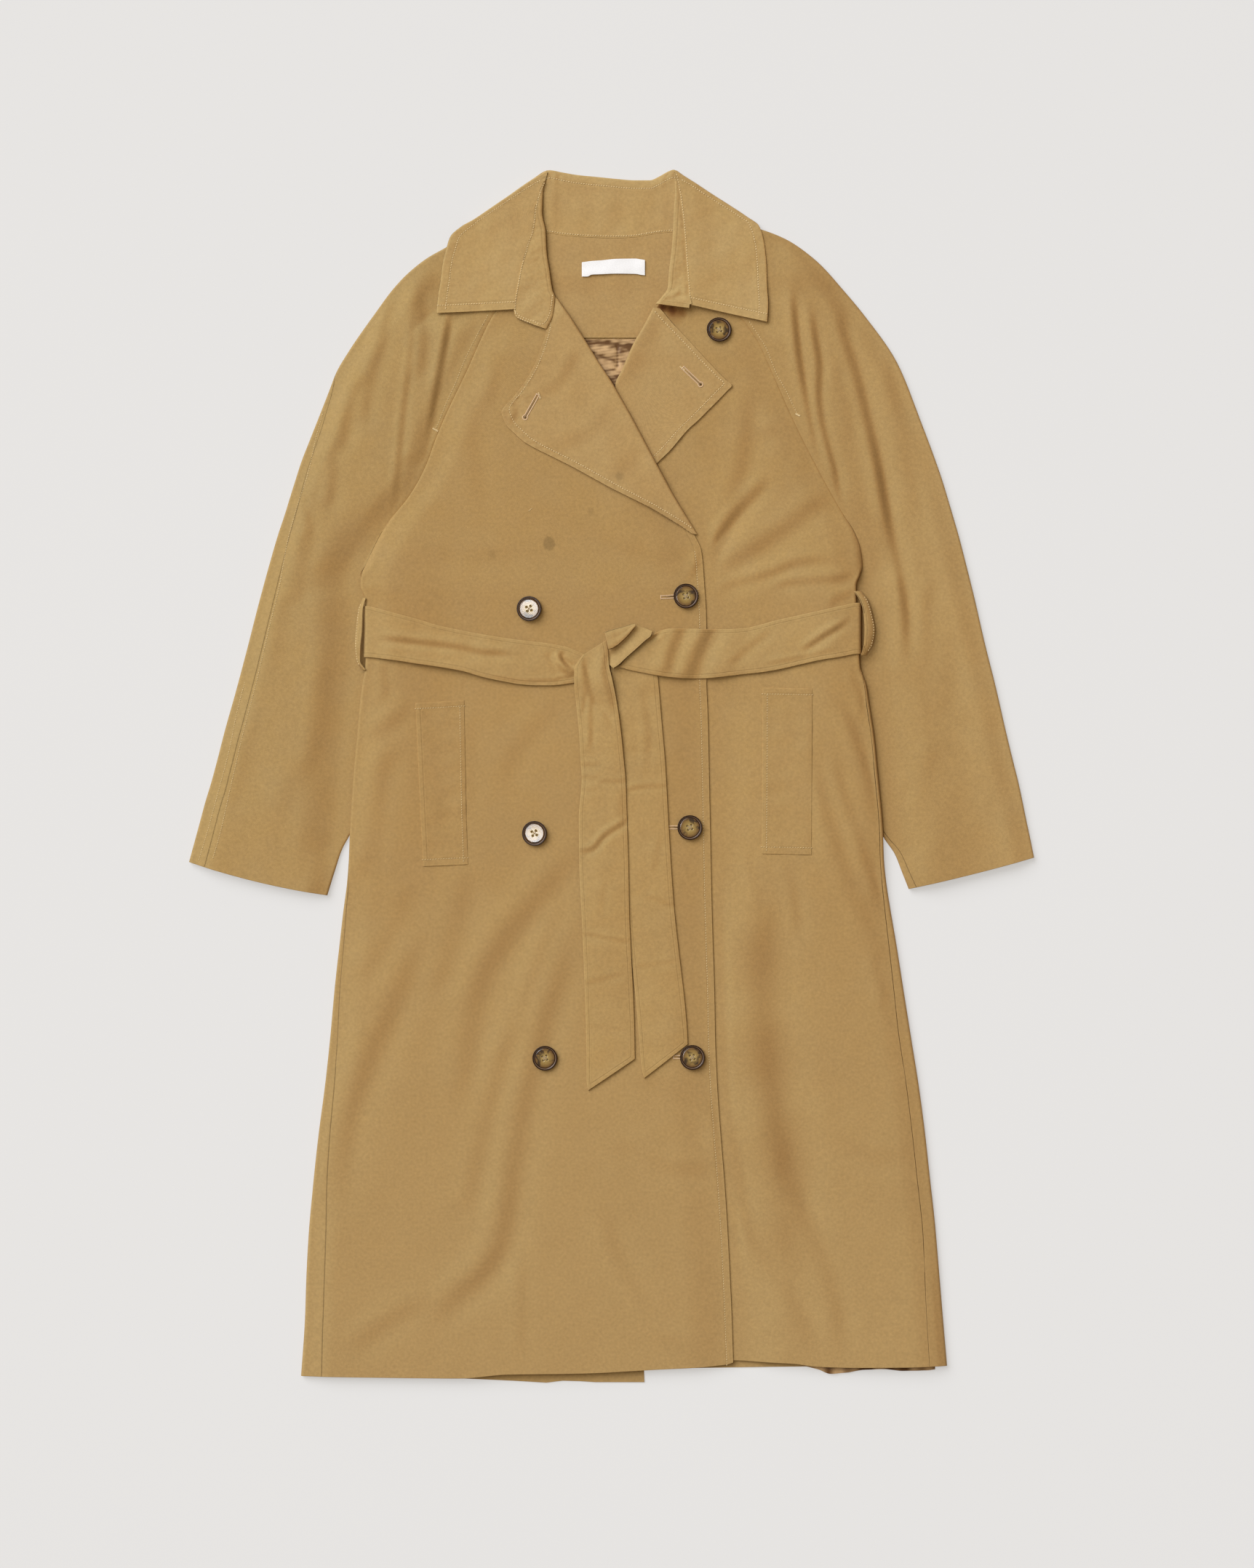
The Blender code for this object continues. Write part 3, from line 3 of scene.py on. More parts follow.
import bpy
import numpy as np
from mathutils.bvhtree import BVHTree
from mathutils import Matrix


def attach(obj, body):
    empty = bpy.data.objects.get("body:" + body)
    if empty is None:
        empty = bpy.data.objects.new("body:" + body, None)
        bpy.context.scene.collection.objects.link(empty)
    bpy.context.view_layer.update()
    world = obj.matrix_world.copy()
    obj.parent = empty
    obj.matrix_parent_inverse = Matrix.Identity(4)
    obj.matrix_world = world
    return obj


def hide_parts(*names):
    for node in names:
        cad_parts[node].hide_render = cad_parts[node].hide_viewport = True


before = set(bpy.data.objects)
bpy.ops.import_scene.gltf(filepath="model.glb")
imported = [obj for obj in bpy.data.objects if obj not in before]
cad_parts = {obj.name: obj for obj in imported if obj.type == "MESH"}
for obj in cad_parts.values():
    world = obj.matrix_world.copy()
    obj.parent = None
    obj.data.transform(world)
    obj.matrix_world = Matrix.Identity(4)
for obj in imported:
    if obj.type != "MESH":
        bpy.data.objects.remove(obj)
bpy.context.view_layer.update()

mm = 0.001
scene = bpy.context.scene
made = {}  # every finished cloth piece with its grid, by name


def ease(value):
    value = np.clip(value, 0.0, 1.0)
    return value * value * (3.0 - 2.0 * value)


def mixed(start, end, part):
    return start + (end - start) * part


def throughPoints(at, values):
    # smooth curve through a table that never overshoots it
    at, values = np.asarray(at, float), np.asarray(values, float)
    step = np.diff(at)
    rise = np.diff(values) / step
    slope = np.zeros_like(values)
    if len(at) > 2:
        left, right = rise[:-1], rise[1:]
        same = left * right > 0.0
        wide = 2.0 * step[1:] + step[:-1]
        narrow = step[1:] + 2.0 * step[:-1]
        safeLeft, safeRight = np.where(same, left, 1.0), np.where(same, right, 1.0)
        slope[1:-1] = np.where(same, (wide + narrow) / (wide / safeLeft + narrow / safeRight), 0.0)
    slope[0], slope[-1] = rise[0], rise[-1]

    def curve(place):
        place = np.clip(place, at[0], at[-1])
        k = np.clip(np.searchsorted(at, place, side="right") - 1, 0, len(step) - 1)
        t = (place - at[k]) / step[k]
        return (
            (1 + 2 * t) * (1 - t) ** 2 * values[k]
            + t * (1 - t) ** 2 * step[k] * slope[k]
            + t * t * (3 - 2 * t) * values[k + 1]
            + t * t * (t - 1) * step[k] * slope[k + 1]
        )

    return curve


def tableCurves(rows, columns):
    # a table in millimetres as curves over its first column, in metres
    table = np.array(rows, float) * mm
    return {name: throughPoints(table[:, 0], table[:, k + 1]) for k, name in enumerate(columns)}


def softPath(path, count):
    # points evenly along a smooth path, in the path's own unit
    path = np.array(path, float)
    steps = np.hypot(*np.diff(path, axis=0).T[:2])
    at = np.concatenate([[0.0], np.cumsum(steps)])
    places = np.linspace(0.0, at[-1], count)
    return np.stack([throughPoints(at, path[:, k])(places) for k in range(path.shape[1])], axis=1)


def ripple(x, y, size, seed):
    # soft unevenness of a given wavelength, about -2 to 2
    random = np.random.default_rng(seed)
    total = 0.0
    for _ in range(11):
        angle, phase = random.uniform(0.0, 2.0 * math.pi, 2)
        rate = 2.0 * math.pi / size * random.uniform(0.6, 1.5)
        total += np.sin((x * math.cos(angle) + y * math.sin(angle)) * rate + phase)
    return total / 2.4


foldEnds = 0.22
awayFromKey = np.array([0.66, -0.75])


def creaseProfile(place):
    # a soft ridge towards the light, then the steep dark slope, then a trough
    return 1.166 * place * np.exp(-place * place)


def stepProfile(place):
    # down from a full part to a flat one beside it
    return 0.5 * (1.0 + np.tanh(1.8 * place)) * np.exp(-((np.maximum(place, 0.0) / 5.0) ** 2))


def creaseField(x, y, creases, profile=creaseProfile):
    # depth of all creases: each (width, depth, path) in millimetres has its steep slope on the path
    x, y = np.broadcast_arrays(x, y)
    total = np.zeros(x.shape)
    for number, (width, depth, path) in enumerate(creases):
        reach = width * mm
        line = softPath(path, 26) * mm
        low, high = line.min(axis=0) - 5.0 * reach, line.max(axis=0) + 5.0 * reach
        near = (x > low[0]) & (x < high[0]) & (y > low[1]) & (y < high[1])
        if not near.any():
            continue
        px, py = x[near], y[near]
        chord = line[-1] - line[0]
        across = np.array([-chord[1], chord[0]])
        across *= 1.0 if across @ awayFromKey > 0.0 else -1.0
        best = np.full(px.shape, 9.0)
        signed = np.zeros_like(px)
        share = np.zeros_like(px)
        for k in range(len(line) - 1):
            step = line[k + 1] - line[k]
            part = ((px - line[k, 0]) * step[0] + (py - line[k, 1]) * step[1]) / (step @ step)
            part = np.clip(part, 0.0, 1.0)
            offX = px - line[k, 0] - part * step[0]
            offY = py - line[k, 1] - part * step[1]
            away = np.hypot(offX, offY)
            normal = np.array([-step[1], step[0]])
            normal *= 1.0 if normal @ across > 0.0 else -1.0
            closer = away < best
            best = np.where(closer, away, best)
            signed = np.where(closer, away * np.sign(offX * normal[0] + offY * normal[1]), signed)
            share = np.where(closer, (k + part) / (len(line) - 1), share)
        ends = ease(share / foldEnds) * ease((1.0 - share) / foldEnds)
        uneven = 0.88 + 0.12 * np.sin(share * (7.0 + number % 5) + 1.7 * number)
        total[near] += depth * mm * ends * uneven * profile(signed / reach)
    return total


def softFloor(value, low):
    # keeps a height above zero without an edge
    return 0.5 * (value + np.sqrt(value * value + low * low))


# heights of the middle of each cloth layer, and what lifts it
layer = {
    "cloth": 1.2 * mm,
    "wall": 0.9 * mm,
    "gap": 0.05 * mm,
    "step": 1.7 * mm,
    "floor": 0.6 * mm,
    "facing": 2.1 * mm,
    "left": 3.6 * mm,
    "leftSide": 1.2 * mm,
    "right": 5.1 * mm,
    "sleeve": 4.8 * mm,
    "tucked": 2.6 * mm,
    "leaf": 7.8 * mm,
    "stand": 8.5 * mm, "leafFold": 9.3 * mm,
    "standFold": 5.0 * mm,
    "sleeveLift": 3.7 * mm,
    "beltLift": 1.6 * mm,
    "leafLift": 1.6 * mm,
    "rollLift": 1.6 * mm,
}
looseness = {"body": 3.6 * mm, "pocket": 0.8, "sleeve": 4.8 * mm, "soft": 0.5 * mm}
reachOf = {"side": 2.1 * mm, "raglan": 1.3 * mm, "roll": 2.1 * mm, "leaf": 1.8 * mm}

# sections from the hem up, in millimetres: height, side fold, side seam in from it, front edge
rightRows = [
    (-618, -319.5, 21.5, 125.9), (-560, -315.5, 19.0, 124.5), (-515, -314.0, 19.0, 122.5),
    (-470, -311.5, 18.0, 120.2), (-420, -307.0, 14.5, 117.0), (-370, -301.5, 12.0, 113.0),
    (-320, -295.0, 10.0, 109.5), (-270, -289.5, 8.0, 107.4), (-220, -285.0, 6.0, 106.5),
    (-175, -280.0, 4.8, 105.0), (-140, -276.0, 3.5, 104.0), (-110, -272.0, 1.5, 103.3),
    (-85, -270.0, 0, 102.8), (-60, -269.0, 0, 102.3), (5, -264.8, 0, 101.0),
    (40, -261.5, 0, 100.3), (70, -259.0, 0, 99.5), (95, -256.0, 0, 98.4),
    (112, -253.0, 0, 98.4), (128, -252.5, 0, 98.4), (146, -252.5, 0, 98.4),
    (164, -252.5, 0, 98.1), (180, -252.8, 0, 97.3), (196, -258.0, 0, 96.2),
    (207, -257.0, 0, 95.5), (216, -253.0, 0, 94.9), (232, -245.5, 0, 93.0),
    (250, -236.2, 0, 88.0), (268, -223.8, 0, 77.5), (285, -210.0, 0, 67.0),
    (303, -198.7, 0, 57.0), (322, -189.5, 0, 46.5), (345, -181.2, 0, 34.0),
    (370, -170.8, 0, 21.0), (420, -147.0, 0, -8.8), (445, -136.0, 0, -24.3),
    (468, -125.0, 0, -38.7), (490, -112.0, 0, -54.0), (520, -95.0, 0, -60.0),
    (548, -78.0, 0, -66.0),
]
leftRows = [
    (-607.5, 346.4, 18.5, -110.0), (-550, 341.5, 17.0, -108.5), (-505, 337.8, 15.0, -107.5),
    (-460, 334.0, 13.5, -106.5), (-415, 329.0, 13.5, -105.5), (-365, 323.5, 13.5, -104.5),
    (-320, 317.5, 13.0, -104.0), (-270, 309.5, 12.5, -103.0), (-220, 301.5, 10.0, -102.5),
    (-175, 294.5, 8.0, -102.0), (-140, 288.5, 6.0, -101.5), (-110, 283.8, 4.5, -101.0),
    (-85, 281.2, 4.0, -100.5), (-60, 280.3, 3.6, -100.0), (5, 274.5, 3.2, -99.0),
    (40, 271.0, 3.0, -98.5), (70, 266.5, 2.8, -98.0), (95, 262.5, 2.0, -98.0),
    (112, 256.5, 0, -98.0), (128, 255.5, 0, -98.0), (146, 255.5, 0, -98.0),
    (164, 255.0, 0, -97.8), (180, 252.5, 0, -97.2), (196, 252.5, 0, -96.2),
    (207, 256.2, 0, -95.5), (216, 258.5, 0, -94.9), (232, 257.0, 0, -93.0),
    (250, 251.0, 0, -86.0), (268, 240.0, 0, -74.0), (285, 230.0, 0, -62.0),
    (303, 220.0, 0, -51.0), (322, 210.0, 0, -40.0), (345, 198.0, 0, -27.0),
    (370, 186.0, 0, -13.0), (420, 164.0, 0, 12.0), (445, 152.5, 0, 23.0),
    (468, 137.0, 0, 35.5), (490, 123.0, 0, 48.0), (520, 100.0, 0, 56.0),
    (548, 80.0, 0, 64.0),
]
right = tableCurves(rightRows, ["fold", "seam", "front"])
left = tableCurves(leftRows, ["fold", "seam", "front"])

bodyCreases = [
    (1.4, 0.7, [(-152, 106), (-151.5, 92), (-151, 76)]),
    # right front, from the belt down
    (7, 1.7, [(-234, 120), (-233, 98), (-230, 76)]),
    (12, 1.6, [(-196, 72), (-216, 62), (-236, 48), (-250, 34)]),
    (15, 1.9, [(-220, 42), (-236, 2), (-243, -40), (-250, -84), (-262, -118)]),
    (12, 0.6, [(-143, 80), (-149, 0), (-152, -66)]),
    (16, 1.1, [(-45, 78), (-75, 52), (-100, 24), (-112, -14)]),
    (19, 3.0, [(-188, -140), (-206, -190), (-226, -238), (-246, -285), (-265, -334), (-277, -380), (-284, -425), (-291, -470)]),
    (17, 1.6, [(-144, -88), (-155, -130), (-168, -180), (-187, -234)]),
    (15, 1.1, [(-203, -103), (-222, -150), (-245, -190), (-264, -220)]),
    (20, 3.5, [(-22, -62), (-55, -102), (-85, -138), (-110, -170), (-128, -202), (-140, -240), (-147, -285), (-153, -350)]),
    (11, 1.0, [(-45, -118), (-70, -175), (-88, -230), (-100, -262)]),
    (15, 1.9, [(-92, -240), (-112, -290), (-124, -340), (-136, -395), (-152, -462)]),
    (18, 3.4, [(-34, -136), (-52, -200), (-66, -245), (-80, -300), (-92, -350), (-100, -400), (-106, -445), (-115, -485), (-135, -515), (-160, -536), (-182, -560), (-204, -592)]),
    (15, 1.5, [(-178, -538), (-210, -550), (-245, -572), (-275, -594)]),
    (10, 0.8, [(-93, -478), (-92, -530), (-93, -604)]),
    (13, 1.8, [(-18, -440), (-4, -465), (8, -495), (26, -530), (50, -560), (90, -586)]),
    (13, 1.3, [(8, -368), (42, -394), (75, -405), (110, -408)]),
    (13, 1.9, [(34, -300), (62, -320), (88, -343), (112, -376)]),
    # right front, above the belt
    (7, 0.9, [(-256, 193), (-240, 187), (-229, 176)]),
    (16, 0.7, [(-215, 232), (-165, 227), (-120, 228), (-76, 226)]),
    (16, 1.2, [(-76, 292), (-45, 266), (-15, 249), (15, 236), (50, 221), (84, 206)]),
    (14, 0.9, [(-138, 402), (-142, 352), (-138, 300), (-129, 254)]),
    (10, 0.8, [(-120, 456), (-119, 420), (-126, 372)]),
    (14, 0.9, [(-172, 352), (-186, 318), (-204, 284)]),
    # left front, above the belt
    (9, 4.4, [(78, 194), (92, 216), (107, 240), (122, 262), (138, 281), (152, 296), (166, 312)]),
    (14, 2.3, [(138, 412), (141, 370), (138, 338), (131, 305), (121, 276), (108, 246)]),
    (11, 1.3, [(146, 352), (168, 354), (185, 341), (198, 320)]),
    (14, 2.7, [(244, 274), (216, 281), (195, 267), (172, 250), (150, 236), (126, 220), (100, 204)]),
    (8, 1.8, [(240, 218), (214, 222), (190, 219), (165, 209), (140, 202), (118, 195), (100, 186)]),
    (7, 1.5, [(256, 207), (232, 203), (208, 201), (184, 199), (160, 193)]),
    (6, 1.7, [(256, 190), (238, 184), (222, 177)]),
    # left front, below the belt
    (10, 2.5, [(182, 114), (208, 99), (228, 81), (246, 53), (258, 22), (268, -10), (276, -46)]),
    (14, 2.8, [(202, 36), (213, -10), (226, -52), (240, -94), (254, -134), (269, -163), (286, -182)]),
    (9, 2.2, [(224, 26), (237, -12), (250, -52), (262, -87), (273, -117), (282, -148)]),
    (7, 1.8, [(244, 112), (256, 86), (263, 56)]),
    (26, 6.9, [(155, -88), (155, -150), (153, -200), (155, -250), (160, -300), (166, -345), (176, -395), (188, -440), (201, -490)]),
    (14, 3.0, [(104, -320), (118, -378), (129, -425), (140, -466), (158, -500), (180, -532), (198, -562), (216, -606)]),
    (14, 2.0, [(182, -406), (200, -455), (216, -495), (228, -535), (240, -598)]),
    (9, 1.4, [(170, -82), (184, -105), (190, -140), (193, -170)]),
    (9, 1.0, [(139, -72), (147, -105), (156, -136)]),
    (14, 1.2, [(196, -330), (222, -365), (250, -384), (285, -392), (316, -383)]),
    (9, 1.1, [(266, -184), (277, -210), (285, -240)]),
]


def leafLift(y):
    return layer["leafLift"] * ease((y - 0.495) / 0.025)


def floorLift(x, y):
    # rise of the back over the sleeves, the belt and the collar that lie under it
    across = ease((np.abs(x) - 0.198) / 0.022)
    along = ease((y + 0.112) / 0.040) * ease((0.258 - y) / 0.038)
    belt = ease((0.054 - np.abs(y - 0.149)) / 0.022)
    return layer["sleeveLift"] * across * along + layer["beltLift"] * belt + leafLift(y)


def frontLift(x, y):
    # the same for the fronts, softer
    across = ease((np.abs(x) - 0.160) / 0.070)
    along = ease((y + 0.158) / 0.098) * ease((0.272 - y) / 0.056)
    belt = ease((0.080 - np.abs(y - 0.149)) / 0.048)
    return layer["sleeveLift"] * across * along + layer["beltLift"] * belt + leafLift(y)


def bodyLoose(x, y, insetFront, insetSide):
    across = ease(insetFront / 0.050) * ease((insetSide + 0.002) / 0.034)
    waist = 1.0 - 0.60 * np.exp(-(((y - 0.140) / 0.055) ** 2))
    puff = looseness["body"] * across * waist * ease((0.480 - y) / 0.050)
    nearEdge = ease(insetFront / 0.012) * ease((insetSide + 0.001) / 0.012)
    folds = creaseField(x, y, bodyCreases) * nearEdge
    corner = 2.4 * mm * ease((x - 0.235) / 0.100) * ease((-0.430 - y) / 0.150) * nearEdge
    waves = puff * (0.050 * ripple(x, y, 0.16, 3) + 0.012 * ripple(x, y, 0.045, 4))
    fromPocket = np.abs(np.abs(x) - 0.178)
    even = ease((0.040 - fromPocket) / 0.016) * ease((0.104 - np.abs(y)) / 0.020)
    loose = puff + corner + (waves - folds) * (1.0 - looseness["pocket"] * even)
    return softFloor(loose, looseness["soft"])


def rightMid(x, y):
    # middle of the front that lies over
    roll = np.hypot(x - 0.024, (y - 0.364) * 0.45) / 0.038
    lift = layer["rollLift"] * ease(1.6 - roll)
    loose = bodyLoose(x, y, right["front"](y) - x, x - right["fold"](y))
    return layer["right"] + frontLift(x, y) + lift + loose


def leftMid(x, y):
    # middle of the front that lies under
    rise = layer["leftSide"] * ease((x - 0.130) / 0.050)
    loose = bodyLoose(x, y, x - right["front"](y) - 0.008, left["fold"](y) - x)
    return layer["left"] + frontLift(x, y) + rise + loose


def backMid(x, y):
    return layer["floor"] + floorLift(x, y)


def facingMid(x, y):
    return layer["facing"] + floorLift(x, y)


# the key light's direction, the share of it that flat cloth faces, and how far a slope must lean away to get its full
# painted shade
light = {"from": (-0.536, 0.544, 0.644), "up": 0.644, "lean": 0.12}


def shell(name, grid, material, wall=None, stitched=None, node=None):
    # a closed cloth piece round a grid of middle points, with a rounded rim
    half = (layer["wall"] if wall is None else wall) / 2.0
    grid = np.array(grid, float)
    along, across = np.gradient(grid, axis=0), np.gradient(grid, axis=1)
    normal = np.cross(across, along)
    flipped = normal[..., 2].sum() < 0.0
    if flipped:
        grid = grid[:, ::-1]
        along, across = np.gradient(grid, axis=0), np.gradient(grid, axis=1)
        normal = np.cross(across, along)
        if stitched:
            swap = {"left": "right", "right": "left"}
            stitched = {swap.get(side, side): inset for side, inset in stitched.items()}
    normal /= np.linalg.norm(normal, axis=2, keepdims=True) + 1e-12
    rows, columns = grid.shape[:2]

    # distances along the cloth from each side, for the seams, the weave and the stitches
    stepAcross = np.linalg.norm(np.diff(grid, axis=1), axis=2)
    stepAlong = np.linalg.norm(np.diff(grid, axis=0), axis=2)
    fromLeft = np.concatenate([np.zeros((rows, 1)), np.cumsum(stepAcross, axis=1)], axis=1)
    fromBottom = np.concatenate([np.zeros((1, columns)), np.cumsum(stepAlong, axis=0)], axis=0)
    distance = {
        "left": fromLeft,
        "right": fromLeft[:, -1:] - fromLeft,
        "bottom": fromBottom,
        "top": fromBottom[-1:] - fromBottom,
    }
    edge = np.full((rows, columns), 9.0)
    for side, inset in (stitched or {}).items():
        edge = np.minimum(edge, distance[side] / (inset * mm))
    clothU, clothV = grid[..., 0] * 0.0 + fromLeft, fromBottom

    # the border as one loop, counter-clockwise seen from above
    i = np.arange(rows * columns).reshape(rows, columns)
    loop = np.concatenate([i[0, :-1], i[:-1, -1], i[-1, :0:-1], i[:0:-1, 0]])
    outward = np.zeros_like(grid)
    unitAcross = across / (np.linalg.norm(across, axis=2, keepdims=True) + 1e-12)
    unitAlong = along / (np.linalg.norm(along, axis=2, keepdims=True) + 1e-12)
    outward[:, 0] -= unitAcross[:, 0]
    outward[:, -1] += unitAcross[:, -1]
    outward[0] -= unitAlong[0]
    outward[-1] += unitAlong[-1]
    size = np.linalg.norm(outward, axis=2, keepdims=True)
    outward = np.where(size > 0.0, outward / (size + 1e-12), 0.0)
    middle = (grid - outward * half).reshape(-1, 3)
    flatNormal = normal.reshape(-1, 3)
    flatOut = outward.reshape(-1, 3)

    top = middle + flatNormal * half
    bottom = middle - flatNormal * half
    rims = []
    for degrees in (45.0, 0.0, -45.0):
        angle = math.radians(degrees)
        aside = abs(math.cos(angle)) ** 0.32
        upward = math.copysign(abs(math.sin(angle)) ** 0.32, angle) if degrees else 0.0
        offset = flatOut[loop] * aside + flatNormal[loop] * upward
        rims.append(middle[loop] + offset * half)
    verts = np.concatenate([top, bottom] + rims)
    count = rows * columns

    quads = np.stack([i[:-1, :-1], i[:-1, 1:], i[1:, 1:], i[1:, :-1]], axis=-1).reshape(-1, 4)
    faces = [quads, quads[:, ::-1] + count]
    loops = [loop]
    for k in range(3):
        loops.append(2 * count + k * len(loop) + np.arange(len(loop)))
    loops.append(loop + count)
    for upper, lower in zip(loops, loops[1:]):
        faces.append(np.stack([upper, lower, np.roll(lower, -1), np.roll(upper, -1)], axis=-1))
    faces = np.concatenate(faces)

    mesh = bpy.data.meshes.new(name)
    mesh.vertices.add(len(verts))
    mesh.vertices.foreach_set("co", verts.astype(np.float32).ravel())
    mesh.loops.add(faces.size)
    mesh.loops.foreach_set("vertex_index", faces.astype(np.int32).ravel())
    mesh.polygons.add(len(faces))
    mesh.polygons.foreach_set("loop_start", np.arange(0, faces.size, 4, dtype=np.int32))
    mesh.update(calc_edges=True)
    mesh.shade_smooth()

    def everywhere(values):
        values = values.reshape(-1)
        return np.concatenate([values, values] + [values[loop]] * 3)

    # painted shade: how far each place leans away from the key light, on the upper side and on the lower one, kept so
    # the cloth colour can be made warmer there
    facing = (flatNormal @ np.array(light["from"]), -(flatNormal @ np.array(light["from"])))
    upper, lower = [np.clip((light["up"] - share) / light["lean"], -1.0, 1.5) for share in facing]
    lean = np.concatenate([upper, lower, upper[loop], (upper + lower)[loop] / 2.0, lower[loop]])
    u, v, e = everywhere(clothU), everywhere(clothV), everywhere(edge)
    uvLayer = mesh.uv_layers.new(name="cloth")
    uvLayer.data.foreach_set("uv", np.stack([u, v], axis=1)[faces.ravel()].astype(np.float32).ravel())
    edgeLayer = mesh.attributes.new("edge", "FLOAT", "POINT")
    edgeLayer.data.foreach_set("value", np.minimum(e, 9.0).astype(np.float32))
    paintedShadeLayer = mesh.attributes.new("paintedShade", "FLOAT", "POINT")
    paintedShadeLayer.data.foreach_set("value", lean.astype(np.float32))
    mesh.validate()

    piece = bpy.data.objects.new(name, mesh)
    bpy.context.scene.collection.objects.link(piece)
    piece.data.materials.append(material)
    made[name] = {"piece": piece, "grid": grid, "normal": normal, "distance": distance, "half": half, "flipped": flipped}
    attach(piece, "root")
    if node:
        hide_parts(node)
    return piece


def edgeLine(name, side, inset, low=0.0, high=1.0, lift=0.05):
    # points on a piece's upper side at a distance in from one of its sides
    info = made[name]
    grid = info["grid"] + info["normal"] * (info["half"] + lift * mm)
    if info["flipped"]:
        side = {"left": "right", "right": "left"}.get(side, side)
        low, high = (1.0 - high, 1.0 - low) if side in ("bottom", "top") else (low, high)
    distance = info["distance"][side]
    if side in ("bottom", "top"):
        grid, distance = grid.transpose(1, 0, 2), distance.T
    if side in ("right", "top"):
        grid, distance = grid[:, ::-1], distance[:, ::-1]
    points = []
    for row, away in zip(grid, distance):
        points.append([np.interp(inset * mm, away, row[:, k]) for k in range(3)])
    points = np.array(points)
    first, last = int(low * (len(points) - 1)), int(high * (len(points) - 1))
    return points[first:last + 1]


treeOf = {}


def topTree(names):
    for name in names:
        if name not in treeOf:
            piece = made[name]["piece"]
            verts = [v.co.copy() for v in piece.data.vertices]
            treeOf[name] = BVHTree.FromPolygons(verts, [p.vertices[:] for p in piece.data.polygons])
    return [treeOf[name] for name in names]


def topAt(x, y, trees):
    best = 0.0
    for tree in trees:
        hit = tree.ray_cast((x, y, 0.2), (0.0, 0.0, -1.0))[0]
        if hit is not None:
            best = max(best, hit.z)
    return best


def laidOn(path, names, lift=0.05, count=None):
    # a path in millimetres, laid on the upper side of some pieces
    trees = topTree(names)
    line = softPath(path, count or max(4, int(len(path) * 8))) * mm
    return np.array([[x, y, topAt(x, y, trees) + lift * mm] for x, y in line])


def bendPoints(edge, distance, top):
    # points round a folded edge: up its bend, then in over the upper layer
    inset = edge["reach"] + layer["cloth"] / 2.0
    footX, footY = edge["x"] - edge["dx"] * inset, edge["y"] - edge["dy"] * inset
    half = (edge["high"] - edge["low"]) / 2.0
    bend = math.pi * (edge["reach"] + half) / 2.0
    angle = math.pi * (np.clip(distance / bend, 0.0, 1.0) - 0.5)
    past = np.maximum(distance - bend, 0.0)
    out = edge["reach"] * np.cos(angle) - past
    x, y = footX + edge["dx"] * out, footY + edge["dy"] * out
    height = (edge["low"] + edge["high"]) / 2.0 + half * np.sin(angle)
    return np.stack([x, y, np.where(distance > bend, top(x, y), height)], axis=-1)


def bendLength(edge):
    return math.pi * (edge["reach"] + (edge["high"] - edge["low"]) / 2.0) / 2.0


def seamPlace(edge, inset):
    outer = edge["reach"] + layer["cloth"] / 2.0
    angle = np.arccos(np.clip(1.0 - inset / outer, -1.0, 1.0))
    bend = bendLength(edge)
    return np.where(inset >= outer, bend + inset - outer, bend * (0.5 + angle / math.pi))


def rollOff(distance, reach):
    part = np.clip(distance / reach, 0.0, 1.0)
    return np.sqrt(1.0 - (1.0 - part) ** 2)


print("layers ready")


def addNode(tree, kind, inputs=None, **settings):
    item = tree.nodes.new(kind)
    for name, value in settings.items():
        setattr(item, name, value)
    for name, value in (inputs or {}).items():
        if isinstance(value, bpy.types.NodeSocket):
            tree.links.new(value, item.inputs[name])
        else:
            item.inputs[name].default_value = value
    return item


def calc(tree, operation, first, second=0.0, third=0.0, clamp=False):
    inputs = {0: first, 1: second}
    if operation in ("MULTIPLY_ADD", "SMOOTH_MIN"):
        inputs[2] = third
    return addNode(tree, "ShaderNodeMath", inputs, operation=operation, use_clamp=clamp).outputs[0]


def ramp(tree, value, low, high, start=0.0, end=1.0):
    inputs = {"Value": value, "From Min": low, "From Max": high, "To Min": start, "To Max": end}
    item = addNode(tree, "ShaderNodeMapRange", inputs, interpolation_type="SMOOTHSTEP")
    return item.outputs["Result"]


def noise(tree, vector, scale, detail=2.0, roughness=0.5, distortion=0.0):
    inputs = {"Vector": vector, "Scale": scale, "Detail": detail, "Roughness": roughness,
              "Distortion": distortion}
    return addNode(tree, "ShaderNodeTexNoise", inputs).outputs["Fac"]


def mixColour(tree, factor, first, second, blend="MIX"):
    item = tree.nodes.new("ShaderNodeMix")
    item.data_type = "RGBA"
    item.blend_type = blend
    for k, value in ((0, factor), (6, first), (7, second)):
        if isinstance(value, bpy.types.NodeSocket):
            tree.links.new(value, item.inputs[k])
        else:
            item.inputs[k].default_value = value
    return item.outputs[2]


def newGroup(name, inputs, outputs):
    tree = bpy.data.node_groups.new(name, "ShaderNodeTree")
    for label, kind, value in inputs:
        socket = tree.interface.new_socket(label, in_out="INPUT", socket_type=kind)
        if value is not None:
            socket.default_value = value
    for label, kind in outputs:
        tree.interface.new_socket(label, in_out="OUTPUT", socket_type=kind)
    return tree, tree.nodes.new("NodeGroupInput").outputs, tree.nodes.new("NodeGroupOutput").inputs


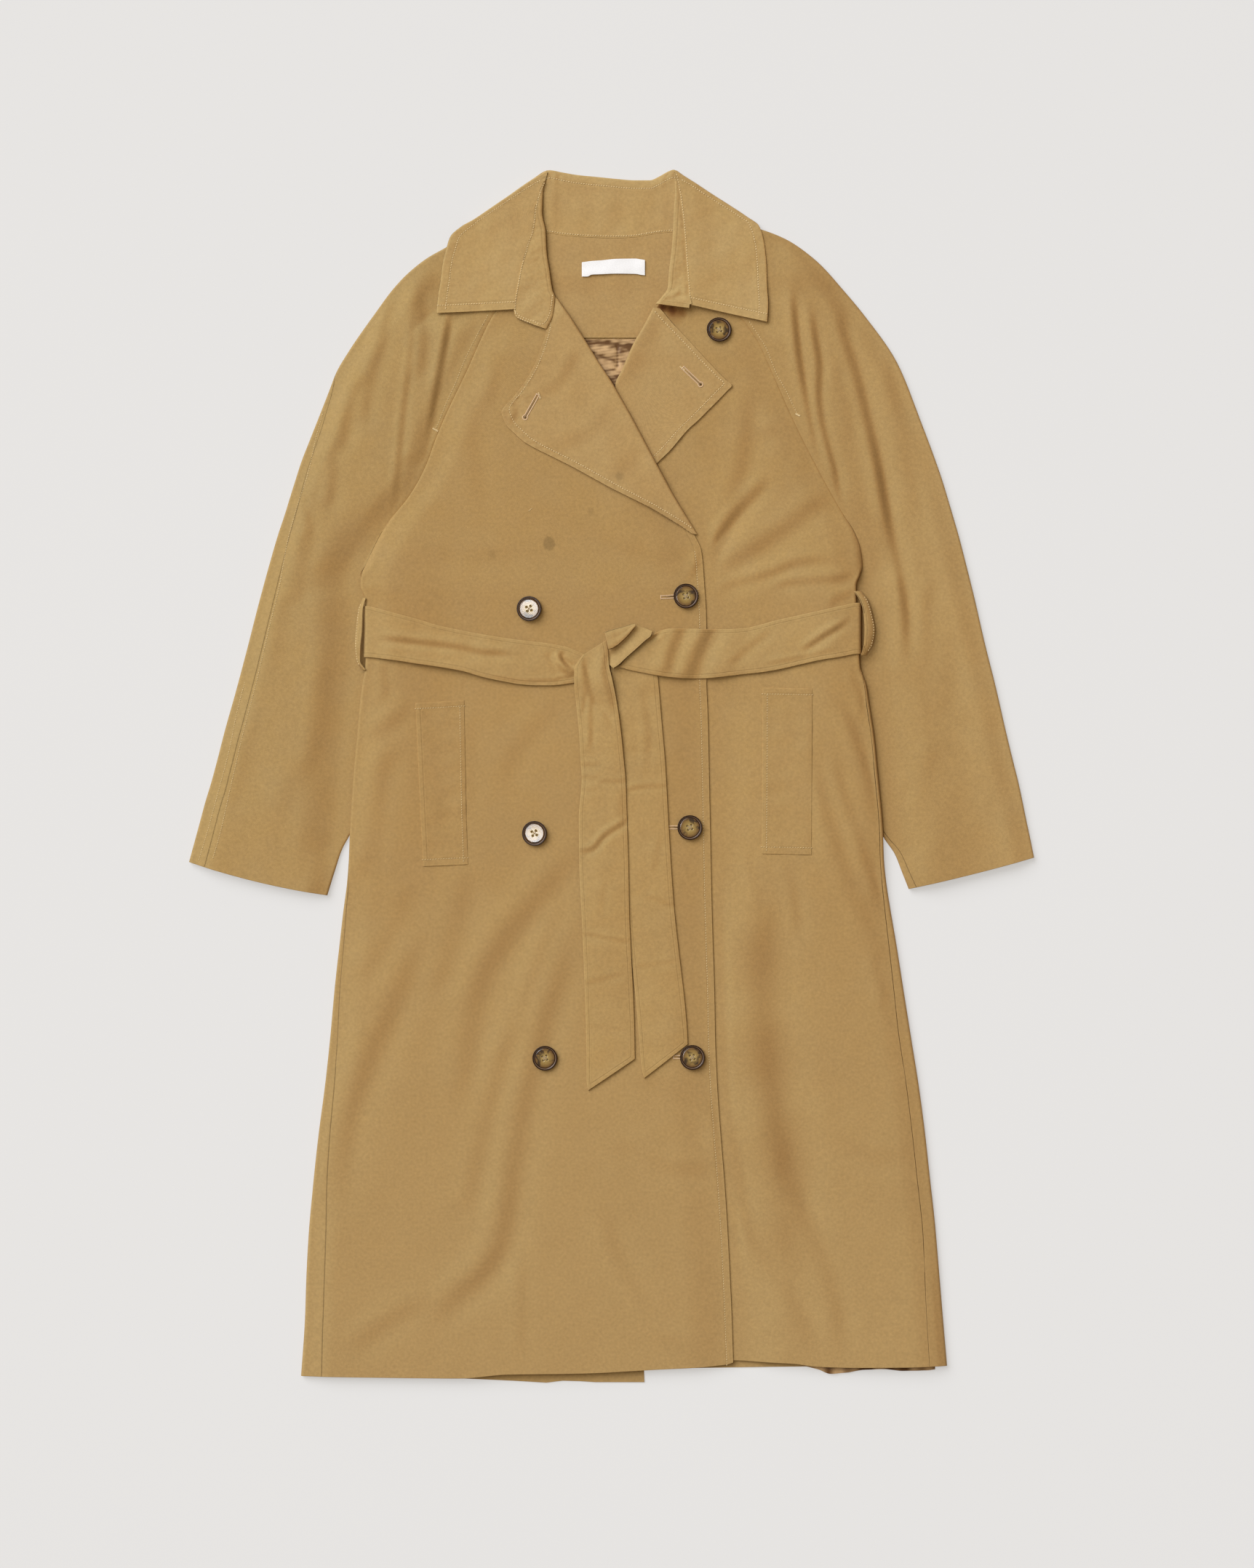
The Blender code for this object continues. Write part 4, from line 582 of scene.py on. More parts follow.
def makeTwill():
    # the diagonal of the weave, its yarns and its finer fuzz; heights in millimetres
    tree, given, out = newGroup(
        "twill",
        [("Vector", "NodeSocketVector", None), ("Pitch", "NodeSocketFloat", 0.0007),
         ("Depth", "NodeSocketFloat", 0.05)],
        [("Height", "NodeSocketFloat"), ("Shade", "NodeSocketFloat")],
    )
    rate = calc(tree, "DIVIDE", 0.314, given["Pitch"])
    lines = addNode(
        tree, "ShaderNodeTexWave",
        {"Vector": given["Vector"], "Scale": rate, "Distortion": 1.2, "Detail": 1.0,
         "Detail Scale": 0.6},
        wave_type="BANDS", bands_direction="DIAGONAL", wave_profile="SIN",
    ).outputs["Fac"]
    yarns = noise(tree, given["Vector"], 950.0, 1.0, 0.6)
    height = calc(tree, "MULTIPLY_ADD", lines, given["Depth"], 0.0)
    fuzz = calc(tree, "MULTIPLY", yarns, calc(tree, "MULTIPLY", given["Depth"], 1.1))
    tree.links.new(calc(tree, "ADD", height, fuzz), out["Height"])
    shade = calc(tree, "MULTIPLY_ADD", calc(tree, "SUBTRACT", yarns, 0.5), 0.26, 1.0)
    shade = calc(tree, "MULTIPLY", shade, ramp(tree, lines, 0.0, 1.0, 0.965, 1.02))
    tree.links.new(shade, out["Shade"])
    return tree


def makeMottle():
    # cloudy wash of the dyed cloth, at the size of a hand and of a thumb
    tree, given, out = newGroup(
        "mottle",
        [("Vector", "NodeSocketVector", None), ("Amount", "NodeSocketFloat", 0.05)],
        [("Shade", "NodeSocketFloat"), ("Warmth", "NodeSocketFloat")],
    )
    wide = noise(tree, given["Vector"], 11.0, 3.0, 0.6, 0.3)
    small = noise(tree, given["Vector"], 62.0, 4.0, 0.65)
    fine = noise(tree, given["Vector"], 330.0, 2.0, 0.6)
    both = calc(tree, "ADD", calc(tree, "MULTIPLY", wide, 0.12), calc(tree, "MULTIPLY", small, 0.16))
    both = calc(tree, "ADD", both, calc(tree, "MULTIPLY", fine, 0.72))
    shade = calc(tree, "MULTIPLY_ADD", calc(tree, "SUBTRACT", both, 0.5), given["Amount"], 1.0)
    tree.links.new(shade, out["Shade"])
    tree.links.new(ramp(tree, noise(tree, given["Vector"], 24.0, 2.0), 0.3, 0.7), out["Warmth"])
    return tree


def makeSeamRelief():
    # what a row of stitches does to the cloth beside an edge; Edge is 0 there and 1 at the row
    tree, given, out = newGroup(
        "seamRelief",
        [("Vector", "NodeSocketVector", None), ("Edge", "NodeSocketFloat", 9.0),
         ("Pucker", "NodeSocketFloat", 0.22)],
        [("Height", "NodeSocketFloat"), ("Shade", "NodeSocketFloat")],
    )
    fromRow = calc(tree, "ABSOLUTE", calc(tree, "SUBTRACT", given["Edge"], 1.0))
    groove = ramp(tree, fromRow, 0.0, 0.22, 1.0, 0.0)
    inside = ramp(tree, given["Edge"], 1.0, 1.7, 1.0, 0.0)
    waves = noise(tree, given["Vector"], 210.0, 1.5, 0.5, 0.4)
    height = calc(tree, "MULTIPLY", calc(tree, "MULTIPLY", waves, inside), given["Pucker"])
    height = calc(tree, "SUBTRACT", height, calc(tree, "MULTIPLY", groove, 0.20))
    tree.links.new(height, out["Height"])
    worn = ramp(tree, given["Edge"], 0.0, 0.30, 1.07, 1.0)
    # painted shade: the cloth is made a little darker along the row of stitches, in the groove they pull in
    dip = ramp(tree, fromRow, 0.0, 0.20, 0.93, 1.0)
    tree.links.new(calc(tree, "MULTIPLY", worn, dip), out["Shade"])
    return tree


def makeSpot():
    # a soft-edged dark mark round a place on the cloth; the marks are stains on some pieces and painted shade on the
    # left front
    tree, given, out = newGroup(
        "spot",
        [("Vector", "NodeSocketVector", None), ("Centre", "NodeSocketVector", None),
         ("Size", "NodeSocketFloat", 0.006), ("Soft", "NodeSocketFloat", 0.3)],
        [("Mask", "NodeSocketFloat")],
    )
    flat = addNode(tree, "ShaderNodeVectorMath", {0: given["Vector"], 1: (1.0, 0.84, 0.0)},
                   operation="MULTIPLY").outputs[0]
    flatCentre = addNode(tree, "ShaderNodeVectorMath", {0: given["Centre"], 1: (1.0, 0.84, 0.0)},
                         operation="MULTIPLY").outputs[0]
    away = addNode(tree, "ShaderNodeVectorMath", {0: flat, 1: flatCentre}, operation="DISTANCE")
    wobble = calc(tree, "MULTIPLY", noise(tree, given["Vector"], 180.0, 2.0), 0.0030)
    place = calc(tree, "SUBTRACT", calc(tree, "ADD", away.outputs["Value"], wobble), 0.0015)
    share = calc(tree, "DIVIDE", place, given["Size"])
    rim = calc(tree, "SUBTRACT", 1.0, given["Soft"])
    item = addNode(tree, "ShaderNodeMapRange",
                   {"Value": share, "From Min": rim, "From Max": 1.0, "To Min": 1.0, "To Max": 0.0},
                   interpolation_type="SMOOTHSTEP")
    tree.links.new(item.outputs["Result"], out["Mask"])
    return tree


shared = {"twill": makeTwill(), "mottle": makeMottle(), "seam": makeSeamRelief(), "spot": makeSpot()}


def useGroup(tree, name, inputs):
    item = tree.nodes.new("ShaderNodeGroup")
    item.node_tree = shared[name]
    for label, value in inputs.items():
        if isinstance(value, bpy.types.NodeSocket):
            tree.links.new(value, item.inputs[label])
        else:
            item.inputs[label].default_value = value
    return item.outputs


def newMaterial(name, roughness, **plain):
    material = bpy.data.materials.new(name)
    material.use_nodes = True
    tree = material.node_tree
    shader = tree.nodes["Principled BSDF"]
    shader.inputs["Roughness"].default_value = roughness
    for label, value in plain.items():
        shader.inputs[label.replace("_", " ")].default_value = value
    return material, tree, shader


def gabardine(name, look, spots=()):
    material, tree, shader = newMaterial(name, 0.82)
    shader.inputs["Sheen Weight"].default_value = look["sheen"]
    shader.inputs["Sheen Roughness"].default_value = 0.5
    shader.inputs["Sheen Tint"].default_value = (1.0, 0.86, 0.66, 1.0)
    shader.inputs["Specular IOR Level"].default_value = 0.25
    place = addNode(tree, "ShaderNodeTexCoord").outputs["Object"]
    cloth = addNode(tree, "ShaderNodeUVMap", uv_map="cloth").outputs["UV"]
    edge = addNode(tree, "ShaderNodeAttribute", attribute_name="edge").outputs["Fac"]
    weave = useGroup(tree, "twill", {"Vector": cloth, "Pitch": look["pitch"], "Depth": look["weave"]})
    cloudy = useGroup(tree, "mottle", {"Vector": place, "Amount": look["mottle"]})
    seam = useGroup(tree, "seam", {"Vector": place, "Edge": edge, "Pucker": look["pucker"]})
    tone = mixColour(tree, cloudy["Warmth"], (*look["cool"], 1.0), (*look["warm"], 1.0))
    # painted light and shade: the tone shifts along one direction, to a lighter tone towards the hem of the body and to
    # a darker one on the inner part of the left sleeve
    if "paintedLightTone" in look:
        slant = addNode(tree, "ShaderNodeVectorMath", {0: place, 1: look["paintedLightAlong"]}, operation="DOT_PRODUCT")
        height = slant.outputs["Value"]
        tone = mixColour(tree, ramp(tree, height, *look["paintedLightFrom"]), (*look["paintedLightTone"], 1.0), tone)
    shade = calc(tree, "MULTIPLY", calc(tree, "MULTIPLY", weave["Shade"], cloudy["Shade"]), seam["Shade"])
    shade = calc(tree, "MULTIPLY", shade, look["tone"])
    dim = 1.0
    # dark marks: stains, and painted shade where the list is the left front's
    for centre, size, soft, strength in spots:
        mask = useGroup(tree, "spot", {"Vector": place, "Centre": centre, "Size": size, "Soft": soft})
        dark = calc(tree, "MULTIPLY_ADD", mask["Mask"], -strength, 1.0)
        dim = calc(tree, "MULTIPLY", dim, dark)
    # painted shade: where the cloth leans away from the key light its colour is made warmer, with less green and blue
    paintedShade = addNode(tree, "ShaderNodeAttribute", attribute_name="paintedShade").outputs["Fac"]
    parts = []
    for power, loss in zip(look["dim"], look["paintedShade"]):
        part = calc(tree, "MULTIPLY", shade, calc(tree, "POWER", dim, power))
        parts.append(calc(tree, "MULTIPLY", part, calc(tree, "MULTIPLY_ADD", paintedShade, -loss, 1.0)))
    grey = addNode(tree, "ShaderNodeCombineColor", dict(enumerate(parts))).outputs[0]
    tree.links.new(mixColour(tree, 1.0, tone, grey, "MULTIPLY"), shader.inputs["Base Color"])
    fuzz = noise(tree, place, 140.0, 3.0)
    tree.links.new(ramp(tree, fuzz, 0.2, 0.8, 0.76, 0.88), shader.inputs["Roughness"])
    height = calc(tree, "ADD", weave["Height"], seam["Height"])
    height = calc(tree, "ADD", height, calc(tree, "MULTIPLY", noise(tree, place, 75.0, 3.0), 0.06))
    bump = addNode(tree, "ShaderNodeBump", {"Strength": 1.0, "Distance": mm, "Height": height})
    tree.links.new(bump.outputs["Normal"], shader.inputs["Normal"])
    return material


# cloth colours and finish; the last entry sets the painted shade: how much each channel of the colour changes where the
# cloth leans away from the key light
clothLook = {
    "cool": (0.396, 0.246, 0.0895), "warm": (0.401, 0.246, 0.0855), "tone": 1.0, "sheen": 0.10,
    "pitch": 0.0007, "weave": 0.030, "mottle": 0.55, "pucker": 0.22, "dim": (1.0, 1.0, 1.0),
    "paintedShade": (-0.012, 0.032, 0.062),
}
bodySpots = [
    ((-0.064, 0.239, 0.0), 0.0072, 0.35, 0.26),
    ((-0.122, 0.228, 0.0), 0.0060, 0.90, 0.15),
    ((-0.0205, 0.272, 0.0), 0.0050, 0.90, 0.14),
]
# painted shade: a dark hollow under the left end of the collar, and a soft dark fold down the left front; the front
# cloth's dim powers make these marks a warmer brown
frontPaintedShade = [
    ((0.0530, 0.4830, 0.0), 0.0080, 0.90, 0.75), ((0.0625, 0.4805, 0.0), 0.0090, 0.90, 0.66),
    ((0.0730, 0.4790, 0.0), 0.0085, 0.90, 0.42), ((0.0660, 0.4740, 0.0), 0.0125, 0.95, 0.24),
    ((0.1520, -0.1900, 0.0), 0.0480, 0.95, 0.08), ((0.1540, -0.2900, 0.0), 0.0560, 0.95, 0.11),
    ((0.1640, -0.3900, 0.0), 0.0600, 0.95, 0.10), ((0.1720, -0.4800, 0.0), 0.0500, 0.95, 0.07),
]
lapelSpots = [((0.0086, 0.308, 0.0), 0.0056, 0.80, 0.20)]
# painted light: a lighter tone towards the hem
paintedLightLook = {**clothLook, "paintedLightTone": (0.405, 0.259, 0.099), "paintedLightFrom": (-0.62, 0.12), "paintedLightAlong": (0.0, 1.0, 0.0)}
bodyCloth = gabardine("gabardineBody", paintedLightLook, bodySpots)
plainCloth = gabardine("gabardine", paintedLightLook)
frontCloth = gabardine("gabardineFront", {**paintedLightLook, "dim": (0.90, 1.35, 1.90)}, frontPaintedShade)
# painted light: the lapels and facing, the collar and the left sleeve get lighter copies of the same cloth colour, to
# match how much brighter they show in the light; the left sleeve is also painted darker on its inner part
lapelLook = {**clothLook, "cool": (0.428, 0.274, 0.106), "warm": (0.432, 0.272, 0.102)}
lapelCloth = gabardine("gabardineLapel", lapelLook, lapelSpots)
collarLook = {**clothLook, "cool": (0.455, 0.300, 0.119), "warm": (0.460, 0.300, 0.114)}
collarCloth = gabardine("gabardineCollar", collarLook)
sleeveLook = {**clothLook, "cool": (0.401, 0.259, 0.0975), "warm": (0.407, 0.258, 0.0925)}
sleeveCloth = gabardine("gabardineSleeve", sleeveLook)
cuffLook = {**clothLook, "cool": (0.440, 0.290, 0.114), "warm": (0.446, 0.288, 0.109), "paintedLightTone": (0.388, 0.238, 0.0845),
            "paintedLightFrom": (0.335, 0.412), "paintedLightAlong": (1.0, 0.235, 0.0)}
cuffCloth = gabardine("gabardineCuff", cuffLook)
print("materials ready")

rowPlan = {"step": 4.3, "hem": (0, 0.8, 2, 4, 6.5, 10), "armpit": (190, 282, 2.1), "top": 490}


def bodyRows(hem):
    low, high, fine = rowPlan["armpit"]
    rows = [hem + value for value in rowPlan["hem"]]
    rows += list(np.linspace(rows[-1], low, int((low - rows[-1]) / rowPlan["step"]) + 1)[1:])
    rows += list(np.linspace(low, high, int((high - low) / fine) + 1)[1:])
    rows += list(np.linspace(high, rowPlan["top"], int((rowPlan["top"] - high) / 3.8) + 1)[1:])
    return np.array(rows)[:, None] * mm


def bodyEdge(y, side, rows, top):
    # folded side of the body, from the back round to the front
    reach = mixed(reachOf["side"], reachOf["raglan"], ease((y - 0.190) / 0.026))
    x = rows["fold"](y) - side * layer["gap"] / 2.0
    inner = x - side * (reach + layer["cloth"] / 2.0)
    low, high = backMid(inner, y), top(inner, y)
    return {"x": x, "y": y, "dx": side, "dy": 0.0, "low": low, "high": high, "reach": reach}


def sewnShare(y):
    # 0 where the side is a fold, 1 where the raglan seam joins it to the sleeve
    return ease((y - 0.203) / 0.017)


def sleeveEdgeZ(y):
    tucked = ease((y + 0.115) / 0.045) * ease((0.300 - y) / 0.090)
    return mixed(layer["sleeve"] + leafLift(y), layer["tucked"], tucked)


def raglanZ(x, y, top):
    body, sleeve = top(x, y), sleeveEdgeZ(y)
    return np.minimum(body, sleeve) - 0.45 * mm + 0.2 * np.abs(body - sleeve)


def raglanSpan(x, y, top):
    return mixed(2.6 * mm, 8.0 * mm, ease(np.abs(top(x, y) - sleeveEdgeZ(y)) / (5.0 * mm)))


sideColumns = np.array([0, 0.35, 0.8, 1.3, 1.9, 2.6, 3.4, 4.4, 6.0, 8.5, 12.0]) * mm


def makeFront(name, node, rows, side, hemRise, top, plan, material):
    y = bodyRows(plan["hem"])
    edge = bodyEdge(y, side, rows, top)
    start = seamPlace(edge, rows["seam"](y)) + layer["gap"] / 2.0
    folded = bendPoints(edge, start + sideColumns, top)
    x = rows["fold"](y) - side * (layer["gap"] / 2.0 + sideColumns)
    seamZ = raglanZ(x[:, :1], y, top)
    z = mixed(seamZ, top(x, y), rollOff(sideColumns[None, :], raglanSpan(x[:, :1], y, top)))
    sewn = np.stack([x, y + 0.0 * x, z], axis=-1)
    sidePart = mixed(folded, sewn, sewnShare(y)[..., None])

    rolled = ease((y - 0.232) / 0.018) * (reachOf["roll"] + layer["cloth"] / 2.0 + layer["gap"])
    frontX = rows["front"](y) + side * rolled
    frontOffsets = np.array(plan["frontOffsets"]) * mm
    begin = sidePart[:, -1:, 0]
    shares = np.linspace(0.0, 1.0, plan["middle"] + 1)[1:]
    if "seenTo" in plan:
        seen = np.maximum(right["front"](y) - plan["seenTo"] * mm, frontX + 4.0 * mm)
        middle = mixed(begin, seen, shares)
        hidden = mixed(seen, frontX, np.linspace(0.0, 1.0, plan["hidden"] + 1)[1:])
        x = np.concatenate([middle, hidden], axis=1)
    else:
        middle = mixed(begin, frontX + side * frontOffsets[0], shares)
        x = np.concatenate([middle, frontX + side * frontOffsets[1:]], axis=1)
    across = np.stack([x, y + 0.0 * x, top(x, y + 0.0 * x)], axis=-1)
    grid = np.concatenate([sidePart, across], axis=1)
    atHem = ease(1.0 - (y - y[0]) / 0.060)
    grid[..., 1] += hemRise(grid[..., 0]) * atHem
    return shell(name, grid, material, node=node, stitched=plan.get("stitched"))


backCreases = [
    (14, 0.7, [(-40, -580), (-60, -400), (-52, -250)]),
    (18, 0.8, [(-120, -520), (-150, -330), (-128, -160)]),
    (16, 0.7, [(60, -560), (92, -380), (84, -190)]),
    (18, 0.8, [(160, -500), (138, -300), (152, -120)]),
    (14, 0.6, [(-90, 60), (-20, 30), (60, 66)]),
    (14, 0.7, [(-120, 330), (-40, 290), (50, 300), (120, 350)]),
    (12, 0.5, [(-60, 460), (0, 420), (52, 470)]),
]


def backTop(x, y):
    # the back rests on the floor and lifts off it a little in its creases
    return backMid(x, y) + creaseField(x, y, backCreases)


def makeBack(name, node, rows, side, hemRise, top, plan):
    y = bodyRows(plan["hem"])
    y = np.concatenate([y[:8], y[8::2], np.linspace(0.494, 0.548, 14)[:, None]])
    edge = bodyEdge(y, side, rows, top)
    end = seamPlace(edge, rows["seam"](y)) - layer["gap"] / 2.0
    centre = 0.0345 * (0.548 - y) / (0.548 - y[0]) + side * layer["gap"] / 2.0
    foot = edge["x"] - side * (edge["reach"] + layer["cloth"] / 2.0)
    shares = np.concatenate([np.linspace(0.0, 0.72, 16), np.linspace(0.72, 1.0, 22)[1:]])
    x = mixed(centre, foot, shares)
    z = np.where(shares < 0.999, backTop(x, y + 0.0 * x), edge["low"])
    flat = np.stack([x, y + 0.0 * x, z], axis=-1)
    turns = np.linspace(0.0, 1.0, plan["turns"] + 1)[1:]
    folded = bendPoints(edge, end * turns, top)
    seamX = rows["fold"](y) - side * layer["gap"] / 2.0
    x = mixed(foot, seamX, turns)
    own = backMid(x, y)
    seamZ = layer["floor"] + 0.3 * (own[:, -1:] - layer["floor"])
    z = mixed(seamZ, own, rollOff(np.abs(seamX - x), 3.0 * mm))
    sewn = np.stack([x, y + 0.0 * x, z], axis=-1)
    sidePart = mixed(folded, sewn, sewnShare(y)[..., None])
    grid = np.concatenate([flat, sidePart], axis=1)
    atHem = ease(1.0 - (y - y[0]) / 0.050)
    grid[..., 1] += hemRise(grid[..., 0]) * atHem
    return shell(name, grid, bodyCloth, node=node)


def hemCurve(points):
    table = np.array(points, float) * mm
    return throughPoints(table[:, 0], table[:, 1])


frontRightPlan = {
    "hem": -618.0, "middle": 104, "frontOffsets": (14, 11, 9, 7.8, 7.0, 6.2, 4.6, 3.0, 1.6, 0.7, 0),
    "stitched": {"right": 7.0},
}
frontRightHem = hemCurve([(-319.5, 0), (-210, -1.5), (-155, -2), (-107, 2), (-31, 3), (45, 7),
                          (120, 12), (126, 14)])
frontLeftPlan = {"hem": -607.5, "middle": 76, "seenTo": 12.0, "hidden": 8, "frontOffsets": (0,)}
frontLeftHem = hemCurve([(90, 6), (127, 5.5), (156, 4), (188, 2.5), (213, -0.5), (251, -1.5),
                         (304, -0.9), (346.7, 0.2)])
backRightPlan = {"hem": -618.0, "turns": 13}
backRightHem = hemCurve([(-319.5, 0), (-210, -1.5), (-91, -6), (-67, -7.5), (-43, -5), (-22, -7),
                         (34.5, -7)])
backLeftPlan = {"hem": -607.5, "turns": 12}
backLeftHem = hemCurve([(34, -5), (60, -3.5), (346, 0)])

makeFront("frontRight", "front_right", right, -1, frontRightHem, rightMid, frontRightPlan, bodyCloth)
makeFront("frontLeft", "front_left", left, 1, frontLeftHem, leftMid, frontLeftPlan, frontCloth)
makeBack("backRight", "back_right", right, -1, backRightHem, rightMid, backRightPlan)
makeBack("backLeft", "back_left", left, 1, backLeftHem, leftMid, backLeftPlan)
print("body ready")

# sections of a sleeve from the neck to the cuff, in millimetres: inner edge, outer edge, and
# how far in from them the overarm and the underarm seam show
sleeveColumns = ["innerX", "innerY", "outerX", "outerY", "outerSeam", "innerSeam"]
rightSleeveRows = [
    (-78, 548, -148, 559, 0, 0), (-95, 520, -169, 545, 0, 0), (-112, 490, -190, 533, 0, 0),
    (-125, 468, -210, 517, 0, 0), (-136, 445, -226, 500, 0, 0), (-147, 420, -240, 481, 0, 0),
    (-170.8, 370, -270, 438, 0, 0), (-181.2, 345, -283, 416, 0, 0),
    (-189.5, 322, -290, 398, 4, 0), (-198.7, 303, -297, 380, 6, 0),
    (-210, 285, -304.5, 361, 8, 0), (-223.8, 268, -312, 342, 9, 0),
    (-236.2, 250, -319, 324, 10, 0), (-245.5, 232, -325.5, 304, 11, 0),
    (-253, 216, -332, 283, 12, 0), (-257, 207, -336, 270, 12.5, 0),
    (-245, 185, -343, 249, 13, 0), (-234, 155, -354, 211, 14, 0), (-230, 115, -364, 174, 15, 0),
    (-231, 70, -375, 131, 15.5, 0), (-237, 25, -387, 86, 16, 0), (-248, -15, -398, 47, 16.5, 0),
    (-260, -43, -407, 12, 16.5, 0), (-269, -61, -412.5, -8, 17, 0), (-277, -76, -418, -26, 17, 0),
    (-284, -97, -425, -52, 17, 0), (-292, -123, -435, -88.5, 17, 0),
]
leftSleeveRows = [
    (80, 548, 136, 568, 0, 0), (100, 520, 156, 562.5, 0, 0), (123, 490, 180, 553, 0, 0),
    (137, 468, 210, 532, 0, 0), (152.5, 445, 240, 500, 0, 0), (164, 420, 260, 476, 0, 0),
    (186, 370, 293.5, 428.5, 0, 0), (198, 345, 303.5, 407, 0, 0), (210, 322, 312, 385, 0, 0),
    (220, 303, 319.5, 365, 0, 0), (230, 285, 326, 348, 0, 0), (240, 268, 333, 329, 0, 0),
    (251, 250, 341, 306, 0, 0), (257, 232, 348, 283, 0, 0), (258.5, 216, 354.5, 261, 0, 0),
    (256.2, 207, 358, 249, 0, 0), (245, 185, 365, 222, 0, 0), (236, 155, 374, 186, 0, 0),
    (233, 115, 385.5, 136, 0, 0), (235, 70, 396.5, 92, 0, 0), (244, 25, 407, 46, 0, 0),
    (257, -15, 415, 13, 0, 0), (270, -43, 420, -7, 0, 1.5), (281, -64, 424.5, -28, 0, 4),
    (292, -80, 427.5, -43, 0, 6), (300, -100, 432, -64, 0, 7), (306.5, -116.5, 436, -84, 0, 8),
]
rightSleeveSteps = [(5.5, 3.6, [(-164, 494), (-168, 466), (-173, 436), (-179, 404), (-184, 370), (-189, 336), (-194, 312)])]
rightSleeveCreases = [
    (5, 1.6, [(-165, 484), (-170, 450), (-176, 418), (-182, 385), (-188, 345)]),
    (10, 2.6, [(-199, 512), (-197, 482), (-193, 455), (-195, 425), (-200, 400)]),
    (5, 1.5, [(-209, 496), (-205, 460), (-208, 420), (-213, 380), (-218, 330), (-222, 292), (-228, 250)]),
    (10, 2.4, [(-216, 508), (-231, 472), (-238, 440), (-247, 410), (-252, 384), (-256, 350)]),
    (10, 2.2, [(-256, 418), (-268, 382), (-275, 352), (-282, 325)]),
    (9, 1.8, [(-290, 345), (-286, 315), (-288, 292), (-292, 270)]),
    (8, 1.7, [(-322, 290), (-313, 268), (-305, 246)]),
    (11, 1.3, [(-310, 262), (-315, 232), (-320, 198), (-324, 172)]),
    (13, 0.9, [(-338, 190), (-342, 150), (-344, 104)]),
    (17, 1.5, [(-272, 268), (-279, 205), (-284, 150), (-288, 104), (-294, 60), (-304, 22), (-324, -2), (-340, -42), (-352, -94)]),
    (9, 0.9, [(-190, 332), (-203, 326), (-216, 330)]),
    (16, 1.0, [(-372, 60), (-380, 10), (-396, -40)]),
    (14, 0.9, [(-262, 470), (-278, 420), (-292, 380)]),
]
leftSleeveSteps = []
leftSleeveCreases = [
    (6.5, 5.0, [(186, 512), (188, 478), (191, 448), (196, 412), (202, 380), (208, 350), (219, 312)]),
    (6.5, 5.0, [(204, 492), (209, 455), (214, 420), (213, 395), (215, 370), (222, 340), (230, 312), (233, 290), (240, 262)]),
    (9, 5.4, [(190, 530), (214, 501), (230, 480), (240, 450), (250, 420), (258, 390), (265, 360), (272, 330), (278, 300),
              (284, 260), (290, 230), (297, 200), (302, 165), (303, 132), (300, 92)]),
    (10, 2.6, [(168, 556), (200, 531), (225, 505), (240, 480), (250, 452)]),
    (12, 1.7, [(226, 428), (238, 400), (246, 370), (250, 340)]),
    (12, 1.9, [(280, 440), (288, 400), (300, 342), (310, 300), (322, 262)]),
    (8, 2.2, [(270, 226), (277, 180), (280, 138), (282, 95), (283, 50), (281, 8)]),
    (8, 2.0, [(306, 0), (298, -20), (290, -36), (282, -54)]),
    (9, 2.4, [(266, 350), (278, 296), (288, 246), (296, 204), (302, 160), (302, 106)]),
    (14, 1.3, [(336, 40), (322, 0), (318, -40), (320, -78)]),
    (14, 1.0, [(340, 150), (346, 110), (346, 60)]),
    (10, 1.0, [(330, 210), (324, 160), (330, 110)]),
    (16, 1.0, [(380, 60), (392, 10), (400, -44)]),
]


def sleeveLow(x, y):
    return layer["floor"] + leafLift(y)


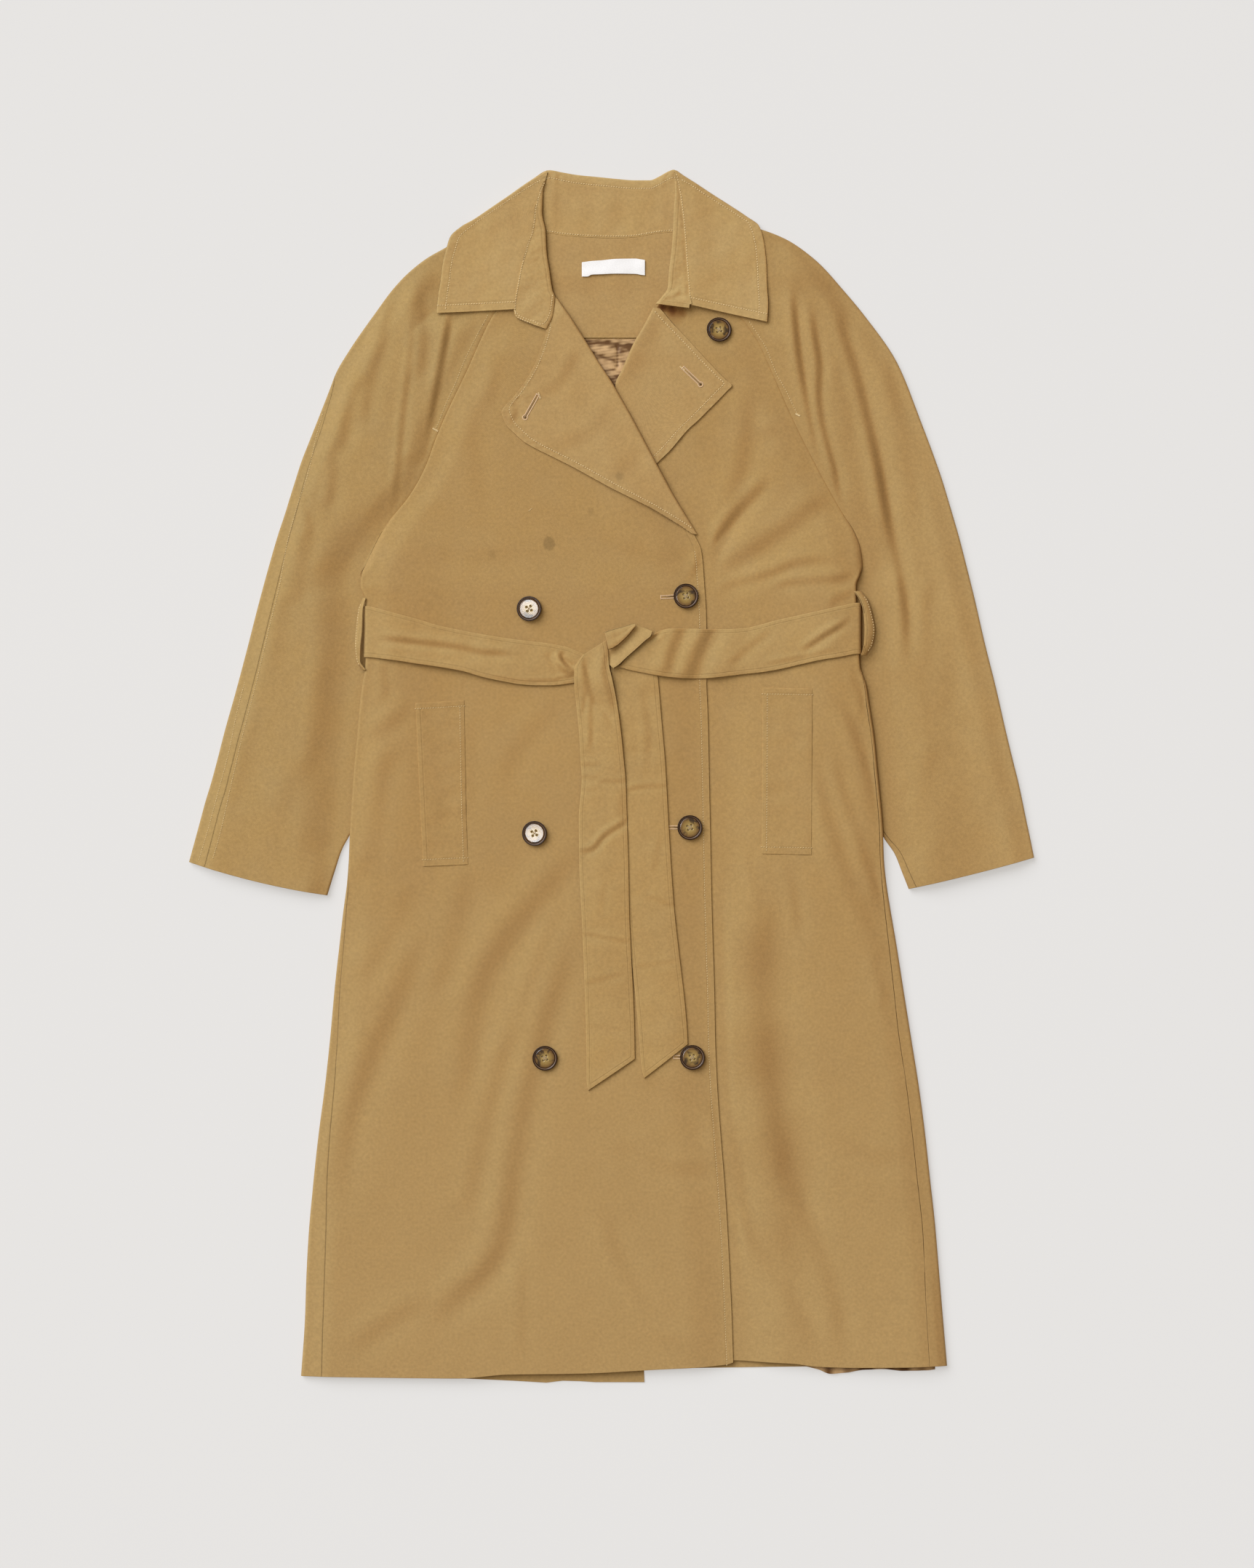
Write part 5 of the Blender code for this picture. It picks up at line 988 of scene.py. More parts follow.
def makeSleeve(name, nodes, rows, side, body, creases, steps, plan):
    table = np.array(rows, float) * mm
    middle = (table[:, :2] + table[:, 2:4]) / 2.0
    at = np.concatenate([[0.0], np.cumsum(np.hypot(*np.diff(middle, axis=0).T))])
    t = np.linspace(0.0, at[-1] - 0.006, plan["rows"])
    t = np.concatenate([t, at[-1] - np.array([4.0, 2.2, 0.9, 0.0]) * mm])[:, None]
    row = {label: throughPoints(at, table[:, k])(t) for k, label in enumerate(sleeveColumns)}
    length = np.hypot(row["outerX"] - row["innerX"], row["outerY"] - row["innerY"])
    dx, dy = (row["outerX"] - row["innerX"]) / length, (row["outerY"] - row["innerY"]) / length

    def top(x, y):
        inner = np.hypot(x - row["innerX"], y - row["innerY"])
        outer = np.hypot(x - row["outerX"], y - row["outerY"])
        beyond = np.abs(x) - np.abs(body["fold"](y))
        tucked = ease((0.056 - beyond) / 0.044)
        tucked = tucked * ease((y + 0.115) / 0.045) * ease((0.300 - y) / 0.090)
        puff = looseness["sleeve"] * ease(np.minimum(inner, outer) / 0.028 + 0.06)
        puff = puff * ease(np.maximum(np.abs(x) - plan["leafX"] * mm, plan["leafY"] * mm - y) / 0.034)
        nearEdge = ease(np.minimum(inner, outer) / 0.010)
        folds = creaseField(x, y, creases) + creaseField(x, y, steps, stepProfile)
        loose = puff - folds * nearEdge
        loose += puff * (0.045 * ripple(x, y, 0.13, 7) + 0.012 * ripple(x, y, 0.040, 8))
        loose = softFloor(loose, looseness["soft"])
        return mixed(layer["sleeve"] + loose + leafLift(y), layer["tucked"], tucked)

    open_ = ease((-0.050 - row["innerY"]) / 0.040)
    reach = mixed(reachOf["raglan"], reachOf["side"], open_)
    x = row["innerX"] + side * layer["gap"] / 2.0
    inset = reach + layer["cloth"] / 2.0
    foot = (x + dx * inset, row["innerY"] + dy * inset)
    inner = {"x": x, "y": row["innerY"], "dx": -dx, "dy": -dy, "low": sleeveLow(*foot),
             "high": top(*foot), "reach": reach}
    outerInset = reachOf["side"] + layer["cloth"] / 2.0
    outerFoot = (row["outerX"] - dx * outerInset, row["outerY"] - dy * outerInset)
    outer = {"x": row["outerX"], "y": row["outerY"], "dx": dx, "dy": dy,
             "low": sleeveLow(*outerFoot), "high": top(*outerFoot), "reach": reachOf["side"]}
    halfGap = layer["gap"] / 2.0
    sewn = sewnShare(row["innerY"])[..., None]

    # the front of the sleeve, from the raglan seam out
    folded = bendPoints(inner, seamPlace(inner, row["innerSeam"]) + halfGap + sideColumns, top)
    sx, sy = x + dx * sideColumns, row["innerY"] + dy * sideColumns
    bodyTop = rightMid if side < 0 else leftMid
    seamZ = raglanZ(row["innerX"], row["innerY"], bodyTop)
    z = mixed(seamZ, top(sx, sy), rollOff(sideColumns[None, :], 3.4 * mm))
    innerPart = mixed(folded, np.stack([sx, sy, z], axis=-1), sewn)
    outerPart = bendPoints(outer, seamPlace(outer, row["outerSeam"]) + halfGap + sideColumns, top)
    shares = np.linspace(0.0, 1.0, plan["middle"] + 2)[1:-1]
    mx = mixed(innerPart[:, -1:, 0], outerPart[:, -1:, 0], shares)
    my = mixed(innerPart[:, -1:, 1], outerPart[:, -1:, 1], shares)
    across = np.stack([mx, my, top(mx, my)], axis=-1)
    grid = np.concatenate([innerPart, across, outerPart[:, ::-1]], axis=1)

    def bowed(grid):
        along = np.linspace(0.0, 1.0, 2)
        part = np.hypot(grid[..., 0] - row["innerX"], grid[..., 1] - row["innerY"]) / length
        part = np.clip(part, 0.0, 1.0)
        near = ease(1.0 - (at[-1] - t) / 0.05)
        grid[..., 1] -= plan["cuffBow"] * mm * 4.0 * part * (1.0 - part) * near
        return grid

    front = shell(name + "Front", bowed(grid)[::-1], plan["cloth"], node=nodes[0])

    # the back of the sleeve, on the floor and round both edges to the seams
    turns = np.linspace(0.0, 1.0, 8)[1:]
    innerEnd = seamPlace(inner, row["innerSeam"]) - halfGap
    folded = bendPoints(inner, innerEnd * turns, top)
    sx = mixed(foot[0], x, turns)
    sy = mixed(foot[1], row["innerY"], turns)
    own = backMid(x, row["innerY"])
    seamZ = layer["floor"] + 0.3 * (own - layer["floor"])
    z = mixed(seamZ, sleeveLow(sx, sy), rollOff(np.hypot(sx - x, sy - row["innerY"]), 3.0 * mm))
    innerPart = mixed(folded, np.stack([sx, sy, z], axis=-1), sewn)
    shares = np.linspace(0.0, 1.0, 12)
    fx, fy = mixed(foot[0], outerFoot[0], shares), mixed(foot[1], outerFoot[1], shares)
    flat = np.stack([fx, fy, sleeveLow(fx, fy)], axis=-1)
    outerEnd = seamPlace(outer, row["outerSeam"]) - halfGap
    turns = np.linspace(0.0, 1.0, plan["turns"] + 1)[1:]
    outerPart = bendPoints(outer, outerEnd * turns, top)
    grid = np.concatenate([innerPart[:, ::-1], flat, outerPart], axis=1)
    back = shell(name + "Back", bowed(grid)[::-1], plan["cloth"], node=nodes[1])
    return front, back


rightSleevePlan = {"rows": 190, "middle": 46, "turns": 14, "cuffBow": 3.4, "leafX": 176, "leafY": 486, "cloth": sleeveCloth}
leftSleevePlan = {"rows": 190, "middle": 46, "turns": 9, "cuffBow": 1.2, "leafX": 158, "leafY": 478, "cloth": cuffCloth}
makeSleeve("sleeveRight", ("sleeve_right_front", "sleeve_right_back"), rightSleeveRows, -1,
           right, rightSleeveCreases, rightSleeveSteps, rightSleevePlan)
makeSleeve("sleeveLeft", ("sleeve_left_front", "sleeve_left_back"), leftSleeveRows, 1,
           left, leftSleeveCreases, leftSleeveSteps, leftSleevePlan)
print("sleeves ready")


def rungCurves(rungs, rows):
    # matching points along the two edges of a strip, made smooth
    table = np.array(rungs, float) * mm
    steps = (np.hypot(*np.diff(table[:, :2], axis=0).T) + np.hypot(*np.diff(table[:, 2:4], axis=0).T)) / 2.0
    at = np.concatenate([[0.0], np.cumsum(np.maximum(steps, 0.2 * mm))])
    t = np.linspace(0.0, at[-1], rows)[:, None]
    ax, ay, bx, by = [throughPoints(at, table[:, k])(t) for k in range(4)]
    return ax, ay, bx, by, t / at[-1]


def spreadShares(middle, edge=0.14, fine=4):
    # column shares across a strip, closer together at its two edges
    side = np.linspace(0.0, 1.0, fine + 1)[1:] ** 1.3 * edge
    inner = np.linspace(edge, 1.0 - edge, middle + 1)[1:-1]
    return np.concatenate([[0.0], side, inner, (1.0 - side)[::-1], [1.0]])


def makeStrip(name, node, rungs, height, plan, material, shape=None):
    # a flat piece between two edges, at a height that follows x and y
    ax, ay, bx, by, along = rungCurves(rungs, plan["rows"])
    share = spreadShares(plan["columns"], plan.get("edge", 0.14))
    x, y = mixed(ax, bx, share), mixed(ay, by, share)
    z = height(x, y)
    if shape:
        z = z + shape(share[None, :], along, x, y)
    grid = np.stack([x, y, z], axis=-1)
    return shell(name, grid, material, plan.get("wall", 1.1) * mm, plan.get("stitched"), node)


def bump2(value, centre, width):
    return np.exp(-(((value - centre) / width) ** 2))


# lapels: roll line to outer edge, from the collar down
lapelRightPlan = {
    "rows": 160, "columns": 40, "rollLift": 2.6, "stitched": {"right": 8.6}, "endY": 0.242,
    "standOff": 1.5, "curl": 1.3,
    "rungs": [
        (-57, 494, -68, 470), (-50, 484, -67, 457), (-42, 473, -72, 440), (-34, 460.5, -80, 420),
        (-26, 448, -90, 403), (-18, 435, -100, 390), (-10, 422, -110, 379), (-6, 416, -112.5, 374),
        (-2, 410, -111, 368), (3, 402, -107, 360), (8, 393, -100, 353), (14, 382.5, -90, 344),
        (20, 372, -80, 338), (28, 357, -60, 328), (37, 340, -40, 318), (46, 323, -20, 307),
        (55, 306.5, 0, 296), (63, 291.5, 20, 286), (71, 278, 40, 276), (78, 266.5, 58, 265.5),
        (84, 257, 72, 257), (89, 248.5, 83, 249.5),
    ],
    "creases": [
        (9, 0.9, [(-30, 446), (-58, 400), (-92, 384)]),
        (12, 1.0, [(6, 392), (-24, 352), (-62, 338)]),
        (5, 1.1, [(-104, 384), (-98, 374), (-103, 362)]),
        (4, 0.7, [(-94, 392), (-88, 386)]),
        (13, 0.8, [(34, 340), (10, 318), (-8, 305)]),
    ],
}
lapelLeftPlan = {
    "rows": 110, "columns": 34, "rollLift": 2.6, "stitched": {"right": 8.6}, "endY": 0.400,
    "standOff": 0.5, "curl": 0.6,
    "rungs": [
        (43, 482, 50.5, 481.5), (40.5, 477, 55, 476), (38, 472, 60, 470), (31, 459, 80, 448),
        (25, 449, 100, 426), (20, 439, 118, 407.5), (17, 432, 124.5, 401.5), (14, 425, 120, 396.5),
        (11, 418, 110, 386), (4, 402, 100, 376), (4, 388, 90, 366), (13, 370, 80, 357),
        (24, 348, 60, 334), (38, 324, 47, 321.5),
    ],
    "creases": [(8, 0.8, [(44, 470), (70, 430), (108, 400)]), (9, 0.9, [(24, 440), (60, 402), (84, 372)])],
}


def makeLapel(name, node, under, plan):
    # turned over at its roll line, from the front's edge round and out over the front
    ax, ay, bx, by, along = rungCurves(plan["rungs"], plan["rows"])
    length = np.hypot(bx - ax, by - ay)
    dx, dy = (ax - bx) / length, (ay - by) / length
    rolled = ease((ay - plan["endY"]) / 0.030) * ease((0.4945 - ay) / 0.016)
    lift = plan["rollLift"] * mm * rolled * ease(length / 0.030)
    corner = plan["rungs"][7 if ax[0, 0] < 0 else 6][2:]

    def top(x, y):
        away = np.hypot(x - ax, y - ay)
        outer = np.clip(1.0 - np.hypot(x - bx, y - by) / 0.022, 0.0, 1.0)
        z = under(x, y) + layer["step"] + lift * bump2(away, 0.0, 0.015)
        z = z + plan["standOff"] * mm * outer**2 * ease((along - 0.45) / 0.30) * ease((1.0 - along) / 0.08)
        fromCorner = np.hypot(x - corner[0] * mm, y - corner[1] * mm)
        z = z + plan["curl"] * mm * np.clip(1.0 - fromCorner / 0.020, 0.0, 1.0) ** 2
        z = z - np.minimum(creaseField(x, y, plan["creases"]), 0.5 * mm + lift * 0.5)
        wave = ripple(x, y, 0.0075, 21) * 0.10 * mm * np.clip(outer * 1.6 - 0.1, 0.0, 1.0)
        return z + wave + 0.12 * mm * ripple(x, y, 0.040, 22)

    reach = np.minimum(reachOf["roll"], length * 0.20)
    inset = reach + layer["cloth"] / 2.0
    baseX, baseY = ax - dx * inset, ay - dy * inset
    edge = {"x": ax, "y": ay, "dx": dx, "dy": dy, "low": under(baseX, baseY),
            "high": top(baseX, baseY), "reach": reach}
    bend = bendLength(edge)
    turned = bendPoints(edge, bend * np.linspace(0.16, 1.0, 11), top)
    flat = top(turned[..., 0], turned[..., 1])
    turned[..., 2] = mixed(np.maximum(turned[..., 2], flat * (1.0 - rolled)), turned[..., 2], rolled)
    shares = np.concatenate([np.linspace(0.0, 0.84, plan["columns"])[1:], np.linspace(0.84, 1.0, 12)[1:]])
    x = mixed(turned[:, -1:, 0], bx, shares)
    y = mixed(turned[:, -1:, 1], by, shares)
    grid = np.concatenate([turned, np.stack([x, y, top(x, y)], axis=-1)], axis=1)
    return shell(name, grid, lapelCloth, node=node, stitched=plan["stitched"])


makeLapel("lapelRight", "lapel_right", rightMid, lapelRightPlan)
makeLapel("lapelLeft", "lapel_left", leftMid, lapelLeftPlan)

# collar leaves: from the stand out to the edge, from the fold at the neck down
leafRightPlan = {
    "rows": 120, "columns": 30, "stitched": {"right": 9.0, "bottom": 9.0},
    "rungs": [
        (-65.6, 621.4, -67.4, 623.4), (-67, 615, -74, 619), (-71, 605, -88, 610), (-74.5, 595, -104, 598.5),
        (-77.5, 583, -122, 586.2), (-79, 571, -140, 574), (-81, 559, -156, 564),
        (-85, 548, -165.5, 555), (-88, 537, -169.5, 543), (-91, 527, -173, 530),
        (-94, 513, -176, 507), (-97, 497, -178, 495), (-100, 480, -180, 476),
    ],
}
leafLeftPlan = {
    "rows": 120, "columns": 30, "stitched": {"right": 9.0, "bottom": 9.0},
    "rungs": [
        (66, 621.4, 68, 623.4), (68, 615, 74, 619), (70, 605, 88, 610), (72, 594, 104, 599.5), (73.5, 582, 122, 588),
        (75, 570, 140, 576), (76, 558, 152, 567), (77, 545, 156, 557), (78, 532, 159, 540),
        (79, 518, 160.5, 520), (80, 505, 161, 503), (81, 494, 162, 486), (83, 484.5, 161, 467),
    ],
}


leafSeam = {}  # where each leaf is joined to its stand, x by y
for side, plan in ((-1, leafRightPlan), (1, leafLeftPlan)):
    joined = np.array([(rung[1], rung[0]) for rung in plan["rungs"][::-1]]) * mm
    leafSeam[side] = throughPoints(joined[:, 0], joined[:, 1])


def leafMid(x, y):
    beside = ease((0.110 - x) / 0.026) * (x > 0.0)
    crown = 0.35 * mm * ripple(x, y, 0.090, 31) + 0.10 * mm * ripple(x, y, 0.024, 32)
    return mixed(layer["leaf"], layer["leafFold"], beside) + crown


def makeLeaf(name, node, plan):
    ax, ay, bx, by, along = rungCurves(plan["rungs"], plan["rows"])
    side = 1 if bx[0, 0] > 0.0 else -1
    ax = leafSeam[side](ay) - side * (0.9 if side > 0 else 0.5) * mm
    length = np.hypot(bx - ax, by - ay)
    dx, dy = (bx - ax) / length, (by - ay) / length
    folded = ease((by - 0.566) / 0.006)

    def top(x, y):
        fromEdge = np.hypot(x - bx, y - by)
        hem = np.clip(1.0 - (1.0 - along) * length.max() * 1.6 / 0.030, 0.0, 1.0)
        lip = 0.9 * mm * hem**2 + 0.5 * mm * np.clip(1.0 - fromEdge / 0.015, 0.0, 1.0) * (1.0 - folded)
        wave = ripple(x, y, 0.008, 33) * 0.07 * mm * np.clip(1.2 - fromEdge / 0.012, 0.0, 1.0)
        return leafMid(x, y) + lip + wave

    inset = reachOf["leaf"] + layer["cloth"] / 2.0
    high = top(bx - dx * inset, by - dy * inset)
    low = mixed(high - 1.0 * mm, layer["floor"], folded)
    edge = {"x": bx, "y": by, "dx": dx, "dy": dy, "low": low, "high": high, "reach": reachOf["leaf"]}
    bend = bendLength(edge)
    turned = bendPoints(edge, bend * np.linspace(1.0, 0.515, 8), top)
    shares = np.concatenate([np.linspace(0.0, 0.82, plan["columns"]), np.linspace(0.82, 1.0, 12)[1:]])
    x = mixed(ax, turned[:, :1, 0], shares)
    y = mixed(ay, turned[:, :1, 1], shares)
    flat = np.stack([x, y, top(x, y)], axis=-1)
    grid = np.concatenate([flat[:, :-1], turned], axis=1)
    return shell(name, grid[::-1], collarCloth, node=node, stitched=plan["stitched"])


makeLeaf("collarLeafRight", "collar_leaf_right", leafRightPlan)
makeLeaf("collarLeafLeft", "collar_leaf_left", leafLeftPlan)

# the stand that lies folded out beside the neck: neck edge to the leaf's seam
standRightPlan = {
    "rows": 116, "columns": 16, "stitched": {"left": 6.0, "right": 1.6, "top": 5.0}, "lip": 0.0, "roll": (6.0, 0.5),
    "rungs": [
        (-67.4, 612.5, -68.6, 612), (-69.5, 602, -72.1, 601.5), (-70.5, 580, -77.95, 579), (-67, 560, -80.9, 559),
        (-66, 540, -87.6, 538), (-63, 520, -93.05, 517), (-60, 500, -96.9, 497),
        (-57.5, 492, -99.9, 480), (-59, 476, -98.5, 473.5), (-66, 459.5, -80, 464.2),
    ],
}
standLeftPlan = {
    "rows": 106, "columns": 14, "stitched": {"left": 6.0, "top": 4.0}, "lip": 2.8, "roll": (3.4, 0.25),
    "creases": [(4.5, 1.3, [(54, 506), (64, 498), (79, 494)]), (3.5, 1.1, [(50, 491), (62, 492), (74, 500)])],
    "rungs": [
        (65.4, 612.5, 68.6, 612), (65.6, 602, 70.5, 601.5), (64.3, 580, 73.8, 579), (63.5, 560, 75.8, 559),
        (62, 540, 77.4, 539), (59.5, 520, 78.8, 519), (58, 502, 80.3, 501), (53, 494, 81.5, 491),
        (45.6, 485.6, 80.5, 481.0),
    ],
}


def makeStand(name, node, plan):
    ax, ay, bx, by, along = rungCurves(plan["rungs"], plan["rows"])
    side = 1 if bx[0, 0] > 0.0 else -1
    bx = np.where(by > 0.4855, leafSeam[side](by) + side * (0.5 if side > 0 else 0.9) * mm, bx)
    length = np.hypot(bx - ax, by - ay)
    dx, dy = (ax - bx) / length, (ay - by) / length

    def top(x, y):
        away = np.hypot(x - ax, y - ay)
        wave = 0.20 * mm * ripple(x, y, 0.026, 41) + 0.05 * mm * ripple(x, y, 0.009, 42)
        underLeaf = 0.5 * mm * ease((np.abs(x) - np.abs(leafSeam[side](y)) + 0.005) / 0.005) * ease((y - 0.486) / 0.006)
        end = plan["lip"] * mm * ease((0.503 - y) / 0.014)
        over = 0.7 * mm if side < 0 else -underLeaf
        crumple = creaseField(x, y, plan.get("creases", [])) * ease(away / 0.004)
        return layer["stand"] + wave * ease(away / 0.006) + over + end - np.minimum(crumple, 1.0 * mm)

    reach = np.minimum(plan["roll"][0] * mm, length * plan["roll"][1])
    inset = reach + layer["cloth"] / 2.0
    high = top(ax - dx * inset, ay - dy * inset)
    edge = {"x": ax, "y": ay, "dx": dx, "dy": dy, "low": np.full_like(high, 6.9 * mm),
            "high": high, "reach": reach}
    turned = bendPoints(edge, bendLength(edge) * np.linspace(0.22, 1.0, 9), top)
    shares = spreadShares(plan["columns"])[1:]
    x = mixed(turned[:, -1:, 0], bx, shares)
    y = mixed(turned[:, -1:, 1], by, shares)
    grid = np.concatenate([turned, np.stack([x, y, top(x, y)], axis=-1)], axis=1)
    return shell(name, grid, collarCloth, node=node, stitched=plan["stitched"])


makeStand("collarStandRight", "collar_stand_right", standRightPlan)
makeStand("collarStandLeft", "collar_stand_left", standLeftPlan)

# collar at the back: x, neck seam, top fold, height there
standBackRows = [
    (-73, 560, 619.4, 5.9), (-63, 559, 624.2, 5.9), (-50, 557, 622, 5.2), (-35, 555.5, 619.5, 4.8),
    (-15, 554.5, 617.5, 4.8), (5, 554, 615.5, 4.8), (25, 555, 614, 4.8), (40, 557.5, 614, 4.8),
    (50, 559, 618, 5.2), (60, 560, 623.4, 5.7), (64.5, 560.2, 624.8, 5.8),
    (69.5, 560.5, 622.4, 5.8),
]
leafBackRows = [
    (-145, 545, 570.5, 8.2), (-122, 540, 586.2, 8.2), (-100, 535, 601, 8.2), (-80, 532, 615.5, 8.2),
    (-64, 530, 624.5, 5.0), (-50, 530, 622, 5.0), (-35, 530, 619.5, 5.0), (-15, 530, 617.5, 5.0),
    (5, 530, 615.5, 5.0), (25, 530, 614, 5.0), (40, 530, 614, 5.0), (50, 530, 618, 5.0),
    (64, 530, 624.2, 5.0), (80, 532, 615, 8.2), (100, 535, 602, 8.2), (122, 540, 588, 8.2),
    (145, 545, 572, 8.2),
]


def collarEdge(x, foldY, high):
    return {"x": x, "y": foldY, "dx": 0.0, "dy": 1.0, "low": np.full_like(x, layer["floor"]),
            "high": high, "reach": reachOf["side"]}


def makeStandBack():
    row = tableCurves(standBackRows, ["seam", "fold", "high"])
    x = np.linspace(-73.0, 69.5, 112)[:, None] * mm
    seamY, foldY, high = row["seam"](x), row["fold"](x), row["high"](x)

    def top(x, y):
        rise = ease((y - seamY) / 0.045)
        ends = ease((np.abs(x) - 0.040) / 0.018)
        pucker = 0.28 * mm * np.sin(x / (3.6 * mm)) * ends * bump2(y, 0.590, 0.030)
        fall = 0.15 * mm * bump2(y - seamY, 0.0, 0.0022)
        wave = 0.20 * mm * ripple(x, y, 0.035, 51) * ease((y - seamY) / 0.012)
        base = mixed(layer["facing"] + layer["leafLift"] * 0.75, high, rise)
        pucker = pucker + 0.30 * mm * np.sin(x / (1.35 * mm)) * ends * bump2(y - foldY, -0.005, 0.007)
        return base + pucker + wave - fall + 0.5 * mm * bump2(y - foldY, -0.009, 0.006)

    edge = collarEdge(x, foldY, high)
    turned = bendPoints(edge, bendLength(edge) * np.linspace(0.53, 1.0, 8), top)
    shares = np.concatenate([np.linspace(0.0, 0.30, 14)[1:], np.linspace(0.30, 1.0, 24)[1:]])
    y = mixed(turned[:, -1:, 1], seamY, shares)
    flat = np.stack([x + 0.0 * y, y, top(x, y)], axis=-1)
    grid = np.concatenate([turned, flat], axis=1)[:, ::-1].transpose(1, 0, 2)
    return shell("collarStandBack", grid, collarCloth, node="collar_stand_back",
                 stitched={"top": 9.5, "bottom": 2.2})


def makeLeafBack():
    row = tableCurves(leafBackRows, ["seam", "fold", "high"])
    x = np.linspace(-145.0, 145.0, 100)[:, None] * mm
    seamY, foldY, high = row["seam"](x), row["fold"](x), row["high"](x)
    edge = collarEdge(x, foldY, high)
    turned = bendPoints(edge, bendLength(edge) * np.linspace(0.0, 0.50, 8), lambda x, y: high)
    shares = np.linspace(0.0, 1.0, 14)[:-1]
    y = mixed(seamY, turned[:, :1, 1], shares)
    flat = np.stack([x + 0.0 * y, y, layer["floor"] + 0.0 * y], axis=-1)
    grid = np.concatenate([flat, turned], axis=1).transpose(1, 0, 2)
    return shell("collarLeafBack", grid, collarCloth, node="collar_leaf_back", stitched={"bottom": 9.0})


makeStandBack()
makeLeafBack()
print("collar ready")


def makeSatin(name, look):
    material, tree, shader = newMaterial(name, 0.42)
    shader.inputs["Specular IOR Level"].default_value = 0.12
    shader.inputs["Anisotropic"].default_value = 0.4
    place = addNode(tree, "ShaderNodeTexCoord").outputs["Object"]
    cloth = addNode(tree, "ShaderNodeUVMap", uv_map="cloth").outputs["UV"]
    weave = useGroup(tree, "twill", {"Vector": cloth, "Pitch": 0.0004, "Depth": 0.010})
    cloudy = useGroup(tree, "mottle", {"Vector": place, "Amount": 0.12})
    height = noise(tree, place, 160.0, 2.0, 0.5, 0.6)
    # painted sheen and shade: the lining is mixed from a light tone for its sheen and a dark one for the shade in its
    # pleats
    paintedSheenAndShade = addNode(tree, "ShaderNodeAttribute", attribute_name="paintedSheenAndShade").outputs["Fac"]
    shade = calc(tree, "MULTIPLY", weave["Shade"], cloudy["Shade"])
    grey = addNode(tree, "ShaderNodeCombineColor", {0: shade, 1: shade, 2: shade}).outputs[0]
    tone = mixColour(tree, paintedSheenAndShade, (*look["light"], 1.0), (*look["dark"], 1.0))
    tree.links.new(mixColour(tree, 1.0, tone, grey, "MULTIPLY"), shader.inputs["Base Color"])
    tree.links.new(ramp(tree, cloudy["Warmth"], 0.0, 1.0, 0.34, 0.44), shader.inputs["Roughness"])
    bumpHeight = calc(tree, "ADD", weave["Height"], calc(tree, "MULTIPLY", height, 0.25))
    bump = addNode(tree, "ShaderNodeBump", {"Strength": 1.0, "Distance": mm, "Height": bumpHeight})
    tree.links.new(bump.outputs["Normal"], shader.inputs["Normal"])
    return material


satin = makeSatin("satinLining", {"light": (0.56, 0.365, 0.180), "dark": (0.130, 0.060, 0.020)})


def makeTape(name, colour):
    material, tree, shader = newMaterial(name, 0.62)
    place = addNode(tree, "ShaderNodeTexCoord").outputs["Object"]
    cloth = addNode(tree, "ShaderNodeUVMap", uv_map="cloth").outputs["UV"]
    weave = useGroup(tree, "twill", {"Vector": cloth, "Pitch": 0.0005, "Depth": 0.02})
    cloudy = useGroup(tree, "mottle", {"Vector": place, "Amount": 0.05})
    shade = calc(tree, "MULTIPLY", weave["Shade"], cloudy["Shade"])
    grey = addNode(tree, "ShaderNodeCombineColor", {0: shade, 1: shade, 2: shade}).outputs[0]
    tree.links.new(mixColour(tree, 1.0, (*colour, 1.0), grey, "MULTIPLY"), shader.inputs["Base Color"])
    tree.links.new(ramp(tree, cloudy["Warmth"], 0.0, 1.0, 0.58, 0.66), shader.inputs["Roughness"])
    bump = addNode(tree, "ShaderNodeBump", {"Strength": 1.0, "Distance": mm, "Height": weave["Height"]})
    tree.links.new(bump.outputs["Normal"], shader.inputs["Normal"])
    return material


tape = makeTape("labelTape", (0.90, 0.90, 0.90))

# inside of the neck: height, left and right side
facingRows = [(451.5, -42, 39), (470, -54, 50), (490, -68, 64), (510, -72, 69), (535, -73, 70), (562, -73, 69.5)]
satinRows = [(450.2, -42, 39), (435, -32, 32), (415, -20, 23), (390, -5, 15)]
labelPlan = {
    "rows": 60, "columns": 16, "wall": 0.6,
    "rungs": [(-30, 529, -30, 514.3), (-24, 529.8, -24, 514.3), (-21, 530.2, -20, 516.2), (-10, 531, -10, 516.6),
              (5, 532.4, 5, 517.2), (25, 532.8, 25, 517), (31, 532, 31, 516), (35, 531.4, 35, 515.6)],
}
neckPlan = {"rows": 70, "columns": 60, "wall": 0.9}
satinPlan = {"rows": 72, "columns": 48, "wall": 0.8}


def rowsToRungs(rows):
    return [(low, y, high, y) for y, low, high in rows]


def neckShape(x, y):
    return 0.15 * mm * ripple(x, y, 0.045, 61) - 0.3 * mm * ease((0.4575 - y) / 0.004)


def satinFolds(x, y):
    # pleats of the lining under the facing: slanting rows, one down the middle
    slant = y + 0.10 * x
    z = 0.9 * mm * bump2(slant, 0.4365, 0.0034) - 0.8 * mm * bump2(slant, 0.4450, 0.0034)
    z = z + 0.8 * mm * bump2(y + 0.45 * x, 0.4195, 0.0056) - 0.6 * mm * bump2(y + 0.25 * x, 0.4290, 0.0026)
    return z - 0.9 * mm * bump2(x, 0.0064, 0.0022) * ease((0.445 - y) / 0.004) * ease((y - 0.418) / 0.004)
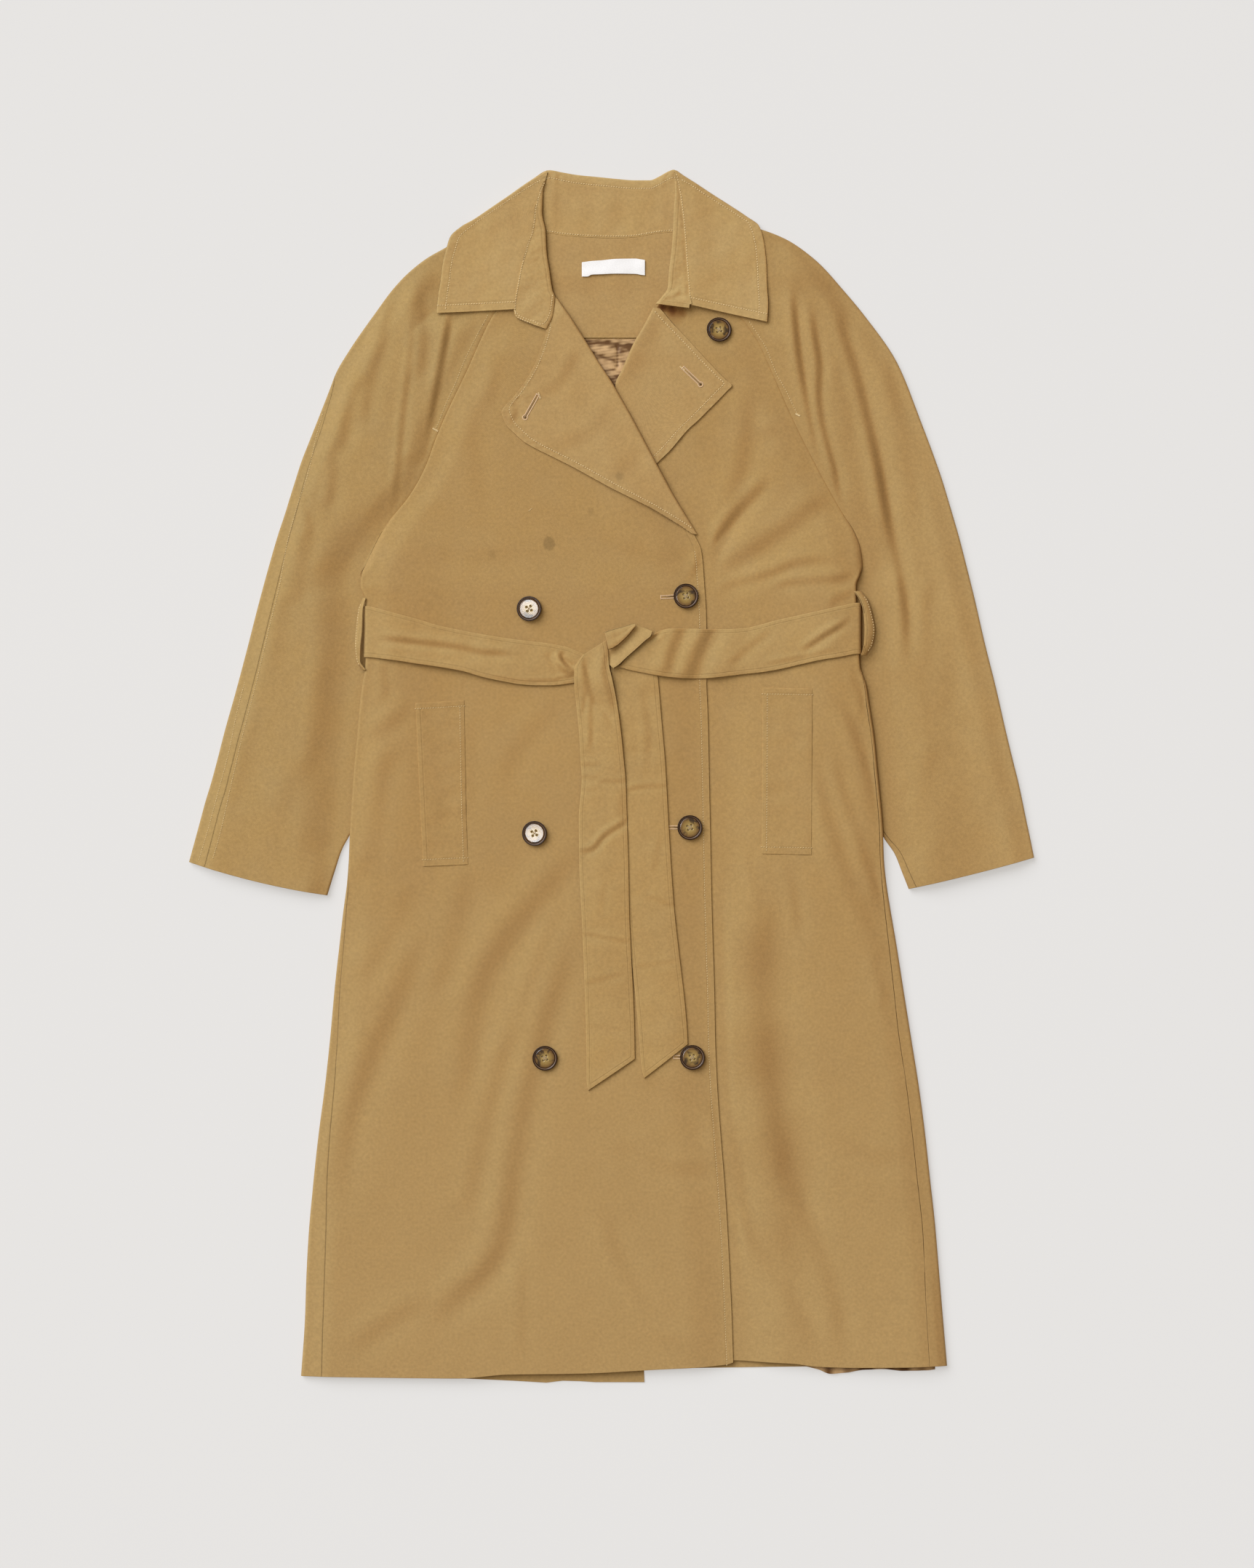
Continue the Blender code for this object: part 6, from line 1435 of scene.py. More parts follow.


# painted shade in the pleats of the lining, and darker further down under the lapels
def satinPaintedShade(x, y):
    left, right = ease((0.0060 - x) / 0.003), ease((x - 0.0070) / 0.003)
    slant = y + 0.12 * x + 0.0009 * np.sin(x / 0.0045)
    dark = 0.95 * bump2(slant, 0.4452, 0.0040)
    dark = dark + left * (0.80 * bump2(y + 0.30 * x, 0.4290, 0.0030) + 0.55 * bump2(y - 0.20 * x, 0.4185, 0.0020))
    dark = dark + right * (0.85 * bump2(y - 0.35 * x, 0.4330, 0.0026) + 0.60 * bump2(y + 0.50 * x, 0.4330, 0.0022))
    dark = dark + 0.85 * bump2(x, 0.0066, 0.0015) * ease((0.447 - y) / 0.004) * ease((y - 0.420) / 0.004)
    dark = dark + 0.9 * ease((0.4150 - y + 0.3 * x) / 0.007) + 0.22 * ripple(x * 0.3, y, 0.0040, 62)
    return np.clip(dark, 0.0, 1.0)


def makeFacing():
    # its top follows the neck seam
    seam = tableCurves(standBackRows, ["seam", "fold", "high"])["seam"]
    side = tableCurves(facingRows, ["low", "high"])
    along = np.linspace(0.0, 1.0, neckPlan["rows"])[:, None]
    level = mixed(0.4515, 0.560, along)
    x = mixed(side["low"](level), side["high"](level), spreadShares(neckPlan["columns"]))
    y = mixed(0.4515, seam(x) - 0.12 * mm, along)
    lower = layer["leafLift"] * 0.25 * ease((y - 0.495) / 0.025)
    grid = np.stack([x, y, facingMid(x, y) - lower + neckShape(x, y)], axis=-1)
    shell("neckFacing", grid, lapelCloth, wall=neckPlan["wall"] * mm, node="neck_facing")


makeFacing()
lining = makeStrip("liningBack", "lining_back", rowsToRungs(satinRows),
                   lambda x, y: facingMid(x, y) + satinFolds(x, y), satinPlan, satin, None)


def paintSheenAndShade(piece, dark):
    # painted sheen and shade: how dark the satin is painted at each place, dark in its pleats and light between them
    count = len(piece.data.vertices)
    places = np.zeros(count * 3, np.float32)
    piece.data.vertices.foreach_get("co", places)
    places = places.reshape(-1, 3).astype(float)
    values = piece.data.attributes.new("paintedSheenAndShade", "FLOAT", "POINT")
    values.data.foreach_set("value", dark(places[:, 0], places[:, 1]).astype(np.float32))


paintSheenAndShade(lining, satinPaintedShade)


def labelShape(share, along, x, y):
    return 0.5 * mm * bump2(along, 0.5, 0.36) + 0.12 * mm * ripple(x, y, 0.020, 63)


makeStrip("neckLabel", "label", labelPlan["rungs"], lambda x, y: facingMid(x, y) + 1.2 * mm, labelPlan, tape,
          labelShape)

# lining that shows below the left hem: x, y
hemLiningRows = [(190, -606), (213, -611.5), (226, -616), (242, -615), (261, -612), (282, -611.5),
                 (301, -613), (325, -612.6), (334, -611.5)]
hemLiningPlan = {"rows": 120, "columns": 14, "wall": 0.8}
hemLining = makeStrip(
    "liningHem", "lining_hem", [(x, -585, x, y) for x, y in hemLiningRows],
    lambda x, y: facingMid(x, y) + 0.45 * mm * ripple(x, y, 0.018, 64), hemLiningPlan, satin, None,
)
# painted sheen and shade on the lining at the hem, varying at random
paintSheenAndShade(hemLining, lambda x, y: np.clip(0.55 + 0.42 * ripple(x, y * 0.4, 0.022, 65), 0.0, 1.0))
print("neck and lining ready")

weltPlan = {"rows": 90, "columns": 18, "wall": 0.7, "lift": 0.92 * mm,
            "stitched": {"left": 5.0, "top": 6.0, "bottom": 7.0}}
rightWelt = [(-193, -93, -147, -91), (-196, -34, -149, -33), (-198.5, 20, -150, 22), (-201, 75, -151, 78)]
leftWelt = [(155, -80, 206, -81), (155.4, -25, 206.3, -25), (155.8, 35, 206.7, 34), (156, 91, 207, 90)]


def weltShape(share, along, x, y):
    side = 0.35 * mm * (bump2(share, 0.0, 0.05) + bump2(share, 1.0, 0.05))
    return 0.12 * mm * ripple(x, y, 0.030, 71) - side


for name, node, rungs, under in (("pocketWeltRight", "pocket_welt_right", rightWelt, rightMid),
                                 ("pocketWeltLeft", "pocket_welt_left", leftWelt, leftMid)):
    def onFront(x, y, under=under):
        return under(x, y) + weltPlan["lift"]

    makeStrip(name, node, rungs, onFront, weltPlan, plainCloth, weltShape)

# the belt: top edge and bottom edge of each stretch from the side in, in millimetres
beltPlan = {"rows": 132, "columns": 22, "wall": 1.15, "turns": 14, "stitched": {"left": 4.0, "right": 4.0}}
beltRightRungs = [
    (-248, 174.5, -248, 122), (-235, 171, -235, 120.4), (-217, 166, -217, 118),
    (-198, 161, -198, 115), (-180, 155.5, -180, 112.5), (-150, 149, -152, 107.5),
    (-126, 144.6, -131, 101.4), (-103, 141, -110, 97), (-86, 138.8, -92, 94), (-69, 137, -75, 93),
    (-57, 135, -62, 93), (-45, 132.5, -50, 94), (-35, 128.5, -41, 95.3), (-25, 124, -33, 96.5),
]
beltLeftRungs = [
    (251, 178, 251, 125.5), (235, 174.5, 235, 122.2), (215, 170, 215, 119), (197, 166, 196, 114.8),
    (170, 160, 170, 109), (150, 154.6, 152, 106.2), (137, 152, 140, 105), (118, 151, 122, 102.9),
    (98, 151, 105, 101), (84, 151.4, 90, 100.2), (69, 151.5, 75, 100.5), (60, 151.4, 62, 101.4),
    (53, 150, 50, 103), (40, 143, 28, 107), (20, 126, 8, 111.5),
]
beltRightCreases = [
    (5.5, 2.4, [(-250, 144), (-200, 138), (-160, 133.5), (-130, 127.5), (-105, 126), (-90, 116)]),
    (5, 0.7, [(-240, 131), (-200, 127), (-150, 118)]),
    (4.0, 4.8, [(-54, 129), (-51, 120), (-45, 113), (-36, 108)]),
    (3, 0.9, [(-58, 100), (-36, 104)]),
    (3, 0.8, [(-132, 105), (-90, 98), (-40, 99)]),
    (5, -1.7, [(-61, 129), (-58, 119), (-52, 109), (-44, 103)]),
]
beltLeftCreases = [
    (12, 5.0, [(107, 164), (99, 147), (91, 130), (84, 112), (80, 92)]),
    (9, 2.6, [(78, 162), (68, 143), (61, 125), (56, 98)]),
    (5, 2.6, [(262, 172), (240, 157), (218, 144), (192, 126)]),
    (6, 0.9, [(168, 154), (140, 131), (118, 112)]),
    (4, 0.8, [(236, 131), (190, 121), (150, 114)]),
    (2.4, 1.8, [(36, 139.5), (42, 142.6), (48, 148)]),
    (2.6, -1.0, [(44, 139.5), (50, 143.5), (56, 150)]),
]


def beltHeight(x, y):
    pastEdge = ease((x - 0.120) / 0.030)
    under = mixed(rightMid(x, y), leftMid(x, y), pastEdge)
    overTail = ease((x + 0.020) / 0.015) * ease((0.080 - x) / 0.022)
    overRamp = 0.5 * mm * ease((np.abs(x) - 0.140) / 0.030)
    return under + layer["step"] * (1.0 + overTail) + overRamp


def makeBelt(name, node, rungs, side, creases):
    rows, top = (left, leftMid) if side > 0 else (right, rightMid)
    y = np.array([[0.146]])
    body = bodyEdge(y, side, rows, top)
    footX = float(body["x"][0, 0]) - side * (float(body["reach"][0, 0]) + layer["cloth"] / 2.0)
    outer = reachOf["side"] + layer["step"] + 0.2 * mm
    low, high = float(body["low"][0, 0]), float(body["high"][0, 0])
    half = (high - low) / 2.0 + layer["step"] + 0.1 * mm
    share = spreadShares(beltPlan["columns"], 0.16, 5)
    first = np.array(rungs[0]) * mm
    turned = []
    for step in range(beltPlan["turns"] + 1):
        angle = math.pi * (step / beltPlan["turns"] - 0.5)
        x = footX + side * outer * math.cos(angle)
        z = (low + high) / 2.0 + half * math.sin(angle)
        turned.append(np.stack([np.full_like(share, x), mixed(first[1], first[3], share), np.full_like(share, z)], axis=-1))
    ax, ay, bx, by, along = rungCurves(rungs, beltPlan["rows"])
    x, y = mixed(ax, bx, share), mixed(ay, by, share)
    z = beltHeight(x, y)
    settle = ease(along / 0.10)
    z = z - np.minimum(creaseField(x, y, creases), 2.2 * mm) * settle
    crown = 0.9 * mm * np.sin(math.pi * np.clip(share, 0.0, 1.0)) ** 0.7
    loose = 0.10 * mm * ripple(x, y, 0.040, 81) + 0.015 * mm * ripple(x, y, 0.011, 82)
    hang = ease((share - 0.55) / 0.45) * bump2(x, -0.175 if side < 0 else 0.04, 0.060) * (2.4 if side < 0 else 0.3) * mm
    z = z + (crown + loose + hang + 1.2 * mm * bump2(along, 0.55, 0.35)) * settle
    z[0] = turned[-1][:, 2]
    flat = np.stack([x, y, z], axis=-1)
    grid = np.concatenate([np.array(turned), flat[1:]], axis=0)
    return shell(name, grid, beltCloth, wall=beltPlan["wall"] * mm, node=node, stitched=beltPlan["stitched"])


beltLook = {**clothLook, "cool": (0.414, 0.264, 0.098), "warm": (0.419, 0.263, 0.094), "pucker": 0.18}
beltCloth = gabardine("gabardineBelt", beltLook)
makeBelt("beltRight", "belt_right", beltRightRungs, -1, beltRightCreases)
makeBelt("beltLeft", "belt_left", beltLeftRungs, 1, beltLeftCreases)

beltBackPlan = {"rows": 90, "columns": 12, "wall": 1.1, "y": 149.0, "width": 51.0}


def beltBackHeight(x, y):
    over = layer["sleeveLift"] * ease((np.abs(x) - 0.198) / 0.022)
    return layer["floor"] + over


def makeBeltBack():
    high = beltBackPlan["y"] + beltBackPlan["width"] / 2.0
    low = beltBackPlan["y"] - beltBackPlan["width"] / 2.0
    rungs = [(x, high, x, low) for x in (-249.2, -224, -196, -100, 0, 100, 196, 224, 251.7)]
    makeStrip("beltBack", "belt_back", rungs, beltBackHeight, beltBackPlan, beltCloth)


makeBeltBack()

# tails of the belt: left edge and right edge, from the knot down
tailUpperPlan = {
    "rows": 210, "columns": 18, "wall": 1.15, "stitched": {"left": 4.0, "right": 4.0, "top": 4.5},
    "rungs": [
        (-29, 124, -5, 139.5), (-34, 117, -3, 129), (-37.6, 110, -2, 115), (-37.6, 95, 1.5, 99),
        (-36, 77, 5.5, 79), (-33, 47, 10, 48), (-31, 15, 13.4, 15), (-30, -3, 15, -3),
        (-33, -44, 16.5, -44), (-32.5, -90, 18, -90), (-30, -145, 19, -145), (-28, -190, 21, -188),
        (-26.4, -235, 23, -228), (-25.2, -284, 24.2, -262), (-25, -314, 24.5, -285), (-23.5, -323.5, 24.6, -291),
    ],
    "creases": [
        (5, 2.4, [(-31, 130), (-24, 94), (-18, 76), (-8, 65), (3, 44)]),
        (4, 1.2, [(-21, 84), (-21, 24)]),
        (3.4, 0.8, [(-36, 12), (-10, 12)]), (3.2, 0.6, [(-36, -1), (-10, -1)]),
        (3.2, 0.5, [(-36, -14), (-12, -14)]), (3.4, 0.8, [(-14, -5), (19, -5)]),
        (4.2, 2.0, [(23, -42), (-8, -62), (-20, -75), (-38, -78)]),
        (3.6, 1.0, [(-36, -160), (-10, -165), (23, -171)]),
        (4.5, 0.6, [(-32, -214), (16, -202)]),
        (6, 2.2, [(-4, 134), (-7, 108), (-1, 84), (4, 60)]),
        (7, 0.8, [(10, -10), (12, -58)]), (6, 0.5, [(-6, -104), (-12, -146)]),
        (3.6, 1.0, [(-34, 106), (-27, 88), (-30, 60)]),
        (4, 0.4, [(-34, -110), (-14, -124)]), (4, 0.35, [(-30, -255), (18, -262)]),
    ],
}
tailLowerPlan = {
    "rows": 185, "columns": 18, "wall": 1.15, "stitched": {"left": 4.0, "right": 4.0, "top": 4.5},
    "rungs": [
        (-1, 118, 46, 122), (1, 98, 48.5, 99), (4, 50, 52.5, 52), (6.5, 15, 55.5, 18),
        (10, -44, 59, -44), (14, -95, 62, -95), (17, -136, 65, -136), (21, -185, 70, -182),
        (26, -235, 75.6, -230), (29, -270, 77.6, -252), (32, -303, 78.8, -271), (34, -311, 79, -276),
    ],
    "creases": [
        (3.8, 1.0, [(12, -14), (45, -10), (62, -10)]), (3.8, 1.0, [(36, -122), (68, -135)]),
        (6, 0.9, [(30, 96), (38, 40), (36, 2)]), (5, 0.5, [(50, -60), (44, -100)]),
        (4, 0.5, [(22, -196), (72, -190)]), (4, 0.4, [(14, 30), (40, 24)]),
    ],
}


def tailShape(creases, crownHeight, standOff=0.0):
    def shape(share, along, x, y):
        crown = crownHeight * mm * np.sin(math.pi * np.clip(share, 0.0, 1.0)) ** 0.6
        loose = 0.08 * mm * ripple(x, y, 0.034, 91) + 0.012 * mm * ripple(x, y, 0.010, 92)
        free = standOff * mm * ease((share - 0.35) / 0.65) * bump2(y, 0.070, 0.075)
        return crown + loose + free - np.minimum(creaseField(x, y, creases), 0.35 * mm + crown * 1.6)
    return shape


def tailUpperHeight(x, y):
    overTail = layer["step"] * ease((y + 0.240) / 0.060)
    overBelt = 3.0 * mm * ease((y - 0.070) / 0.030)
    return rightMid(x, y) + layer["step"] + overTail + overBelt


makeStrip("beltTailLower", "belt_tail_lower", tailLowerPlan["rungs"],
          lambda x, y: rightMid(x, y) + layer["step"], tailLowerPlan, beltCloth,
          tailShape(tailLowerPlan["creases"], 0.5))
makeStrip("beltTailUpper", "belt_tail_upper", tailUpperPlan["rungs"], tailUpperHeight, tailUpperPlan,
          beltCloth, tailShape(tailUpperPlan["creases"], 1.0, 2.4))

# the knot's two folds
knotLowerPlan = {
    "rows": 60, "columns": 26, "wall": 1.15,
    "rungs": [
        (26.6, 155.2, 43, 148.5), (22, 153.4, 41.2, 143.6), (16, 150.6, 36, 139.2), (10.5, 147, 30.2, 134),
        (6, 142.6, 24.6, 128.9), (2, 137.6, 19, 124), (-2, 132, 13.8, 119.2), (-5, 126.4, 8.4, 114.2),
        (-7.4, 120.6, 2.4, 110.2),
    ],
}
knotUpperPlan = {
    "rows": 50, "columns": 22, "wall": 1.15,
    "rungs": [
        (24.6, 155.9, 25.6, 154.6), (19, 155, 21.4, 149.4), (13, 153.2, 16.6, 143.6),
        (8, 151.8, 11, 138.2), (3.4, 150.8, 6, 133.8), (-1, 149.6, 1.6, 130.8), (-6.4, 147.4, -2.4, 129.6),
    ],
}


def knotLowerHeight(x, y):
    return beltHeight(x, y) + layer["step"] + 1.4 * mm * ease((y - 0.115) / 0.035)


def lowerFold(share, along, x, y):
    # deep under the upper fold on one side, standing off the belt on the other
    rise = 2.9 * mm * ease((share - 0.30) / 0.70) ** 1.3
    return rise + 0.3 * mm * ease((along - 0.2) / 0.5) + 0.08 * mm * ripple(x, y, 0.012, 95)


def upperFold(share, along, x, y):
    arch = 1.3 * mm * np.sin(math.pi * np.clip(share * 0.8 + 0.1, 0.0, 1.0)) + 1.2 * mm * ease((share - 0.45) / 0.50)
    return arch + 1.2 * mm * ease(along) + 0.08 * mm * ripple(x, y, 0.012, 96)


makeStrip("beltKnotLower", "belt_knot_lower", knotLowerPlan["rungs"], knotLowerHeight, knotLowerPlan,
          beltCloth, lowerFold)
makeStrip("beltKnotUpper", "belt_knot_upper", knotUpperPlan["rungs"],
          lambda x, y: knotLowerHeight(x, y) + layer["step"] + 0.9 * mm, knotUpperPlan, beltCloth, upperFold)

# belt loops: height, outer x and z, inner x and z
loopPlan = {"rows": 60, "columns": 12, "wall": 1.2, "stitched": {"left": 3.0, "right": 3.0}}
loopRightRows = [
    (183, -254.9, 8.0, -251.5, 12.5), (170, -259.6, 8.5, -254.6, 13.4), (150, -262.0, 9.0, -255.2, 13.8),
    (134, -263.0, 9.0, -256.8, 13.6), (118, -261.2, 7.5, -257.5, 11.5), (109, -254.9, 7.6, -251.5, 11.9),
]
loopLeftRows = [
    (190, 257.0, 7.0, 249.5, 11.2), (180, 264.0, 8.0, 256.0, 12.5), (167, 268.0, 8.5, 259.5, 13.5),
    (150, 271.0, 8.5, 260.5, 14.0), (136, 269.0, 8.0, 260.0, 13.0), (124, 262.0, 7.0, 257.0, 10.5),
]


def makeLoop(name, node, rows, side):
    table = np.array(rows[::-1], float) * mm
    y = np.linspace(table[0, 0], table[-1, 0], loopPlan["rows"])[:, None]
    outerX, outerZ, innerX, innerZ = [throughPoints(table[:, 0], table[:, k])(y) for k in range(1, 5)]
    share = spreadShares(loopPlan["columns"], 0.18, 3)
    angle = share * math.pi / 2.0
    x = outerX + (innerX - outerX) * (1.0 - np.cos(angle))
    z = outerZ + (innerZ - outerZ) * np.sin(angle)
    grid = np.stack([x, y + 0.0 * x, z], axis=-1)
    return shell(name, grid, beltCloth, wall=loopPlan["wall"] * mm, node=node, stitched=loopPlan["stitched"])


makeLoop("beltLoopRight", "belt_loop_right", loopRightRows, -1)
makeLoop("beltLoopLeft", "belt_loop_left", loopLeftRows, 1)
print("belt ready")


def makeHorn(name, look):
    # light in the middle, browner outwards, with dark patches, a dark groove and a pale ring near the rim painted in as
    # a highlight
    material, tree, shader = newMaterial(name, 0.30)
    shader.inputs["Specular IOR Level"].default_value = 0.16
    shader.inputs["Coat Roughness"].default_value = 0.15
    place = addNode(tree, "ShaderNodeTexCoord").outputs["Object"]
    radius = addNode(tree, "ShaderNodeAttribute", attribute_name="radius").outputs["Fac"]
    cloud = noise(tree, place, 125.0, 2.0, 0.5, 0.8)
    streak = noise(tree, place, 420.0, 2.0, 0.5, 2.0)
    face = mixColour(tree, ramp(tree, radius, 0.10, 0.52), (*look["light"], 1.0), (*look["olive"], 1.0))
    face = mixColour(tree, ramp(tree, radius, 0.45, 0.80), face, (*look["brown"], 1.0))
    patch = calc(tree, "MULTIPLY", ramp(tree, cloud, 0.50, 0.64), ramp(tree, radius, 0.18, 0.60, 0.0, 0.9))
    face = mixColour(tree, patch, face, (*look["dark"], 1.0))
    face = mixColour(tree, ramp(tree, streak, 0.3, 0.7, 0.0, 0.14), face, (*look["dark"], 1.0))
    face = mixColour(tree, ramp(tree, radius, 0.765, 0.80), face, (*look["groove"], 1.0))
    # painted highlight: a pale ring near the rim, where light catches the rounded edge
    line = calc(tree, "MULTIPLY", ramp(tree, radius, 0.848, 0.868), ramp(tree, radius, 0.876, 0.896, 1.0, 0.0))
    face = mixColour(tree, calc(tree, "MULTIPLY", line, 0.75), face, (*look["line"], 1.0))
    tree.links.new(face, shader.inputs["Base Color"])
    gloss = calc(tree, "MAXIMUM", ramp(tree, radius, 0.75, 0.79, 0.95, 0.10), calc(tree, "MULTIPLY", line, 0.5))
    tree.links.new(gloss, shader.inputs["Coat Weight"])
    tree.links.new(ramp(tree, cloud, 0.3, 0.7, 0.26, 0.36), shader.inputs["Roughness"])
    bump = addNode(tree, "ShaderNodeBump", {"Strength": 1.0, "Distance": mm, "Height": calc(tree, "MULTIPLY", streak, 0.003)})
    tree.links.new(bump.outputs["Normal"], shader.inputs["Normal"])
    return material


def makeThread(name, colour):
    material, tree, shader = newMaterial(name, 0.6)
    shader.inputs["Sheen Weight"].default_value = 0.2
    place = addNode(tree, "ShaderNodeTexCoord").outputs["Object"]
    twist = noise(tree, place, 1400.0, 2.0)
    cloudy = useGroup(tree, "mottle", {"Vector": place, "Amount": 0.10})
    shade = calc(tree, "MULTIPLY", ramp(tree, twist, 0.2, 0.8, 0.88, 1.08), cloudy["Shade"])
    grey = addNode(tree, "ShaderNodeCombineColor", {0: shade, 1: shade, 2: shade}).outputs[0]
    tree.links.new(mixColour(tree, 1.0, (*colour, 1.0), grey, "MULTIPLY"), shader.inputs["Base Color"])
    tree.links.new(ramp(tree, twist, 0.0, 1.0, 0.5, 0.7), shader.inputs["Roughness"])
    bump = addNode(tree, "ShaderNodeBump", {"Strength": 1.0, "Distance": mm, "Height": calc(tree, "MULTIPLY", twist, 0.05)})
    tree.links.new(bump.outputs["Normal"], shader.inputs["Normal"])
    return material


# horn colours; the line colour is a painted highlight near the rim
horn = makeHorn("horn", {
    "light": (0.460, 0.330, 0.118), "olive": (0.300, 0.185, 0.050), "brown": (0.140, 0.068, 0.020),
    "dark": (0.022, 0.011, 0.006), "groove": (0.028, 0.012, 0.006), "line": (0.400, 0.270, 0.175),
})
khakiThread = makeThread("threadKhaki", (0.72, 0.54, 0.27))
paleThread = makeThread("threadPale", (0.66, 0.46, 0.28))
# painted shade for the open buttonhole slits
slitShade = makeThread("paintedSlitShade", (0.15, 0.085, 0.038))
dullThread = makeThread("threadDull", (0.62, 0.46, 0.22))
buttonThread = makeThread("threadButton", (0.42, 0.30, 0.16))

buttonPlan = {
    "radius": 12.75, "height": 3.9, "segments": 72, "holeAway": 2.75, "holeRadius": 1.15, "holeDepth": 1.9,
    # share of the radius and of the height, from the middle of the face to the middle underneath
    "rings": [0.0, 0.06, 0.11, 0.14, 0.17, 0.20, 0.23, 0.26, 0.29, 0.32, 0.36, 0.44, 0.53, 0.62, 0.70, 0.76],
    "rim": [(0.785, 0.61), (0.805, 0.55), (0.83, 0.55), (0.855, 0.68), (0.885, 0.80), (0.92, 0.84), (0.955, 0.82),
            (0.985, 0.86), (1.0, 0.74), (0.99, 0.58), (0.95, 0.36), (0.88, 0.18), (0.80, 0.09), (0.5, 0.02),
            (0.30, 0.0), (0.0, 0.0)],
    # name, node, x, y, tilt in degrees and its direction
    "places": [
        ("buttonNeck", "button_neck", 111, 459, 7.0, 60.0),
        ("buttonFront1", "button_front_1", 77, 185, 2.2, 20.0),
        ("buttonFront2", "button_front_2", 81, -53, 2.0, 330.0),
        ("buttonFront3", "button_front_3", 83.6, -289.5, 2.4, 40.0),
        ("buttonSide1", "button_side_1", -84, 172, 4.4, 180.0),
        ("buttonSide2", "button_side_2", -78.5, -59, 4.4, 176.0),
        ("buttonSide3", "button_side_3", -68, -290, 2.4, 300.0),
    ],
}


def ringFaces(rings, segments, start):
    faces = []
    for k in range(rings - 1):
        a = start + k * segments + np.arange(segments)
        b = start + k * segments + (np.arange(segments) + 1) % segments
        faces += np.stack([a, a + segments, b + segments, b], axis=-1).tolist()
    return faces


def tubeMesh(paths, radius, sides=6):
    # closed round threads along some paths
    verts, faces = [], []
    for path in paths:
        path = np.array(path, float)
        ahead = np.gradient(path, axis=0)
        ahead /= np.linalg.norm(ahead, axis=1, keepdims=True) + 1e-12
        up = np.array([0.0, 0.0, 1.0]) - ahead * ahead[:, 2:3]
        up = np.where(np.linalg.norm(up, axis=1, keepdims=True) < 0.15, [[1.0, 0.0, 0.0]], up)
        up /= np.linalg.norm(up, axis=1, keepdims=True)
        aside = np.cross(ahead, up)
        start = len(verts)
        for k, point in enumerate(path):
            thin = 0.55 if k in (0, len(path) - 1) else 1.0
            for s in range(sides):
                angle = 2.0 * math.pi * s / sides
                offset = aside[k] * math.cos(angle) + up[k] * math.sin(angle)
                verts.append(point + offset * radius * thin)
        for k in range(len(path) - 1):
            for s in range(sides):
                a, b = start + k * sides + s, start + k * sides + (s + 1) % sides
                faces.append((a, b, b + sides, a + sides))
        faces.append(tuple(start + s for s in range(sides))[::-1])
        faces.append(tuple(start + (len(path) - 1) * sides + s for s in range(sides)))
    return verts, faces


def plainPiece(name, verts, faces, material, node=None):
    mesh = bpy.data.meshes.new(name)
    mesh.from_pydata([tuple(map(float, v)) for v in verts], [], faces)
    mesh.update()
    mesh.shade_smooth()
    piece = bpy.data.objects.new(name, mesh)
    scene.collection.objects.link(piece)
    mesh.materials.append(material)
    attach(piece, "root")
    if node:
        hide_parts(node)
    return piece


